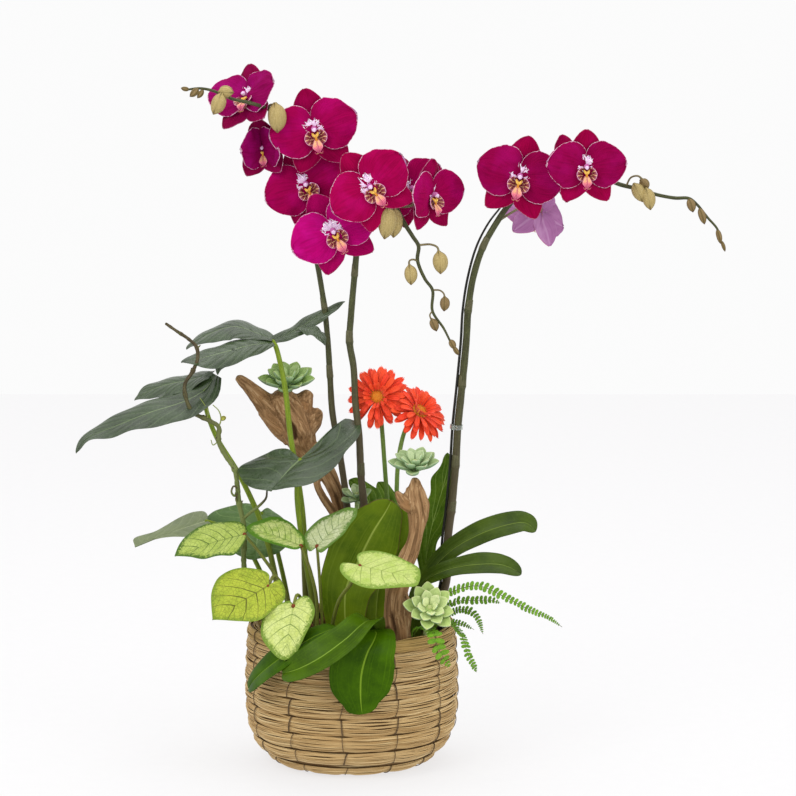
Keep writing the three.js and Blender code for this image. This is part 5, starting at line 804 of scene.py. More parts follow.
def leaf_finish(name, main, deep, light, rib, rough=0.36, spec=0.5, coat=0.0, parallel=False, edge=None, rib_width=0.035, vein=0.5, lateral=7.0, seedy=0.0, bump=0.35, waxy=None):
    """Leaf upper side or underside. Parallel veins run along the blade; others leave the midrib towards the margin."""
    f = Finish(name, spec=spec)
    if coat:
        f.set("coat", coat)
        f.set("coat rough", 0.25)
    u, v = f.part("n", 0), f.part("n", 1)
    av = f.math("ABSOLUTE", v)
    big = f.noise(f.vec("q"), 0.03, 3.0, 0.55)
    small = f.noise(f.vec("q"), 0.45, 3.0, 0.6)
    c = f.mix(f.between(big, 0.35, 0.68), main, deep)
    c = f.mix(f.between(small, 0.5, 0.75, 0.0, 0.22), c, light)
    if parallel:
        lines = f.noise(f.joinv(f.mul(u, 1.2), f.mul(v, 22.0), f.part("n", 2)), 1.0, 2.0, 0.6)
        height = f.mul(lines, 0.5)
        c = f.mix(f.between(lines, 0.5, 0.72, 0.0, vein), c, light)
    else:
        phase = f.math("SUBTRACT", f.mul(u, lateral), f.mul(av, lateral * 0.32))
        saw = f.math("PINGPONG", f.plus(phase, f.mul(f.noise(f.vec("q"), 0.05, 2.0, 0.5), 0.5)), 0.5)
        lines = f.between(saw, 0.06, 0.0)
        net = f.between(f.cells(f.vec("q"), 0.22, edge=True), 0.12, 0.0)
        c = f.mix(f.mul(net, vein * 0.3), c, light)
        c = f.mix(f.mul(lines, vein), c, rib)
        height = f.plus(f.mul(f.between(saw, 0.0, 0.5), 0.9), f.mul(net, -0.12))
    mid = f.between(av, rib_width, rib_width * 0.25)
    c = f.mix(f.mul(mid, 0.85), c, rib)
    if edge:
        c = f.mix(f.between(f.e(), 0.9, 0.25, 0.0, 0.8), c, edge)
    if seedy:
        spots = f.between(f.cells(f.vec("q"), 0.6), 0.22, 0.12, 0.0, seedy)
        c = f.mix(spots, c, light)
    f.set("base", c)
    f.set("rough", f.between(small, 0.25, 0.8, rough - 0.05, rough + 0.12))
    f.bump(f.plus(height, f.mul(small, 0.3)), bump, 0.0012)
    return f.m


def caladium_finish(name, ground, margin, vein, spot="#6e2a18", spread=0.5, ground2=None):
    """Pale blade, mottled margin, dark net of veins; spot, meant for a red-brown point where the stalk joins, is not
    used.
    """
    f = Finish(name, spec=0.15)
    u, v = f.part("n", 0), f.part("n", 1)
    av = f.math("ABSOLUTE", v)
    q = f.vec("q")
    big = f.noise(q, 0.07, 4.0, 0.6)
    small = f.noise(q, 0.9, 3.0, 0.65)
    c = f.mix(f.between(big, 0.35, 0.7), ground, ground2 or ground)
    # mottled green creeping in from the margin
    edge = f.plus(f.mul(f.e(), -0.09), f.plus(f.mul(f.noise(q, 0.35, 4.0, 0.7), 1.5), f.mul(small, 0.35)))
    c = f.mix(f.between(edge, 0.62 - spread * 0.5, 0.98 - spread * 0.5), c, margin)
    # primary veins leave the midrib and join near the margin; a net lies between them
    ph = f.plus(f.mul(u, 12.0), f.mul(f.noise(q, 0.06, 2.0, 0.5), 0.30))
    saw = f.math("PINGPONG", ph, 0.5)
    width = f.between(av, 0.0, 1.0, 0.09, 0.024)
    prim = f.between(f.math("DIVIDE", saw, width), 1.0, 0.35)
    net = f.between(f.cells(q, 0.26, edge=True), 0.09, 0.0)
    fine = f.between(f.cells(q, 0.62, edge=True), 0.10, 0.0)
    mid = f.between(av, 0.045, 0.012)
    lines = f.math("MAXIMUM", f.mul(net, 0.5), f.mul(prim, 0.95), clamp=True)
    lines = f.math("MAXIMUM", lines, f.mul(fine, 0.22))
    lines = f.math("MAXIMUM", lines, f.mul(mid, 0.55))
    c = f.mix(lines, c, vein)
    c = f.mix(f.between(f.e(), 0.8, 0.2, 0.0, 0.8), c, margin)
    f.set("base", c)
    f.set("rough", f.between(small, 0.3, 0.7, 0.38, 0.52))
    f.bump(f.plus(f.mul(lines, -0.5), f.mul(small, 0.3)), 0.4, 0.001)
    return f.m


def stem_finish(name, main, deep, light, rough=0.45, streak=1.2, spots=0.0, spot="#3a2a22", base=None, base_at=(0.0, 0.3)):
    f = Finish(name, spec=0.22)
    q = f.scaled(f.vec("q"), (0.06, streak, streak))
    along = f.noise(q, 1.0, 3.0, 0.6)
    small = f.noise(f.vec("q"), 0.7, 3.0, 0.65)
    c = f.mix(f.between(along, 0.35, 0.65), main, deep)
    c = f.mix(f.between(small, 0.52, 0.75, 0.0, 0.6), c, light)
    if base:
        c = f.mix(f.between(f.part("n", 0), base_at[1], base_at[0]), c, base)
    if spots:
        c = f.mix(f.between(f.cells(f.vec("q"), 0.45), 0.26, 0.16, 0.0, spots), c, spot)
    f.set("base", c)
    f.set("rough", f.between(small, 0.3, 0.7, rough - 0.08, rough + 0.12))
    f.bump(f.plus(f.mul(along, 0.6), f.mul(small, 0.5)), 0.4, 0.0008)
    return f.m


def bud_finish(name, main, deep, light, tip, rib="#5a4e2a"):
    f = Finish(name, spec=0.15)
    u = f.part("n", 0)
    lines = f.noise(f.scaled(f.vec("q"), (0.05, 0.9, 0.9)), 1.0, 3.0, 0.6)
    small = f.noise(f.vec("q"), 0.6, 3.0, 0.6)
    c = f.mix(f.between(lines, 0.38, 0.62, 0.0, 0.35), main, deep)
    c = f.mix(f.between(small, 0.5, 0.75, 0.0, 0.35), c, light)
    c = f.mix(f.between(f.e(), 1.2, 0.35, 0.0, 0.85), c, rib)
    c = f.mix(f.between(u, 0.90, 1.0, 0.0, 0.8), c, tip)
    f.set("base", c)
    f.set("rough", f.between(small, 0.3, 0.7, 0.42, 0.58))
    f.bump(f.plus(f.mul(lines, 0.7), f.mul(small, 0.3)), 0.4, 0.0008)
    return f.m


def reed_finish(name, shades, dark=0.0):
    f = Finish(name, spec=0.15)
    number = f.part("n", 2)
    q = f.vec("q")
    k = f.noise(f.joinv(f.mul(number, 7.31), f.mul(f.part("q", 0), 0.004), 0.0), 1.0, 2.0, 0.6)
    c = f.ramp(f.between(k, 0.22, 0.78), [(i / (len(shades) - 1), s) for i, s in enumerate(shades)])
    fibre = f.noise(f.scaled(q, (0.05, 2.6, 2.6)), 1.0, 3.0, 0.65)
    c = f.mix(f.between(fibre, 0.50, 0.74, 0.0, 0.4), c, "#7d6140")
    worn = f.noise(f.scaled(q, (0.02, 0.25, 0.25)), 1.0, 4.0, 0.6)
    c = f.mix(f.between(worn, 0.55, 0.75, 0.0, 0.5), c, "#e6d2a0")
    c = f.mix(f.between(f.noise(f.scaled(q, (0.08, 0.5, 0.5)), 1.0, 3.0, 0.6), 0.64, 0.74, 0.0, 0.55), c, "#6b5030")
    if dark:
        c = f.mix(dark, c, "#2c1e10")
    f.set("base", c)
    f.set("rough", f.between(fibre, 0.3, 0.7, 0.5, 0.68))
    f.bump(fibre, 0.5, 0.0005)
    return f.m


def wood_finish(name):
    f = Finish(name, spec=0.08)
    q = f.vec("q")
    grain = f.noise(f.scaled(q, (0.018, 0.30, 0.30)), 1.0, 5.0, 0.62, 0.6)
    fine = f.noise(f.scaled(q, (0.06, 1.5, 1.5)), 1.0, 3.0, 0.6)
    big = f.noise(q, 0.035, 3.0, 0.6)
    c = f.ramp(f.between(grain, 0.28, 0.72), [(0.0, "#644a30"), (0.3, "#836444"), (0.55, "#997652"), (0.8, "#ad8b64"), (1.0, "#c2a27e")])
    c = f.mix(f.between(big, 0.5, 0.75, 0.0, 0.55), c, "#9a7148")
    c = f.mix(f.between(fine, 0.55, 0.75, 0.0, 0.4), c, "#5a3a20")
    pits = f.between(f.cells(q, 0.32), 0.22, 0.10, 0.0, 0.6)
    c = f.mix(pits, c, "#3f2a18")
    # painted shade: darker in the hollows; e is the depth of the surface below the whole form, mm
    c = f.mix(f.between(f.e(), 0.6, 3.4, 0.0, 0.85), c, "#3a2413")
    f.set("base", c)
    f.set("rough", f.between(fine, 0.3, 0.7, 0.68, 0.86))
    f.bump(f.plus(f.mul(grain, 1.0), f.mul(fine, 0.4)), 0.6, 0.0016)
    return f.m


def rough_finish(name, shades, scale=0.35, rough=0.9, bump=0.7):
    f = Finish(name, spec=0.2)
    q = f.vec("q")
    a = f.noise(q, scale, 5.0, 0.65)
    b = f.noise(q, scale * 5, 3.0, 0.6)
    k = f.noise(f.joinv(f.mul(f.part("n", 2), 3.77), 0.0, 0.0), 1.0, 1.0, 0.5)
    c = f.ramp(f.between(f.plus(f.mul(a, 0.5), f.mul(k, 0.5)), 0.3, 0.7), [(i / (len(shades) - 1), s) for i, s in enumerate(shades)])
    c = f.mix(f.between(b, 0.5, 0.8, 0.0, 0.5), c, shades[0])
    f.set("base", c)
    f.set("rough", f.between(b, 0.3, 0.7, rough - 0.1, min(1.0, rough + 0.05)))
    f.bump(f.plus(a, f.mul(b, 0.4)), bump, 0.002)
    return f.m


# ---- shapes ---------------------------------------------------------------------------------------------------------
def blade(b, s, rows, cols, thick, tip=0.4, front=0, back=1, number=0.0, wave=0.0, dish=0.0, lobes=0.0, lobe_count=5.0, soft=1.5, thin_edge=0.35, rng=None, smoothw=True, width=1.0, rib_dent=0.0, twist=0.0):
    """A leaf along its midrib: half widths w at the points, upper side towards n, folded by an angle."""
    pts = np.asarray(s["pts"], float)
    tt, length = even(pts, 400)
    x = np.linspace(0, 1, rows)
    u = 1 - (1 - x) ** 1.45
    t = np.interp(u, np.linspace(0, 1, 400), tt)
    p, d = curve_at(pts, t), None
    d = tangents(p)
    ns = np.asarray(s["n"], float)
    n = unit(list_at(ns, t)) if ns.ndim > 1 else np.tile(ns, (rows, 1))
    wl = np.asarray(s["w"], float)
    fine = np.linspace(0, 1, 601)
    wide = list_at(wl, fine)
    if smoothw and len(wl) > 2:
        k = int(300 / (len(wl) - 1))
        kern = np.hanning(2 * k + 1)
        kern /= kern.sum()
        pad = np.concatenate([2 * wide[0] - wide[k:0:-1], wide, 2 * wide[-1] - wide[-2 : -k - 2 : -1]])
        wide = np.convolve(pad, kern, "valid")
    m = len(wl) - 1
    tau = np.clip(fine * m - (m - 1), 0, 1)
    end = np.interp((m - 1) / m, fine, wide)
    last = end * ((1 - tip) * np.sqrt(np.maximum(1 - tau**2, 0)) + tip * (1 - tau) ** 0.9)
    wide = np.where(fine * m > m - 1, np.maximum(last, wl[-1] * 0.25), wide)
    w = np.interp(t, fine, wide) * width
    side = unit(np.cross(d, n))
    up = np.cross(side, d)
    v = np.linspace(-1, 1, cols)
    rise = math.tan(math.radians(s.get("fold") or 0))
    ww = w[:, None] * np.ones(cols)
    if lobes:
        ww = ww * (1 + lobes * np.sin(u[:, None] * lobe_count * TAU + np.where(v > 0, 0.7, 0.0)) * smooth(u, 0.02, 0.2)[:, None] * smooth(1 - u, 0.0, 0.15)[:, None])
    off = v[None] * ww
    h = np.sqrt(off**2 + (0.12 * ww) ** 2) * rise - dish * off**2 / np.maximum(ww.max(), 1)
    if wave:
        f = waves(rng, 5, 3.0, 9.0)
        h = h + wave * (np.abs(v) ** 1.7)[None] * f(u[:, None] * 3.0, np.sign(v)[None] * 2.0) * np.minimum(1, ww / 6)
    if rib_dent:
        h = h - rib_dent * np.exp(-((off / np.maximum(0.9, 0.06 * ww)) ** 2))
    g = p[:, None] + side[:, None] * off[..., None] + up[:, None] * h[..., None]
    q = np.stack([np.broadcast_to(u[:, None] * length, off.shape), off, np.full(off.shape, number * 57.0)], -1)
    nn = np.stack([np.broadcast_to(u[:, None], off.shape), np.broadcast_to(v[None], off.shape), np.full(off.shape, float(number))], -1)
    e = np.minimum((1 - np.abs(v))[None] * ww, ((1 - u) * length)[:, None] * 0.8 + 0.0)
    th = thick * (thin_edge + (1 - thin_edge) * (1 - np.abs(v[None]) ** 3)) * np.minimum(1, 0.35 + ww / max(ww.max(), 1) * 1.2)
    slab(b, g, th, front, back, q=q, n=nn, e=e)
    return p, d, side, up, w, u * length


def heart_leaf(b, s, thick, front=0, back=1, number=0.0, rng=None, wave=0.03, quilt=0.35, K=46, M=12):
    a, m, t = (np.asarray(s[k], float) for k in ("a", "m", "t"))
    line = [a, m, t]
    tt, length = even(line, 300)
    arc = lambda u: np.interp(np.clip(u, 0, 1), np.linspace(0, 1, 300), tt)
    n1, n2, w = np.asarray(s["n"], float), np.asarray(s["n2"], float), s["w"]
    eps = 0.004

    def place(u, v, lift):
        c = np.clip(u, 0, 1)
        p = curve_at(line, arc(c))
        d = unit(curve_at(line, arc(np.minimum(c + eps, 1))) - curve_at(line, arc(np.maximum(c - eps, 0))))
        p = p + d * (np.where(u < 0, u, 0) + np.where(u > 1, u - 1, 0))[..., None] * length
        n = n1 + (n2 - n1) * c[..., None]
        side = unit(np.cross(d, n))
        up = np.cross(side, d)
        x = v * w
        return p + side * x[..., None] + up * (s["fold"] * np.sqrt(x * x + (0.03 * w) ** 2) - s["droop"] * x * x / w + lift)[..., None]

    spread = np.linspace(0, 1, K) ** 0.92
    right, left = (curve_at([[*h, 0] for h in s["rim"][key]], spread) for key in ("pos", "neg"))
    mean = (right + left) / 2
    foot = np.minimum.accumulate(np.clip(0.8 * mean[:, 0] - 0.55 * mean[:, 1] * w / length, 0, 1))
    foot[0] = 1.0
    j = np.linspace(-1, 1, 2 * M + 1)
    aj = np.abs(j)
    ox = np.where(j[None] < 0, left[:, :1], right[:, :1])
    oy = np.where(j[None] < 0, left[:, 1:2], right[:, 1:2])
    bend = 0.05 * np.sin(np.pi * aj)[None] * (1 - foot[:, None])
    u = foot[:, None] + (ox - foot[:, None]) * aj[None] - bend * smooth(ox, 0.0, 0.6)
    v = oy * j[None]
    f, g = waves(rng, 5, 2.0, 5.0), waves(rng, 4, 1.0, 3.0)
    k = np.linspace(0, 1, K)[:, None]
    lift = wave * w * aj[None] ** 1.6 * f(k * 4, np.sign(j)[None] * 1.7) + 0.02 * w * g(u * 2, v * 2)
    lift = lift + quilt * np.abs(np.sin(np.pi * 7 * k)) * np.sin(np.pi * aj)[None] ** 0.7 - quilt * 1.2 * np.exp(-((v * w / 1.6) ** 2)) * (u > 0)
    p = place(u, v, lift)
    dist = np.sqrt(((ox - foot[:, None]) * length) ** 2 + (oy * w) ** 2)
    q = np.stack([u * length, v * w, np.full(u.shape, number * 57.0)], -1)
    n = np.stack([np.broadcast_to(k, u.shape), np.broadcast_to(j[None], u.shape), np.full(u.shape, float(number))], -1)
    slab(b, p, thick * (0.35 + 0.65 * (1 - aj[None] ** 4)) * np.ones(u.shape), front, back, flip=True, q=q, n=n, e=(1 - aj)[None] * dist)


def bud(b, base, tip, radius, mat=0, number=0.0, ribs=5, sides=20):
    """An orchid bud: a blunt egg with three sutures."""
    base, tip = np.asarray(base, float), np.asarray(tip, float)
    shape = [(0, 0.3), (0.06, 0.55), (0.18, 0.84), (0.35, 0.99), (0.52, 1.0), (0.7, 0.88), (0.85, 0.62), (0.95, 0.33), (1, 0.14)]
    away = unit(np.cross(tip - base, (0.3, 1, 0.2)))
    mid = (base + tip) / 2 + away * radius * 0.10
    seam = lambda a: np.abs((a * ribs / TAU + 0.15) % 1 - 0.5) * 2 / ribs * math.pi
    tube(b, [[*base, radius], [*mid, radius], [*tip, radius]], sides, np.linalg.norm(tip - base) / 13, mat, number,
         radius=lambda s, t, r: radius * table_at(shape, t), rough=lambda s, a, r: -0.07 * np.exp(-((seam(a) / 0.2) ** 2)) + 0.02 * np.cos(a * 2),
         margin=lambda s, a, r: seam(a) * r, flat=0.94)


def spike(name, s, mats):
    b, rng = Build(), rng_of(name)
    pts = s["pts"]
    tt, length = even([q[:3] for q in pts], 600)
    where = np.linspace(0, length, 600)
    nodes = [np.interp(i / (len(pts) - 1), tt, where) for i in s["rings"]]

    def radius(x, t, r):
        k = 1 + 0.02 * np.sin(x * 0.12) + 0.012 * np.sin(x * 0.31 + 1)
        for at in nodes:
            k = k + 0.16 * np.exp(-(((x - at) / 1.6) ** 2)) + 0.05 * np.exp(-(((x - at - 4) / 5) ** 2))
        return r * k

    tube(b, pts, 12, 2.2, 0, 0.0, radius=radius)
    for j, at in enumerate(nodes):  # the sheath at each node clasps the stalk and opens to one side
        ts = np.interp(np.linspace(at - 0.6, at + 11.5, 6), where, tt)
        c = curve_at([q[:3] for q in pts], ts)
        r0 = list_at([q[3] for q in pts], ts)
        ring = [[*c[i], r0[i] + 0.55 - 0.07 * i] for i in range(6)]
        tube(b, ring, 12, 1.8, 1, float(j + 1), rough=lambda x, a, r, j=j: 0.10 * np.cos(a + j * 2.1) * x / 12)
    for j, ped in enumerate(s["ped"]):
        tube(b, ped, 8, 1.4, 2, 0.3 * j)
    for j, (base, tip, r) in enumerate(s["buds"]):
        bud(b, base, tip, r, 3 if r > 5.2 else 4, float(j))
    return b.piece(name, mats, name, "spike_stem")


TEPALS = [(90, 0.93, 0.335, -0.02, 0.5, "sepal"), (235, 0.99, 0.325, -0.02, 0.6, "low"), (-55, 0.99, 0.325, -0.02, 0.6, "low"), (6, 1.0, 0.585, 0.04, 1.0, "petal"), (174, 1.0, 0.585, 0.04, 1.0, "petal")]


def bloom(name, s, mats, back_mats=None):
    b, rng = Build(), rng_of(name)
    c0, size = np.asarray(s["c"], float), s["s"]
    y, p, r = (math.radians(s[k]) for k in ("yaw", "pitch", "roll"))
    face = np.array([math.sin(y) * math.cos(p), -math.cos(y) * math.cos(p), math.sin(p)])
    right0 = np.array([math.cos(y), math.sin(y), 0])
    up0 = np.cross(face, right0)
    X, Y = right0 * math.cos(r) + up0 * math.sin(r), -right0 * math.sin(r) + up0 * math.cos(r)
    at = lambda x, yy, z: c0 + (X * x + Y * yy + face * z) * size
    for j, (deg, length, half, lift, sweep, kind) in enumerate(TEPALS):
        c = math.radians(s["cup"] * sweep + rng.uniform(-2.5, 2.5))
        turn = math.radians(deg + rng.uniform(-3, 3))
        out = X * math.cos(turn) + Y * math.sin(turn)
        along, normal = out * math.cos(c) + face * math.sin(c), face * math.cos(c) - out * math.sin(c)
        side = np.cross(normal, along)
        petal = kind == "petal"
        rows, cols = (30, 23) if petal else (24, 13)
        u = (1 - np.cos(np.linspace(0.02, 1, rows) * math.pi)) / 2
        v = np.linspace(-1, 1, cols)
        upper = 1 if deg < 90 else -1  # which side of a petal looks at the dorsal sepal
        if petal:
            big = 1.03 * half * np.sin(math.pi * u**0.72) ** 0.52
            low = 0.97 * half * np.sin(math.pi * u**0.80) ** 0.55
            wu, wd = (big, low) if upper > 0 else (low, big)
        elif kind == "sepal":
            wu = wd = half * np.sin(math.pi * u**0.90) ** 0.54 * (1 + 0.10 * np.sin(math.pi * u))
        else:
            wu = wd = half * np.sin(math.pi * u**0.84) ** 0.60 * (1 + 0.06 * np.sin(math.pi * u))
        wu, wd = np.maximum(wu, 0.045), np.maximum(wd, 0.045)
        # frilled and nicked margin
        f, g, hgt = waves(rng, 6, 3, 9), waves(rng, 6, 10, 26), waves(rng, 4, 1.5, 4.5)
        edge = 1 + (0.018 * f(u * 3.0, 0) + 0.012 * g(u * 3.0, 0)) * smooth(u, 0.15, 0.4)
        edge2 = 1 + (0.018 * f(u * 3.0, 2.5) + 0.012 * g(u * 3.0, 2.5)) * smooth(u, 0.15, 0.4)
        w = np.where(v[None] > 0, (wu * edge)[:, None], (wd * edge2)[:, None])
        x = v[None] * w
        uu = u[:, None] * np.ones(cols)
        uu = uu + (0.02 if petal else 0.0) * g(v[None] * 2.0, 4) * smooth(uu, 0.75, 1.0)
        h = -0.10 * uu**2 + 0.02 * hgt(uu * 2.2, v[None] * 1.6)
        h = h + (0.028 if petal else 0.016) * (np.abs(v)[None] ** 2) * f(uu * 2.4, np.sign(v)[None] * 2.0)
        h = h - (0.09 if petal else 0.05) * (x / half) ** 2 * smooth(uu, 0.05, 0.5) + (0.03 if petal else -0.02) * np.sin(math.pi * uu)
        h = h - 0.016 * np.exp(-((x / 0.018) ** 2)) * (1 - uu) + (0.05 * (1 - uu) ** 4)
        g3 = at(0, 0, lift) + (along * (uu * length)[..., None] + side * x[..., None] + normal * h[..., None]) * size
        q = np.stack([uu * length * size + j * 60, x * size, np.full(x.shape, float(rng.uniform(0, 500)))], -1)
        n = np.stack([uu, np.broadcast_to(v[None], x.shape), np.full(x.shape, float(j))], -1)
        e = np.minimum((1 - np.abs(v))[None] * w * 0.92, (1 - uu) * length * 0.75) * size
        th = (0.5 + 1.1 * (1 - np.abs(v)[None] ** 2.0) * (1 - 0.5 * uu)) * np.ones(x.shape)
        slab(b, g3, th, 0 if petal else 1, 2, flip=True, q=q, n=n, e=e)

    arr = lambda x, yy, z, q: [*at(x, yy, z), q * size]
    # column with its rounded cap, hood edge and the pale frill round it
    tube(b, [arr(0, 0.01, -0.06, 0.055), arr(0, 0.02, 0.06, 0.062), arr(0, 0.035, 0.17, 0.066), arr(0, 0.03, 0.235, 0.055)], 12, 1.0, 3, 0.1, first=X)
    tube(b, [arr(0, 0.02, 0.225, 0.056), arr(0, 0.0, 0.262, 0.05), arr(0, -0.022, 0.275, 0.022)], 10, 0.8, 4, 0.2, first=X)
    for side_x in (-1, 1):  # ragged pale tufts round the column's foot
        for m in range(5):
            ang = math.radians(90 - side_x * (10 + 23 * m))
            base = at(0.03 * side_x, 0.02, 0.075)
            out = X * math.cos(ang) + Y * math.sin(ang)
            rows, cols = 9, 9
            uu, vv = np.linspace(0, 1, rows)[:, None], np.linspace(-1, 1, cols)[None]
            wid = np.maximum((0.022 + 0.064 * np.sin(math.pi * uu**0.8) ** 0.6) * (1 + 0.25 * np.sin(uu * 9 + m)), 0.012)
            ln = (0.25 - 0.020 * m) * (1 + 0.14 * rng.uniform(-1, 1))
            sd = np.cross(face, out)
            hh = 0.035 * np.sin(uu * 2.2) + 0.022 * np.sin(vv * 5 + m * 2) * uu + 0.012
            rag = uu + 0.20 * uu * np.sin(vv * 8.5 + 2.1 * m)
            g3 = base + (out * (rag * ln)[..., None] + sd * (vv * wid)[..., None] + face * hh[..., None]) * size
            q = np.stack([uu * ln * size + 0 * vv, vv * wid * size, np.full((rows, cols), 13.0 * m + side_x)], -1)
            n = np.stack([uu + 0 * vv, vv + 0 * uu, np.full((rows, cols), float(m))], -1)
            slab(b, g3, 0.5, 4, 4, flip=True, q=q, n=n, e=(1 - np.abs(vv)) * wid * size)
    # lip: two raised side lobes round a striped hollow, the callus between them and the pointed middle lobe
    for side_x in (-1, 1):
        rows, cols = 17, 11
        uu, vv = np.linspace(0, 1, rows)[:, None], np.linspace(-1, 1, cols)[None]
        arc = curve_at([[0.04, -0.02, 0.06], [0.14, -0.05, 0.15], [0.195, -0.15, 0.22], [0.165, -0.25, 0.25], [0.09, -0.31, 0.23]], uu[:, 0])
        w = table_at([(0, 0.025), (0.25, 0.07), (0.5, 0.092), (0.75, 0.08), (1, 0.025)], uu)
        tang = unit(np.gradient(arc[:, :2], axis=0))
        outw = np.stack([-tang[:, 1], tang[:, 0]], -1)
        outw = outw * np.sign((outw * (arc[:, :2] - np.array([0.02, -0.17]))).sum(-1))[:, None]
        cx = side_x * (arc[:, :1] + outw[:, :1] * vv * w * 0.62)
        cy = arc[:, 1:2] + outw[:, 1:2] * vv * w * 0.62
        cz = arc[:, 2:3] + vv * w * 0.80 - 0.05 * vv**2 + 0.012 * np.sin(uu * 9 + side_x)
        g3 = at(0, 0, 0) + (X * cx[..., None] + Y * cy[..., None] + face * cz[..., None]) * size
        q = np.stack([uu * 0.5 * size + 0 * vv, vv * w * size, np.full((rows, cols), 31.0 + side_x * 9)], -1)
        n = np.stack([uu + 0 * vv, vv + 0 * uu, np.full((rows, cols), float(side_x))], -1)
        slab(b, g3, 0.7, 5, 5, flip=side_x < 0, q=q, n=n, e=np.minimum((1 - vv) * w, (1 - uu) * 0.5) * size)
    rows, cols = 12, 13  # the hollow's floor
    uu, vv = np.linspace(0, 1, rows)[:, None], np.linspace(-1, 1, cols)[None]
    w = 0.155 * np.sin(math.pi * (0.12 + 0.78 * uu)) ** 0.7
    cy, cz = 0.0 - 0.34 * uu, 0.045 + 0.07 * uu + 0.07 * vv**2
    g3 = at(0, 0, 0) + (X * (vv * w)[..., None] + Y * (cy + 0 * vv)[..., None] + face * (cz + 0 * vv)[..., None]) * size
    q = np.stack([uu * 0.34 * size + 0 * vv, vv * w * size, np.full((rows, cols), 51.0)], -1)
    n = np.stack([uu + 0 * vv, vv * 2.2 + 0 * uu, np.zeros((rows, cols))], -1)
    slab(b, g3, 1.0, 5, 5, flip=False, q=q, n=n, e=np.full((rows, cols), 2.5))
    tube(b, [arr(-0.062, -0.07, 0.15, 0.024), arr(-0.034, -0.115, 0.205, 0.036), arr(0, -0.14, 0.19, 0.034), arr(0.034, -0.115, 0.205, 0.036), arr(0.062, -0.07, 0.15, 0.024)], 9, 0.8, 6, 0.4)
    tube(b, [arr(0, -0.13, 0.17, 0.032), arr(0, -0.20, 0.205, 0.026), arr(0, -0.26, 0.20, 0.018)], 9, 0.8, 6, 0.6)
    rows, cols = 18, 13
    uu, vv = np.linspace(0, 1, rows)[:, None], np.linspace(-1, 1, cols)[None]
    w = table_at([(0, 0.045), (0.15, 0.07), (0.38, 0.105), (0.55, 0.118), (0.70, 0.095), (0.86, 0.05), (1, 0.02)], uu)
    cy = -0.21 - 0.29 * uu
    cz = 0.16 + 0.13 * np.sin(uu * 2.0) + 0.035 * (vv**2) - 0.06 * smooth(uu, 0.45, 1) * vv**2 + 0.025 * np.exp(-((vv / 0.25) ** 2))
    g3 = at(0, 0, 0) + (X * (vv * w)[..., None] + Y * (cy + 0 * vv)[..., None] + face * cz[..., None]) * size
    q = np.stack([uu * 0.4 * size + 0 * vv, vv * w * size, np.full((rows, cols), 77.0)], -1)
    n = np.stack([uu + 0 * vv, vv + 0 * uu, np.zeros((rows, cols))], -1)
    slab(b, g3, 1.3 * (0.5 + 0.5 * (1 - vv**2)) * np.ones((rows, cols)), 7, 7, flip=False, q=q, n=n, e=(1 - np.abs(vv)) * w * size)
    for side_x in (-1, 1):
        tube(b, [arr(side_x * 0.008, -0.485, 0.225, 0.013), arr(side_x * 0.035, -0.515, 0.25, 0.010), arr(side_x * 0.075, -0.505, 0.28, 0.008), arr(side_x * 0.088, -0.465, 0.295, 0.005)], 6, 0.9, 7, 0.5)
    # stalk end at the back of the flower
    tube(b, [arr(0, 0, -0.02, 0.06), arr(0, 0, -0.09, 0.04), arr(0, -0.005, -0.13, 0.032)], 9, 1.0, 8, 0.6)
    return b.piece(name, mats, name, "orchid_petal")


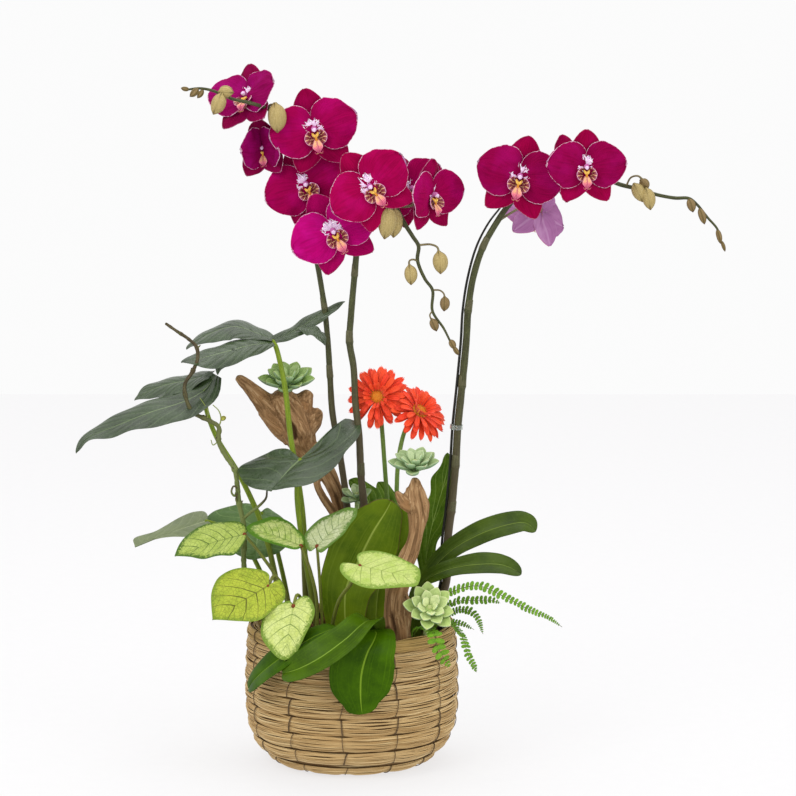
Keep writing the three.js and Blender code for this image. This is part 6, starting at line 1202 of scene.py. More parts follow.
def gerbera_head(name, s, mats):
    b, rng = Build(), rng_of(name)
    c, n, R = np.asarray(s["c"], float), unit(s["n"]), s["r"]
    e1 = unit(np.cross((0, 0, 1), n))
    e2 = np.cross(n, e1)
    for layer, (count, reach, start, rise, sink, width) in enumerate([(17, 1.02, 0.20, 0.02, 0.14, 3.5), (16, 0.95, 0.19, 0.10, 0.09, 3.3), (14, 0.80, 0.18, 0.20, 0.05, 2.8), (15, 0.42, 0.17, 0.42, 0.0, 1.6)]):
        for i in range(count):
            a = (i + 0.37 * layer + rng.uniform(-0.16, 0.16)) * TAU / count
            out = e1 * math.cos(a) + e2 * math.sin(a)
            side = np.cross(n, out)
            ln = R * (reach * rng.uniform(0.92, 1.0) - start)
            rows, cols = 11, 5
            u, v = np.linspace(0, 1, rows)[:, None], np.linspace(-1, 1, cols)[None]
            w = width * table_at([(0, 0.30), (0.2, 0.55), (0.55, 0.95), (0.8, 1.0), (0.93, 0.72), (1, 0.34)], u)
            lift = rise + rng.uniform(-0.03, 0.04)
            bendy = rng.uniform(-0.05, 0.05)
            notch = 0.06 * u * np.cos(v * 5.0)
            h = R * (lift * np.sin(u * 1.5) - (sink + rng.uniform(-0.03, 0.05)) * u**2.2) + 0.5 + 0.55 * v**2 * w * 0.5
            g = c + n * (1.0 - layer * 0.1 + 0.6 * layer) + out * (R * start + ln * (u + notch))[..., None] + side * (v * w + bendy * R * u**2)[..., None] + n * h[..., None]
            q = np.stack([u * ln + 0 * v, v * w, np.full((rows, cols), float(i * 9 + layer * 300))], -1)
            nn = np.stack([u + 0 * v, v + 0 * u, np.full((rows, cols), float(layer))], -1)
            slab(b, g, 0.55, 0, 1, flip=True, q=q, n=nn, e=(1 - np.abs(v)) * w)
    # disc of small florets: an outer ring of pale ones round a dark eye
    for i in range(190):
        q = math.sqrt((i + 0.5) / 190)
        a = i * 2.39996
        out = e1 * math.cos(a) + e2 * math.sin(a)
        rad = R * 0.235 * q
        height = 2.6 + 1.6 * (1 - (q - 0.72) ** 2 * 6) if q > 0.42 else 2.2
        base = c + out * rad + n * (1.0 + 0.5 * height * 0)
        tip = c + out * rad * 1.05 + n * (1.4 + height * rng.uniform(0.85, 1.1))
        tube(b, [[*base, 0.62], [*((base + tip) / 2), 0.66], [*tip, 0.42]], 5, 1.3, 2 if q > 0.34 else 3, float(i % 7))
    # green cup of bracts behind the head
    tube(b, [[*(c - n * 9.5), 2.7], [*(c - n * 7.0), 4.6], [*(c - n * 3.2), 7.2], [*(c - n * 0.9), 7.6]], 18, 1.2, 4, 0.0, cap=True)
    tube(b, [[*(c - n * 1.2), R * 0.20], [*(c + n * 0.6), R * 0.245], [*(c + n * 2.2), R * 0.225]], 20, 1.2, 2, 0.0, cap=True)
    for i in range(30):
        a = i * TAU / 15 + (0.2 if i > 14 else 0)
        out = e1 * math.cos(a) + e2 * math.sin(a)
        k = 0 if i < 15 else 1
        rows, cols = 6, 3
        u, v = np.linspace(0, 1, rows)[:, None], np.linspace(-1, 1, cols)[None]
        w = 1.25 * np.sin(math.pi * (0.15 + 0.8 * u)) ** 0.8
        side = np.cross(n, out)
        g = c + out * (4.6 + 1.2 * k + u * (5.4 + 1.0 * k))[..., None] + n * (-7.2 + 1.6 * k + u * 6.0)[..., None] + side * (v * w)[..., None] + 0 * v[..., None]
        slab(b, g, 0.6, 4, 4, flip=True, n=np.stack([u + 0 * v, v + 0 * u, np.zeros((rows, cols))], -1), e=(1 - np.abs(v)) * w)
    return b.piece(name, mats, name, "gerbera_petal")


def rosette(name, s, mats):
    b, rng = Build(), rng_of(name)
    c, n = np.asarray(s["c"], float), unit(s["n"])
    e1 = unit(np.array([1.0, 0, 0]) - n * n[0])
    e2 = np.cross(n, e1)
    count = int(s["k"] * 1.15)
    R, H = s["r"], s["h"]
    tube(b, [[*(c - n * 0.3 * H), R * 0.15], [*(c + n * 0.15 * H), R * 0.22], [*(c + n * 0.7 * H), R * 0.09]], 10, 1.5, 1)
    for i in range(count):
        a = i * 2.39996 + rng.uniform(-0.06, 0.06)
        qn = math.sqrt((i + 0.6) / count)
        rise = 1.25 + (0.22 - 1.25) * qn**1.05 + rng.uniform(-0.05, 0.05)
        out = e1 * math.cos(a) + e2 * math.sin(a)
        ln = R * (0.34 + 0.66 * qn) * rng.uniform(0.95, 1.02)
        wide = R * (0.105 + 0.155 * qn)
        d = out * math.cos(rise) + n * math.sin(rise)
        up = n * math.cos(rise) - out * math.sin(rise)
        side = np.cross(up, d) * -1
        base = c + n * H * (0.5 - 0.5 * qn) + out * R * 0.05
        rows, cols = 12, 9
        u, v = ((1 - np.cos(np.linspace(0.0, 1, rows) * math.pi)) / 2)[:, None], np.linspace(-1, 1, cols)[None]
        w = wide * table_at([(0, 0.34), (0.2, 0.44), (0.42, 0.70), (0.60, 0.97), (0.70, 1.0), (0.84, 0.74), (0.94, 0.36), (1, 0.05)], u)
        h = ln * (0.10 * u**2 - 0.02) + 0.22 * w * v**2 * 1.6
        off = v * w
        g = base + d * (u * ln + 0 * v)[..., None] + side * off[..., None] + up * h[..., None]
        th = (0.5 + wide * 0.46 * np.sqrt(np.maximum(0, 1 - np.abs(v) ** 2.4)) * np.sin(math.pi * np.clip(0.12 + u * 0.86, 0, 1)) ** 0.6) * np.ones((rows, cols))
        q = np.stack([u * ln + 0 * v, off, np.full((rows, cols), float(i * 23))], -1)
        nn = np.stack([u + 0 * v, v + 0 * u, np.full((rows, cols), qn)], -1)
        slab(b, g, th, 0, 2, flip=False, q=q, n=nn, e=np.minimum((1 - np.abs(v)) * w, (1 - u) * ln * 0.5), bias=-0.35)
    if s.get("stem"):
        tube(b, [[*p, 2.4] for p in s["stem"]], 8, 3, 1)
    return b.piece(name, mats, name, "succulent_leaf")


def near_line(points, lines):
    """For each point: the nearest centreline's place along, the offset across it and the surface depth."""
    best = np.full(len(points), 1e9)
    q = np.zeros((len(points), 3))
    for j, line in enumerate(lines):
        p, r, s = line
        d = tangents(p)
        for k in range(0, len(points), 4000):
            x = points[k : k + 4000]
            dist = np.linalg.norm(x[:, None] - p[None], axis=2) - r[None]
            i = dist.argmin(1)
            m = dist[np.arange(len(x)), i]
            better = m < best[k : k + 4000]
            off = x - p[i]
            along = s[i] + (off * d[i]).sum(1)
            off = off - d[i] * (off * d[i]).sum(1)[:, None]
            a1 = unit(np.cross(d[i], (0.31, 0.87, 0.38)))
            a2 = np.cross(d[i], a1)
            val = np.stack([along + j * 0.0, (off * a1).sum(1), (off * a2).sum(1)], 1)
            q[k : k + 4000][better] = val[better]
            best[k : k + 4000][better] = m[better]
    return q, best


def remeshed(b_tubes, voxel):
    """The union of several closed tubes as one skin, in millimetres."""
    me = bpy.data.meshes.new("union")
    v = np.concatenate(b_tubes.v)
    faces = [f for part in b_tubes.quads for f in part.tolist()] + [f for part in b_tubes.tris for f in part.tolist()]
    me.from_pydata((v * 0.001).tolist(), [], faces)
    ob = bpy.data.objects.new("union", me)
    bpy.context.scene.collection.objects.link(ob)
    m = ob.modifiers.new("r", "REMESH")
    m.mode, m.voxel_size = "VOXEL", voxel * 0.001
    k = ob.modifiers.new("s", "SMOOTH")
    k.factor, k.iterations = 0.6, 3
    dg = bpy.context.evaluated_depsgraph_get()
    made = bpy.data.meshes.new_from_object(ob.evaluated_get(dg))
    co = np.zeros(len(made.vertices) * 3)
    made.vertices.foreach_get("co", co)
    quads = np.array([list(p.vertices) for p in made.polygons if len(p.vertices) == 4])
    tris = np.array([list(p.vertices) for p in made.polygons if len(p.vertices) == 3]).reshape(-1, 3)
    no = np.zeros(len(made.vertices) * 3)
    made.vertices.foreach_get("normal", no)
    bpy.data.objects.remove(ob)
    bpy.data.meshes.remove(me)
    bpy.data.meshes.remove(made)
    return co.reshape(-1, 3) * 1000, no.reshape(-1, 3), quads, tris


def field(q, seed, octaves):
    """Sums of turned sine folds: a cheap smooth noise, the same each run. octaves: (scale across, scale along, amount)."""
    rng = np.random.default_rng(seed)
    out = np.zeros(len(q))
    for across, along, amount in octaves:
        part = np.zeros(len(q))
        for _ in range(6):
            th = rng.uniform(0, TAU)
            k = np.array([along * rng.uniform(0.5, 1.6) * rng.choice([-1, 1]), across * math.cos(th), across * math.sin(th)])
            part += np.sin(q @ k + rng.uniform(0, TAU) + 1.2 * np.sin(q @ (k[[0, 2, 1]] * 0.43) + rng.uniform(0, TAU)))
        out += amount * part / 3
    return out


def driftwood(name, tubes, mats, voxel=1.6):
    raw = Build()
    lines = []
    for j, t in enumerate(tubes):
        f = waves(rng_of(name + str(j)), 5, 0.5, 2.5)
        p, _, _, _, s, r = tube(raw, t, 18, 3.0, flat=0.9, rough=lambda s, a, r, f=f: 0.16 * f(s * 0.05, 1.6 * np.sin(a)) + 0.08 * f(s * 0.12 + 3, 2.6 * np.cos(a)))
        lines.append((p, r, s + j * 37))
    v, no, quads, tris = remeshed(raw, voxel)
    q, _ = near_line(v, lines)
    seed = zlib.crc32(name.encode()) % 1000
    # flowing grain ridges, and deep hollows worn into the softer wood
    grain = field(q, seed, [(0.55, 0.035, 0.55), (1.25, 0.07, 0.30), (2.2, 0.15, 0.14)])
    hollow = field(q, seed + 1, [(0.26, 0.05, 1.0), (0.6, 0.09, 0.4)])
    pit = smooth(hollow, 0.55, 1.5)
    fatness = np.clip(np.linalg.norm(q[:, 1:], axis=1) / 12, 0.25, 1)
    move = grain * 0.9 * fatness - pit * 4.2 * fatness
    b = Build()
    # e holds the depth of each hollow and groove, which the finish turns into painted shade
    b.add(v + no * move[:, None], quads, tris if len(tris) else None, q=q, n=(0.5, 0, 0), e=np.clip(pit * 4.2 * fatness + np.maximum(0, -grain) * 0.9, 0, 9))
    return b.piece(name, mats, name, "driftwood")


def vine_piece(name, s, mats):
    b, rng = Build(), rng_of(name)
    f = waves(rng, 6, 1, 5)
    pts = s["main"]
    tt, length = even([p[:3] for p in pts], 300)
    marks = [length * k for k in (0.18, 0.31, 0.43, 0.52, 0.61, 0.69, 0.77, 0.84, 0.9, 0.955)]

    def radius(x, t, r):
        k = 1 + 0.05 * np.sin(x * 0.3) + 0.04 * np.sin(x * 0.83 + 1)
        for m in marks:
            k = k + 0.38 * np.exp(-(((x - m) / 2.0) ** 2))
        return r * k

    tube(b, pts, 10, 1.8, 0, 0.0, radius=radius, rough=lambda s, a, r: 0.07 * f(s * 0.35, 2 * np.sin(a)))
    for j, q in enumerate(s["branches"]):
        tube(b, q, 7, 1.4, 0, 0.6, rough=lambda s, a, r: 0.06 * f(s * 0.5, 2 * np.sin(a)))
    for j, q in enumerate(s["tendrils"]):
        tube(b, q, 6, 1.2, 1, 0.2)
    for j, (p, t, r) in enumerate(s["buds"]):
        bud(b, p, t, r, 2, 1.0, sides=9)
    for j, m in enumerate(marks[2:]):  # small leaf scars and stubs at the joints
        t = np.interp(m, np.linspace(0, length, 300), tt)
        c = curve_at([p[:3] for p in pts], np.array([t]))[0]
        out = unit(np.array([math.cos(j * 2.1), -abs(math.sin(j * 2.1)), 0.5]))
        tube(b, [[*(c + out * 0.6), 1.0], [*(c + out * 3.0), 0.8], [*(c + out * 4.2 + np.array([0, 0, 0.8])), 0.45]], 6, 1.0, 0, 0.8)
    return b.piece(name, mats, name, "vine")


def frond(name, s, mats):
    b, rng = Build(), rng_of(name)
    pts = s["pts"]
    n0 = np.asarray(s["n"], float)
    tt, length = even(pts, 400)
    at = lambda x: np.interp(x / length, np.linspace(0, 1, 400), tt)
    tube(b, [[*p, max(0.28, 0.8 - 0.52 * i / (len(pts) - 1))] for i, p in enumerate(pts)], 6, 2.5, 1)
    x, k = 0.0, 0
    start = length * 0.16
    x = start
    while x < length - 1.0:
        t = at(x)
        p = curve_at(pts, np.array([t]))[0]
        d = unit(curve_at(pts, np.array([at(min(length, x + 1))]))[0] - curve_at(pts, np.array([at(max(0, x - 1))]))[0])
        n = unit(list_at(n0, np.array([t]))[0]) if n0.ndim > 1 else n0
        side = unit(np.cross(d, n))
        up = np.cross(side, d)
        w = float(list_at(s["w"], np.array([t]))[0]) * rng.uniform(0.88, 1.05)
        if w < 1.3:
            break
        for sg in (-1, 1):
            tilt = rng.uniform(-0.3, 0.3)
            out = unit(side * sg + d * rng.uniform(0.15, 0.4) + up * rng.uniform(-0.15, 0.25))
            rows, cols = 6, 5
            u, v = ((1 - np.cos(np.linspace(0, 1, rows) * math.pi)) / 2)[:, None], np.linspace(-1, 1, cols)[None]
            half = w * 0.31 * (np.sin(math.pi * np.clip(0.1 + 0.86 * u, 0, 1)) ** 0.5) + 0.1
            across = unit(np.cross(up, out) + up * tilt)
            g = p + out * (u * w + 0 * v)[..., None] + across * (v * half)[..., None] + np.cross(out, across) * (0.12 * w * (u - 0.5) ** 2 + 0.10 * half * v**2)[..., None]
            q = np.stack([u * w + 0 * v, v * half, np.full((rows, cols), k * 11.0)], -1)
            nn = np.stack([u + 0 * v, v + 0 * u, np.full((rows, cols), float(k % 13))], -1)
            slab(b, g, 0.5, 0, 0, q=q, n=nn, e=np.minimum((1 - np.abs(v)) * half, (1 - u) * w))
            k += 1
        x += max(2.2, w * 0.80)
    return b.piece(name, mats, name, "fern_leaf")


def basket_piece(mats):
    b, rng = Build(), rng_of("basket")
    outer = lambda z: np.interp(z, [p[0] for p in BASKET_PROFILE], [p[1] for p in BASKET_PROFILE])
    # core between the reeds: a closed wall and floor, coloured dark brown as painted shade in the joints between rows
    # and on the inner wall
    prof = [(0.5, 2.2), (66, 2.2), (72.5, 3.0)]
    for i in range(len(COIL_EDGES) - 1):
        lo, hi = COIL_EDGES[i], COIL_EDGES[i + 1]
        if i:
            prof.append((outer(lo) - 5.0, lo))
        prof.append((outer((lo + hi) / 2) - 3.6, (lo + hi) / 2))
    prof += [(107.0, 144.2), (103.0, 144.2), (102.2, 142), (102.2, 44), (94.8, 23.6), (80.3, 8.8), (0.5, 7.6)]
    steps = 120
    a = np.arange(steps) * TAU / steps
    pr = np.array(prof)
    m = len(pr)
    v = np.stack([pr[:, 0][:, None] * np.cos(a), pr[:, 0][:, None] * np.sin(a), pr[:, 1][:, None] + 0 * a], -1)
    i, k = np.arange(m)[:, None], np.arange(steps)[None]
    i2, k2 = (i + 1) % m, (k + 1) % steps
    faces = np.stack([i * steps + k, i * steps + k2, i2 * steps + k2, i2 * steps + k], -1).reshape(-1, 4)
    b.add(v, faces, mat=1, q=np.stack([pr[:, 0][:, None] * a, pr[:, 1][:, None] + 0 * a, 0 * a + 0 * pr[:, :1]], -1), e=3.0)
    # coils: reeds side by side round each row, drawn in where a stitch ties them
    count, sides = 120, 5
    th = np.arange(count) * TAU / count
    stitch0 = math.radians(-90 - 5)
    phase = (th - stitch0) / (TAU / 12)
    ring_k = np.arange(sides) * TAU / sides
    number = 0
    for row in range(9):
        lo, hi = COIL_EDGES[row], COIL_EDGES[row + 1]
        mid, h = (lo + hi) / 2, hi - lo
        slope = (outer(hi) - outer(lo)) / h
        up = unit(np.array([slope, 1.0]))          # along the wall, upwards: (radial, z)
        out = np.array([up[1], -up[0]])            # outwards
        shift = rng.uniform(-0.02, 0.02) + 0.012 * (row - 4)
        near = np.abs((phase + shift + 0.5) % 1 - 0.5) * 2   # 0 at a stitch, 1 midway
        tied = np.exp(-((near / 0.30) ** 2))
        full = 1.0
        if row == 8:
            angles = np.radians(np.linspace(-80, 205, 19))
        elif row == 0:
            angles = np.radians(np.linspace(-86, 78, 12))
        else:
            angles = np.radians(np.linspace(-78, 78, 13 if h > 15.5 else 12))
        puff = waves(rng, 4, 0.8, 2.2)
        for j, phi in enumerate(angles):
            number += 1
            rr = rng.uniform(0.68, 0.94)
            f, g = waves(rng, 5, 1, 6), waves(rng, 4, 2, 9)
            swell = 1 + 0.05 * puff(th, 0) - 0.13 * tied
            away = 3.6 * swell - 1.15 * tied
            tall = (h / 2 - 0.75) * (1 - 0.10 * tied)
            x = math.cos(phi) * away + 0.42 * f(th, 1.0) * (1 - 0.7 * tied) - 0.2
            y = math.sin(phi) * tall + (0.65 * g(th, 0.0) + 0.5 * f(th * 2.0, 2.0)) * (1 - 0.75 * tied)
            base = outer(mid) - 3.55
            R = base + out[0] * x + up[0] * y
            Z = mid + out[1] * x + up[1] * y
            if row == 8 and math.cos(phi) < 0:
                R = base - 3.0 + x * 1.3
                Z = mid + y
            Z = np.maximum(Z, rr + 0.12)
            rad = rr * (1 + 0.10 * f(th * 3.0, 3.0))
            centre = np.stack([R * np.cos(th), R * np.sin(th), Z], -1)
            radial = np.stack([np.cos(th), np.sin(th), 0 * th], -1)
            ring = centre[:, None] + radial[:, None] * (np.cos(ring_k) * rad[:, None])[..., None] + np.array([0, 0, 1.0]) * (np.sin(ring_k) * rad[:, None])[..., None]
            q = np.stack([np.broadcast_to((th * 108 + number * 731)[:, None], (count, sides)), np.cos(ring_k) * rad[:, None], np.sin(ring_k) * rad[:, None]], -1)
            # the first ring once more at the end, so that the straightened length has no jump
            ring, q = np.concatenate([ring, ring[:1]]), np.concatenate([q, q[:1] + (TAU * 108, 0, 0)])
            fa = grid_faces(count + 1, sides)
            i = np.arange(count)[:, None] * sides
            wrap = np.stack([i + sides - 1, i, i + sides, i + 2 * sides - 1], -1).reshape(-1, 4)
            fa = np.concatenate([fa, wrap])[:, ::-1]
            total = (count + 1) * sides
            nn = np.zeros((count + 1, sides, 3))
            nn[..., 0], nn[..., 2] = 0.5, number
            b.add(ring.reshape(-1, 3), fa, mat=2 if row == 8 else 0, q=q.reshape(-1, 3), n=nn.reshape(-1, 3), e=2.0)
        # stitches: a waxed thread from the joint below, over the row, to the joint above
        for k in range(12):
            a0 = stitch0 + (k - shift) * TAU / 12
            lean = rng.uniform(-0.012, 0.03)
            line = []
            for t in np.linspace(-1, 1, 9):
                phi = t * math.radians(96)
                x, y = math.cos(phi) * 3.55 + 0.15, math.sin(phi) * (h / 2 - 0.4)
                R = outer(mid) - 4.2 + out[0] * x + up[0] * y + 0.95
                Z = max(mid + out[1] * x + up[1] * y, 0.7)
                an = a0 + lean * t
                line.append([R * math.cos(an), R * math.sin(an), Z, 0.42])
            tube(b, line, 4, 2.0, 3, float(k))
            if rng.uniform() < 0.5:
                tube(b, [[p[0] + 0.9 * math.cos(a0 + 1.57), p[1] + 0.9 * math.sin(a0 + 1.57), p[2], 0.36] for p in line], 4, 2.0, 3, float(k) + 0.5)
    # foot: flat spiral of reeds under the basket
    for j in range(20):
        R = 71.5 - j * 3.55
        if R < 3:
            break
        n = max(24, int(R * 1.2))
        th2 = np.arange(n + 1) * TAU / n
        ring = []
        for s in range(5):
            k = s * TAU / 5
            ring.append(np.stack([(R + 1.75 * math.cos(k)) * np.cos(th2), (R + 1.75 * math.cos(k)) * np.sin(th2), 1.75 + 1.6 * math.sin(k) + 0 * th2], -1))
        v = np.stack(ring, 1)
        fa = grid_faces(n + 1, 5)
        i = np.arange(n)[:, None] * 5
        wrap = np.stack([i + 4, i, i + 5, i + 9], -1).reshape(-1, 4)
        nn = np.zeros((n + 1, 5, 3))
        nn[..., 2] = 200 + j
        q = np.stack([np.broadcast_to((th2 * R)[:, None], (n + 1, 5)), v[..., 2] * 0, v[..., 2]], -1)
        b.add(v.reshape(-1, 3), np.concatenate([fa, wrap])[:, ::-1], mat=0, q=q.reshape(-1, 3), n=nn.reshape(-1, 3))
    return b.piece("basket", mats, "basket", "reed")


def pebble(b, c, size, rng, mat, flat=0.6):
    """A small rough chip: a turned, squashed ball of few faces."""
    rows, cols = 5, 6
    u = np.linspace(0, math.pi, rows + 2)[1:-1][:, None]
    a = (np.arange(cols) * TAU / cols)[None]
    r = size * (1 + rng.uniform(-0.28, 0.28, (rows, cols)))
    v = np.stack([r * np.sin(u) * np.cos(a), r * np.sin(u) * np.sin(a) * rng.uniform(0.5, 1), r * np.cos(u) * flat + 0 * a], -1)
    e = rng.uniform(0, TAU, 3)
    v = v.reshape(-1, 3) @ turn(e).T
    top, bot = v[:cols].mean(0), v[-cols:].mean(0)
    i = np.arange(rows - 1)[:, None] * cols
    wrap = np.stack([i + cols - 1, i, i + cols, i + 2 * cols - 1], -1).reshape(-1, 4)
    faces = np.concatenate([grid_faces(rows, cols), wrap])[:, ::-1]
    m, k = rows * cols, np.arange(cols)
    tris = np.concatenate([np.stack([np.full(cols, m), k, (k + 1) % cols], -1), np.stack([np.full(cols, m + 1), m - cols + (k + 1) % cols, m - cols + k], -1)])
    v = np.concatenate([v, top[None], bot[None]]) + c
    b.add(v, faces, tris, mat=mat, q=v, n=(0.5, 0, float(rng.uniform(0, 50))))


def turn(e):
    cx, sx, cy, sy, cz, sz = (f(t) for t in e for f in (math.cos, math.sin))
    return np.array([[cy * cz, sx * sy * cz - cx * sz, cx * sy * cz + sx * sz], [cy * sz, sx * sy * sz + cx * cz, cx * sy * sz - sx * cz], [-sy, sx * cy, cx * cy]])


def soil_piece(mats):
    b, rng = Build(), rng_of("soil")
    f, g = waves(rng, 8, 0.02, 0.09), waves(rng, 10, 0.1, 0.3)
    R, steps = 98.6, 96
    rad = np.concatenate([np.linspace(0.8, R, 46), [R, R, 90.0, 75, 0.8]])
    zz = np.concatenate([np.full(46, 129.0), [118, 48, 27.4, 11.8, 10.8]])
    a = np.arange(steps) * TAU / steps
    x, y = rad[:, None] * np.cos(a), rad[:, None] * np.sin(a)
    z = zz[:, None] + 0 * a
    top = (np.arange(len(rad)) < 46)[:, None]
    z = z + np.where(top, 1.7 * f(x, y) + 1.1 * g(x, y) + 0.5, 0)
    v = np.stack([x, y, z], -1)
    m = len(rad)
    i, k = np.arange(m - 1)[:, None], np.arange(steps)[None]
    k2 = (k + 1) % steps
    faces = np.stack([i * steps + k, (i + 1) * steps + k, (i + 1) * steps + k2, i * steps + k2], -1).reshape(-1, 4)
    n = m * steps
    kk = np.arange(steps)
    tris = np.concatenate([np.stack([np.full(steps, n), kk, (kk + 1) % steps], -1), np.stack([np.full(steps, n + 1), n - steps + (kk + 1) % steps, n - steps + kk], -1)])
    vv = np.concatenate([v.reshape(-1, 3), [[0, 0, v[0][:, 2].mean()]], [[0, 0, 10.8]]])
    b.add(vv, faces, tris, mat=0, q=vv)
    for _ in range(620):
        r, t = 97 * math.sqrt(rng.uniform()), rng.uniform(0, TAU)
        px, py = r * math.cos(t), r * math.sin(t)
        size = rng.uniform(1.6, 5.2)
        if r + size > 97.5:
            continue
        pebble(b, np.array([px, py, 129.6 + 1.7 * f(px, py) + size * 0.25]), size, rng, 1)
    return b.piece("growing_mix", mats, "growing_mix", "growing_mix")


def moss_piece(mats):
    b, rng = Build(), rng_of("moss")
    cx, cy, R = -14.0, -44.0, 42.0
    f = waves(rng, 8, 0.05, 0.2)
    steps, rows = 72, 22
    rad = np.concatenate([np.linspace(0.6, R, rows), [R - 1.0, 0.6]])
    a = np.arange(steps) * TAU / steps
    x, y = rad[:, None] * np.cos(a) + cx, rad[:, None] * np.sin(a) + cy
    dome = lambda r: 8.4 * np.sqrt(np.maximum(0, 1 - (r / (R + 0.5)) ** 2.2))
    z = 129.6 + np.where((np.arange(len(rad)) < rows)[:, None], dome(rad)[:, None] + 1.3 * f(x, y) * smooth(1 - rad / R, 0, 0.3)[:, None], 0)
    v = np.stack([x, y, z], -1)
    m = len(rad)
    i, k = np.arange(m - 1)[:, None], np.arange(steps)[None]
    k2 = (k + 1) % steps
    faces = np.stack([i * steps + k, (i + 1) * steps + k, (i + 1) * steps + k2, i * steps + k2], -1).reshape(-1, 4)
    n, kk = m * steps, np.arange(steps)
    tris = np.concatenate([np.stack([np.full(steps, n), kk, (kk + 1) % steps], -1), np.stack([np.full(steps, n + 1), n - steps + (kk + 1) % steps, n - steps + kk], -1)])
    vv = np.concatenate([v.reshape(-1, 3), [[cx, cy, v[0][:, 2].mean()]], [[cx, cy, 129.6]]])
    b.add(vv, faces, tris, mat=0, q=vv)
    for _ in range(1500):  # short curling threads of dry and green moss
        r, t = R * math.sqrt(rng.uniform()) * 0.99, rng.uniform(0, TAU)
        px, py = cx + r * math.cos(t), cy + r * math.sin(t)
        pz = 129.6 + float(dome(np.array(r))) - 0.4
        ln, a1, lean = rng.uniform(3, 9), rng.uniform(0, TAU), rng.uniform(0.2, 0.9)
        d = np.array([math.cos(a1) * lean, math.sin(a1) * lean, 1.0 - lean * 0.75])
        c2 = np.array([-math.sin(a1), math.cos(a1), 0]) * rng.uniform(-0.4, 0.4)
        pts = [[px + d[0] * ln * s + c2[0] * ln * s * s, py + d[1] * ln * s + c2[1] * ln * s * s, pz + d[2] * ln * 0.55 * s * (1.35 - s), 0.34 * (1.1 - 0.7 * s)] for s in (0, 0.33, 0.66, 1.0)]
        tube(b, pts, 3, 2.6, 1 + int(rng.uniform() < 0.45), float(rng.uniform(0, 9)), cap=False)
    return b.piece("moss_cushion", mats, "moss_cushion", "moss")


# ---- the pieces -----------------------------------------------------------------------------------------------------
spike_mats = [
    stem_finish("spike_stem_olive", "#4d5230", "#33341f", "#6d7048", spots=0.35, base="#5a4b3a", base_at=(0.0, 0.35)),
    stem_finish("spike_sheath", "#5e5d40", "#4b4832", "#7a785a"),
    stem_finish("spike_pedicel", "#7d7350", "#5f5238", "#a08f6c"),
    bud_finish("spike_bud", "#b09c66", "#7d6c40", "#cfc092", "#7a6440"),
    bud_finish("spike_bud_small", "#85704a", "#5c4430", "#a08c60", "#4f2c34"),
]
for name, s in PIECES["spikes"].items():
    spike(name, s, spike_mats)

EDGE = "#e7bdd4"
rear = petal_finish("tepal_reverse", "#a8709f", "#8f5a8a", "#c49abf", "#b98ab4", reverse=True, rim=0.2)


def pair(name, petal, sepal):
    return petal_finish("petal_" + name, *petal, EDGE, rim=0.8), petal_finish("sepal_" + name, *sepal, EDGE, rim=0.3)


kinds = {
    "crimson": pair("crimson", ("#960247", "#780136", "#ac0668"), ("#8a013b", "#6c012d", "#9e0550")),
    "magenta": pair("magenta", ("#b00468", "#8e034e", "#c4148a"), ("#9c0350", "#7f0240", "#b00a64")),
    "rose": pair("rose", ("#9c0245", "#7e0234", "#b40a66"), ("#97023e", "#7a0231", "#a80752")),
    "wine": pair("wine", ("#87023f", "#6a012e", "#a00a62"), ("#90013a", "#72012c", "#a40450")),
    "plum": pair("plum", ("#880550", "#680234", "#a6107a"), ("#7a0438", "#5c0328", "#940a54")),
}
lip_mats = [
    petal_finish("column_pink", "#c06aa6", "#94397c", "#e0a3cd", "#f3e2ef"),
    # the pale crown's lilac second colour, mixed into its veins and towards the foot of the column cap and each tuft,
    # is painted shade
    petal_finish("column_cap_pale", "#e9cfe8", "#c48fcc", "#f6e9f6", "#ffffff"),
]


def lip_finish(name, ground, stripe, edge, count=7.0):
    f = Finish(name, spec=0.35)
    u, v = f.part("n", 0), f.part("n", 1)
    wob = f.mul(f.noise(f.vec("q"), 0.35, 2.0, 0.5), 0.25)
    saw = f.math("PINGPONG", f.plus(f.mul(u, count), wob), 0.5)
    fan = f.math("PINGPONG", f.plus(f.mul(v, count * 0.4), wob), 0.5)
    small = f.noise(f.vec("q"), 1.4, 3.0, 0.6)
    c = f.mix(f.between(saw, 0.17, 0.06, 0.0, 0.9), ground, stripe)
    c = f.mix(f.between(fan, 0.08, 0.02, 0.0, 0.5), c, stripe)
    c = f.mix(f.between(f.e(), 1.1, 0.35, 0.0, 0.9), c, edge)
    c = f.mix(f.between(small, 0.55, 0.75, 0.0, 0.5), c, edge)
    f.set("base", c)
    f.set("rough", f.between(small, 0.3, 0.7, 0.34, 0.5))
    f.bump(f.plus(f.mul(saw, 0.8), f.mul(small, 0.5)), 0.5, 0.0007)
    return f.m


def mid_lobe_finish():
    f = Finish("lip_middle_lobe", spec=0.35)
    u, v = f.part("n", 0), f.part("n", 1)
    av = f.math("ABSOLUTE", v)
    small = f.noise(f.vec("q"), 1.1, 3.0, 0.6)
    c = f.ramp(f.plus(u, f.mul(small, 0.12)), [(0.04, "#e0a060"), (0.25, "#e8b47c"), (0.48, "#e39a72"), (0.66, "#d85a7c"), (0.95, "#b8126c")])
    c = f.mix(f.between(av, 0.22, 0.05, 0.0, 0.8), c, "#a5105c")
    saw = f.math("PINGPONG", f.plus(f.mul(v, 4.5), f.mul(small, 0.4)), 0.5)
    c = f.mix(f.between(saw, 0.18, 0.05, 0.0, 0.55), c, "#f0c9a0")
    c = f.mix(f.between(f.e(), 0.9, 0.2, 0.0, 0.6), c, "#e88cae")
    f.set("base", c)
    f.set("rough", f.between(small, 0.3, 0.7, 0.32, 0.48))
    f.bump(f.plus(small, f.mul(saw, 0.5)), 0.5, 0.0007)
    return f.m


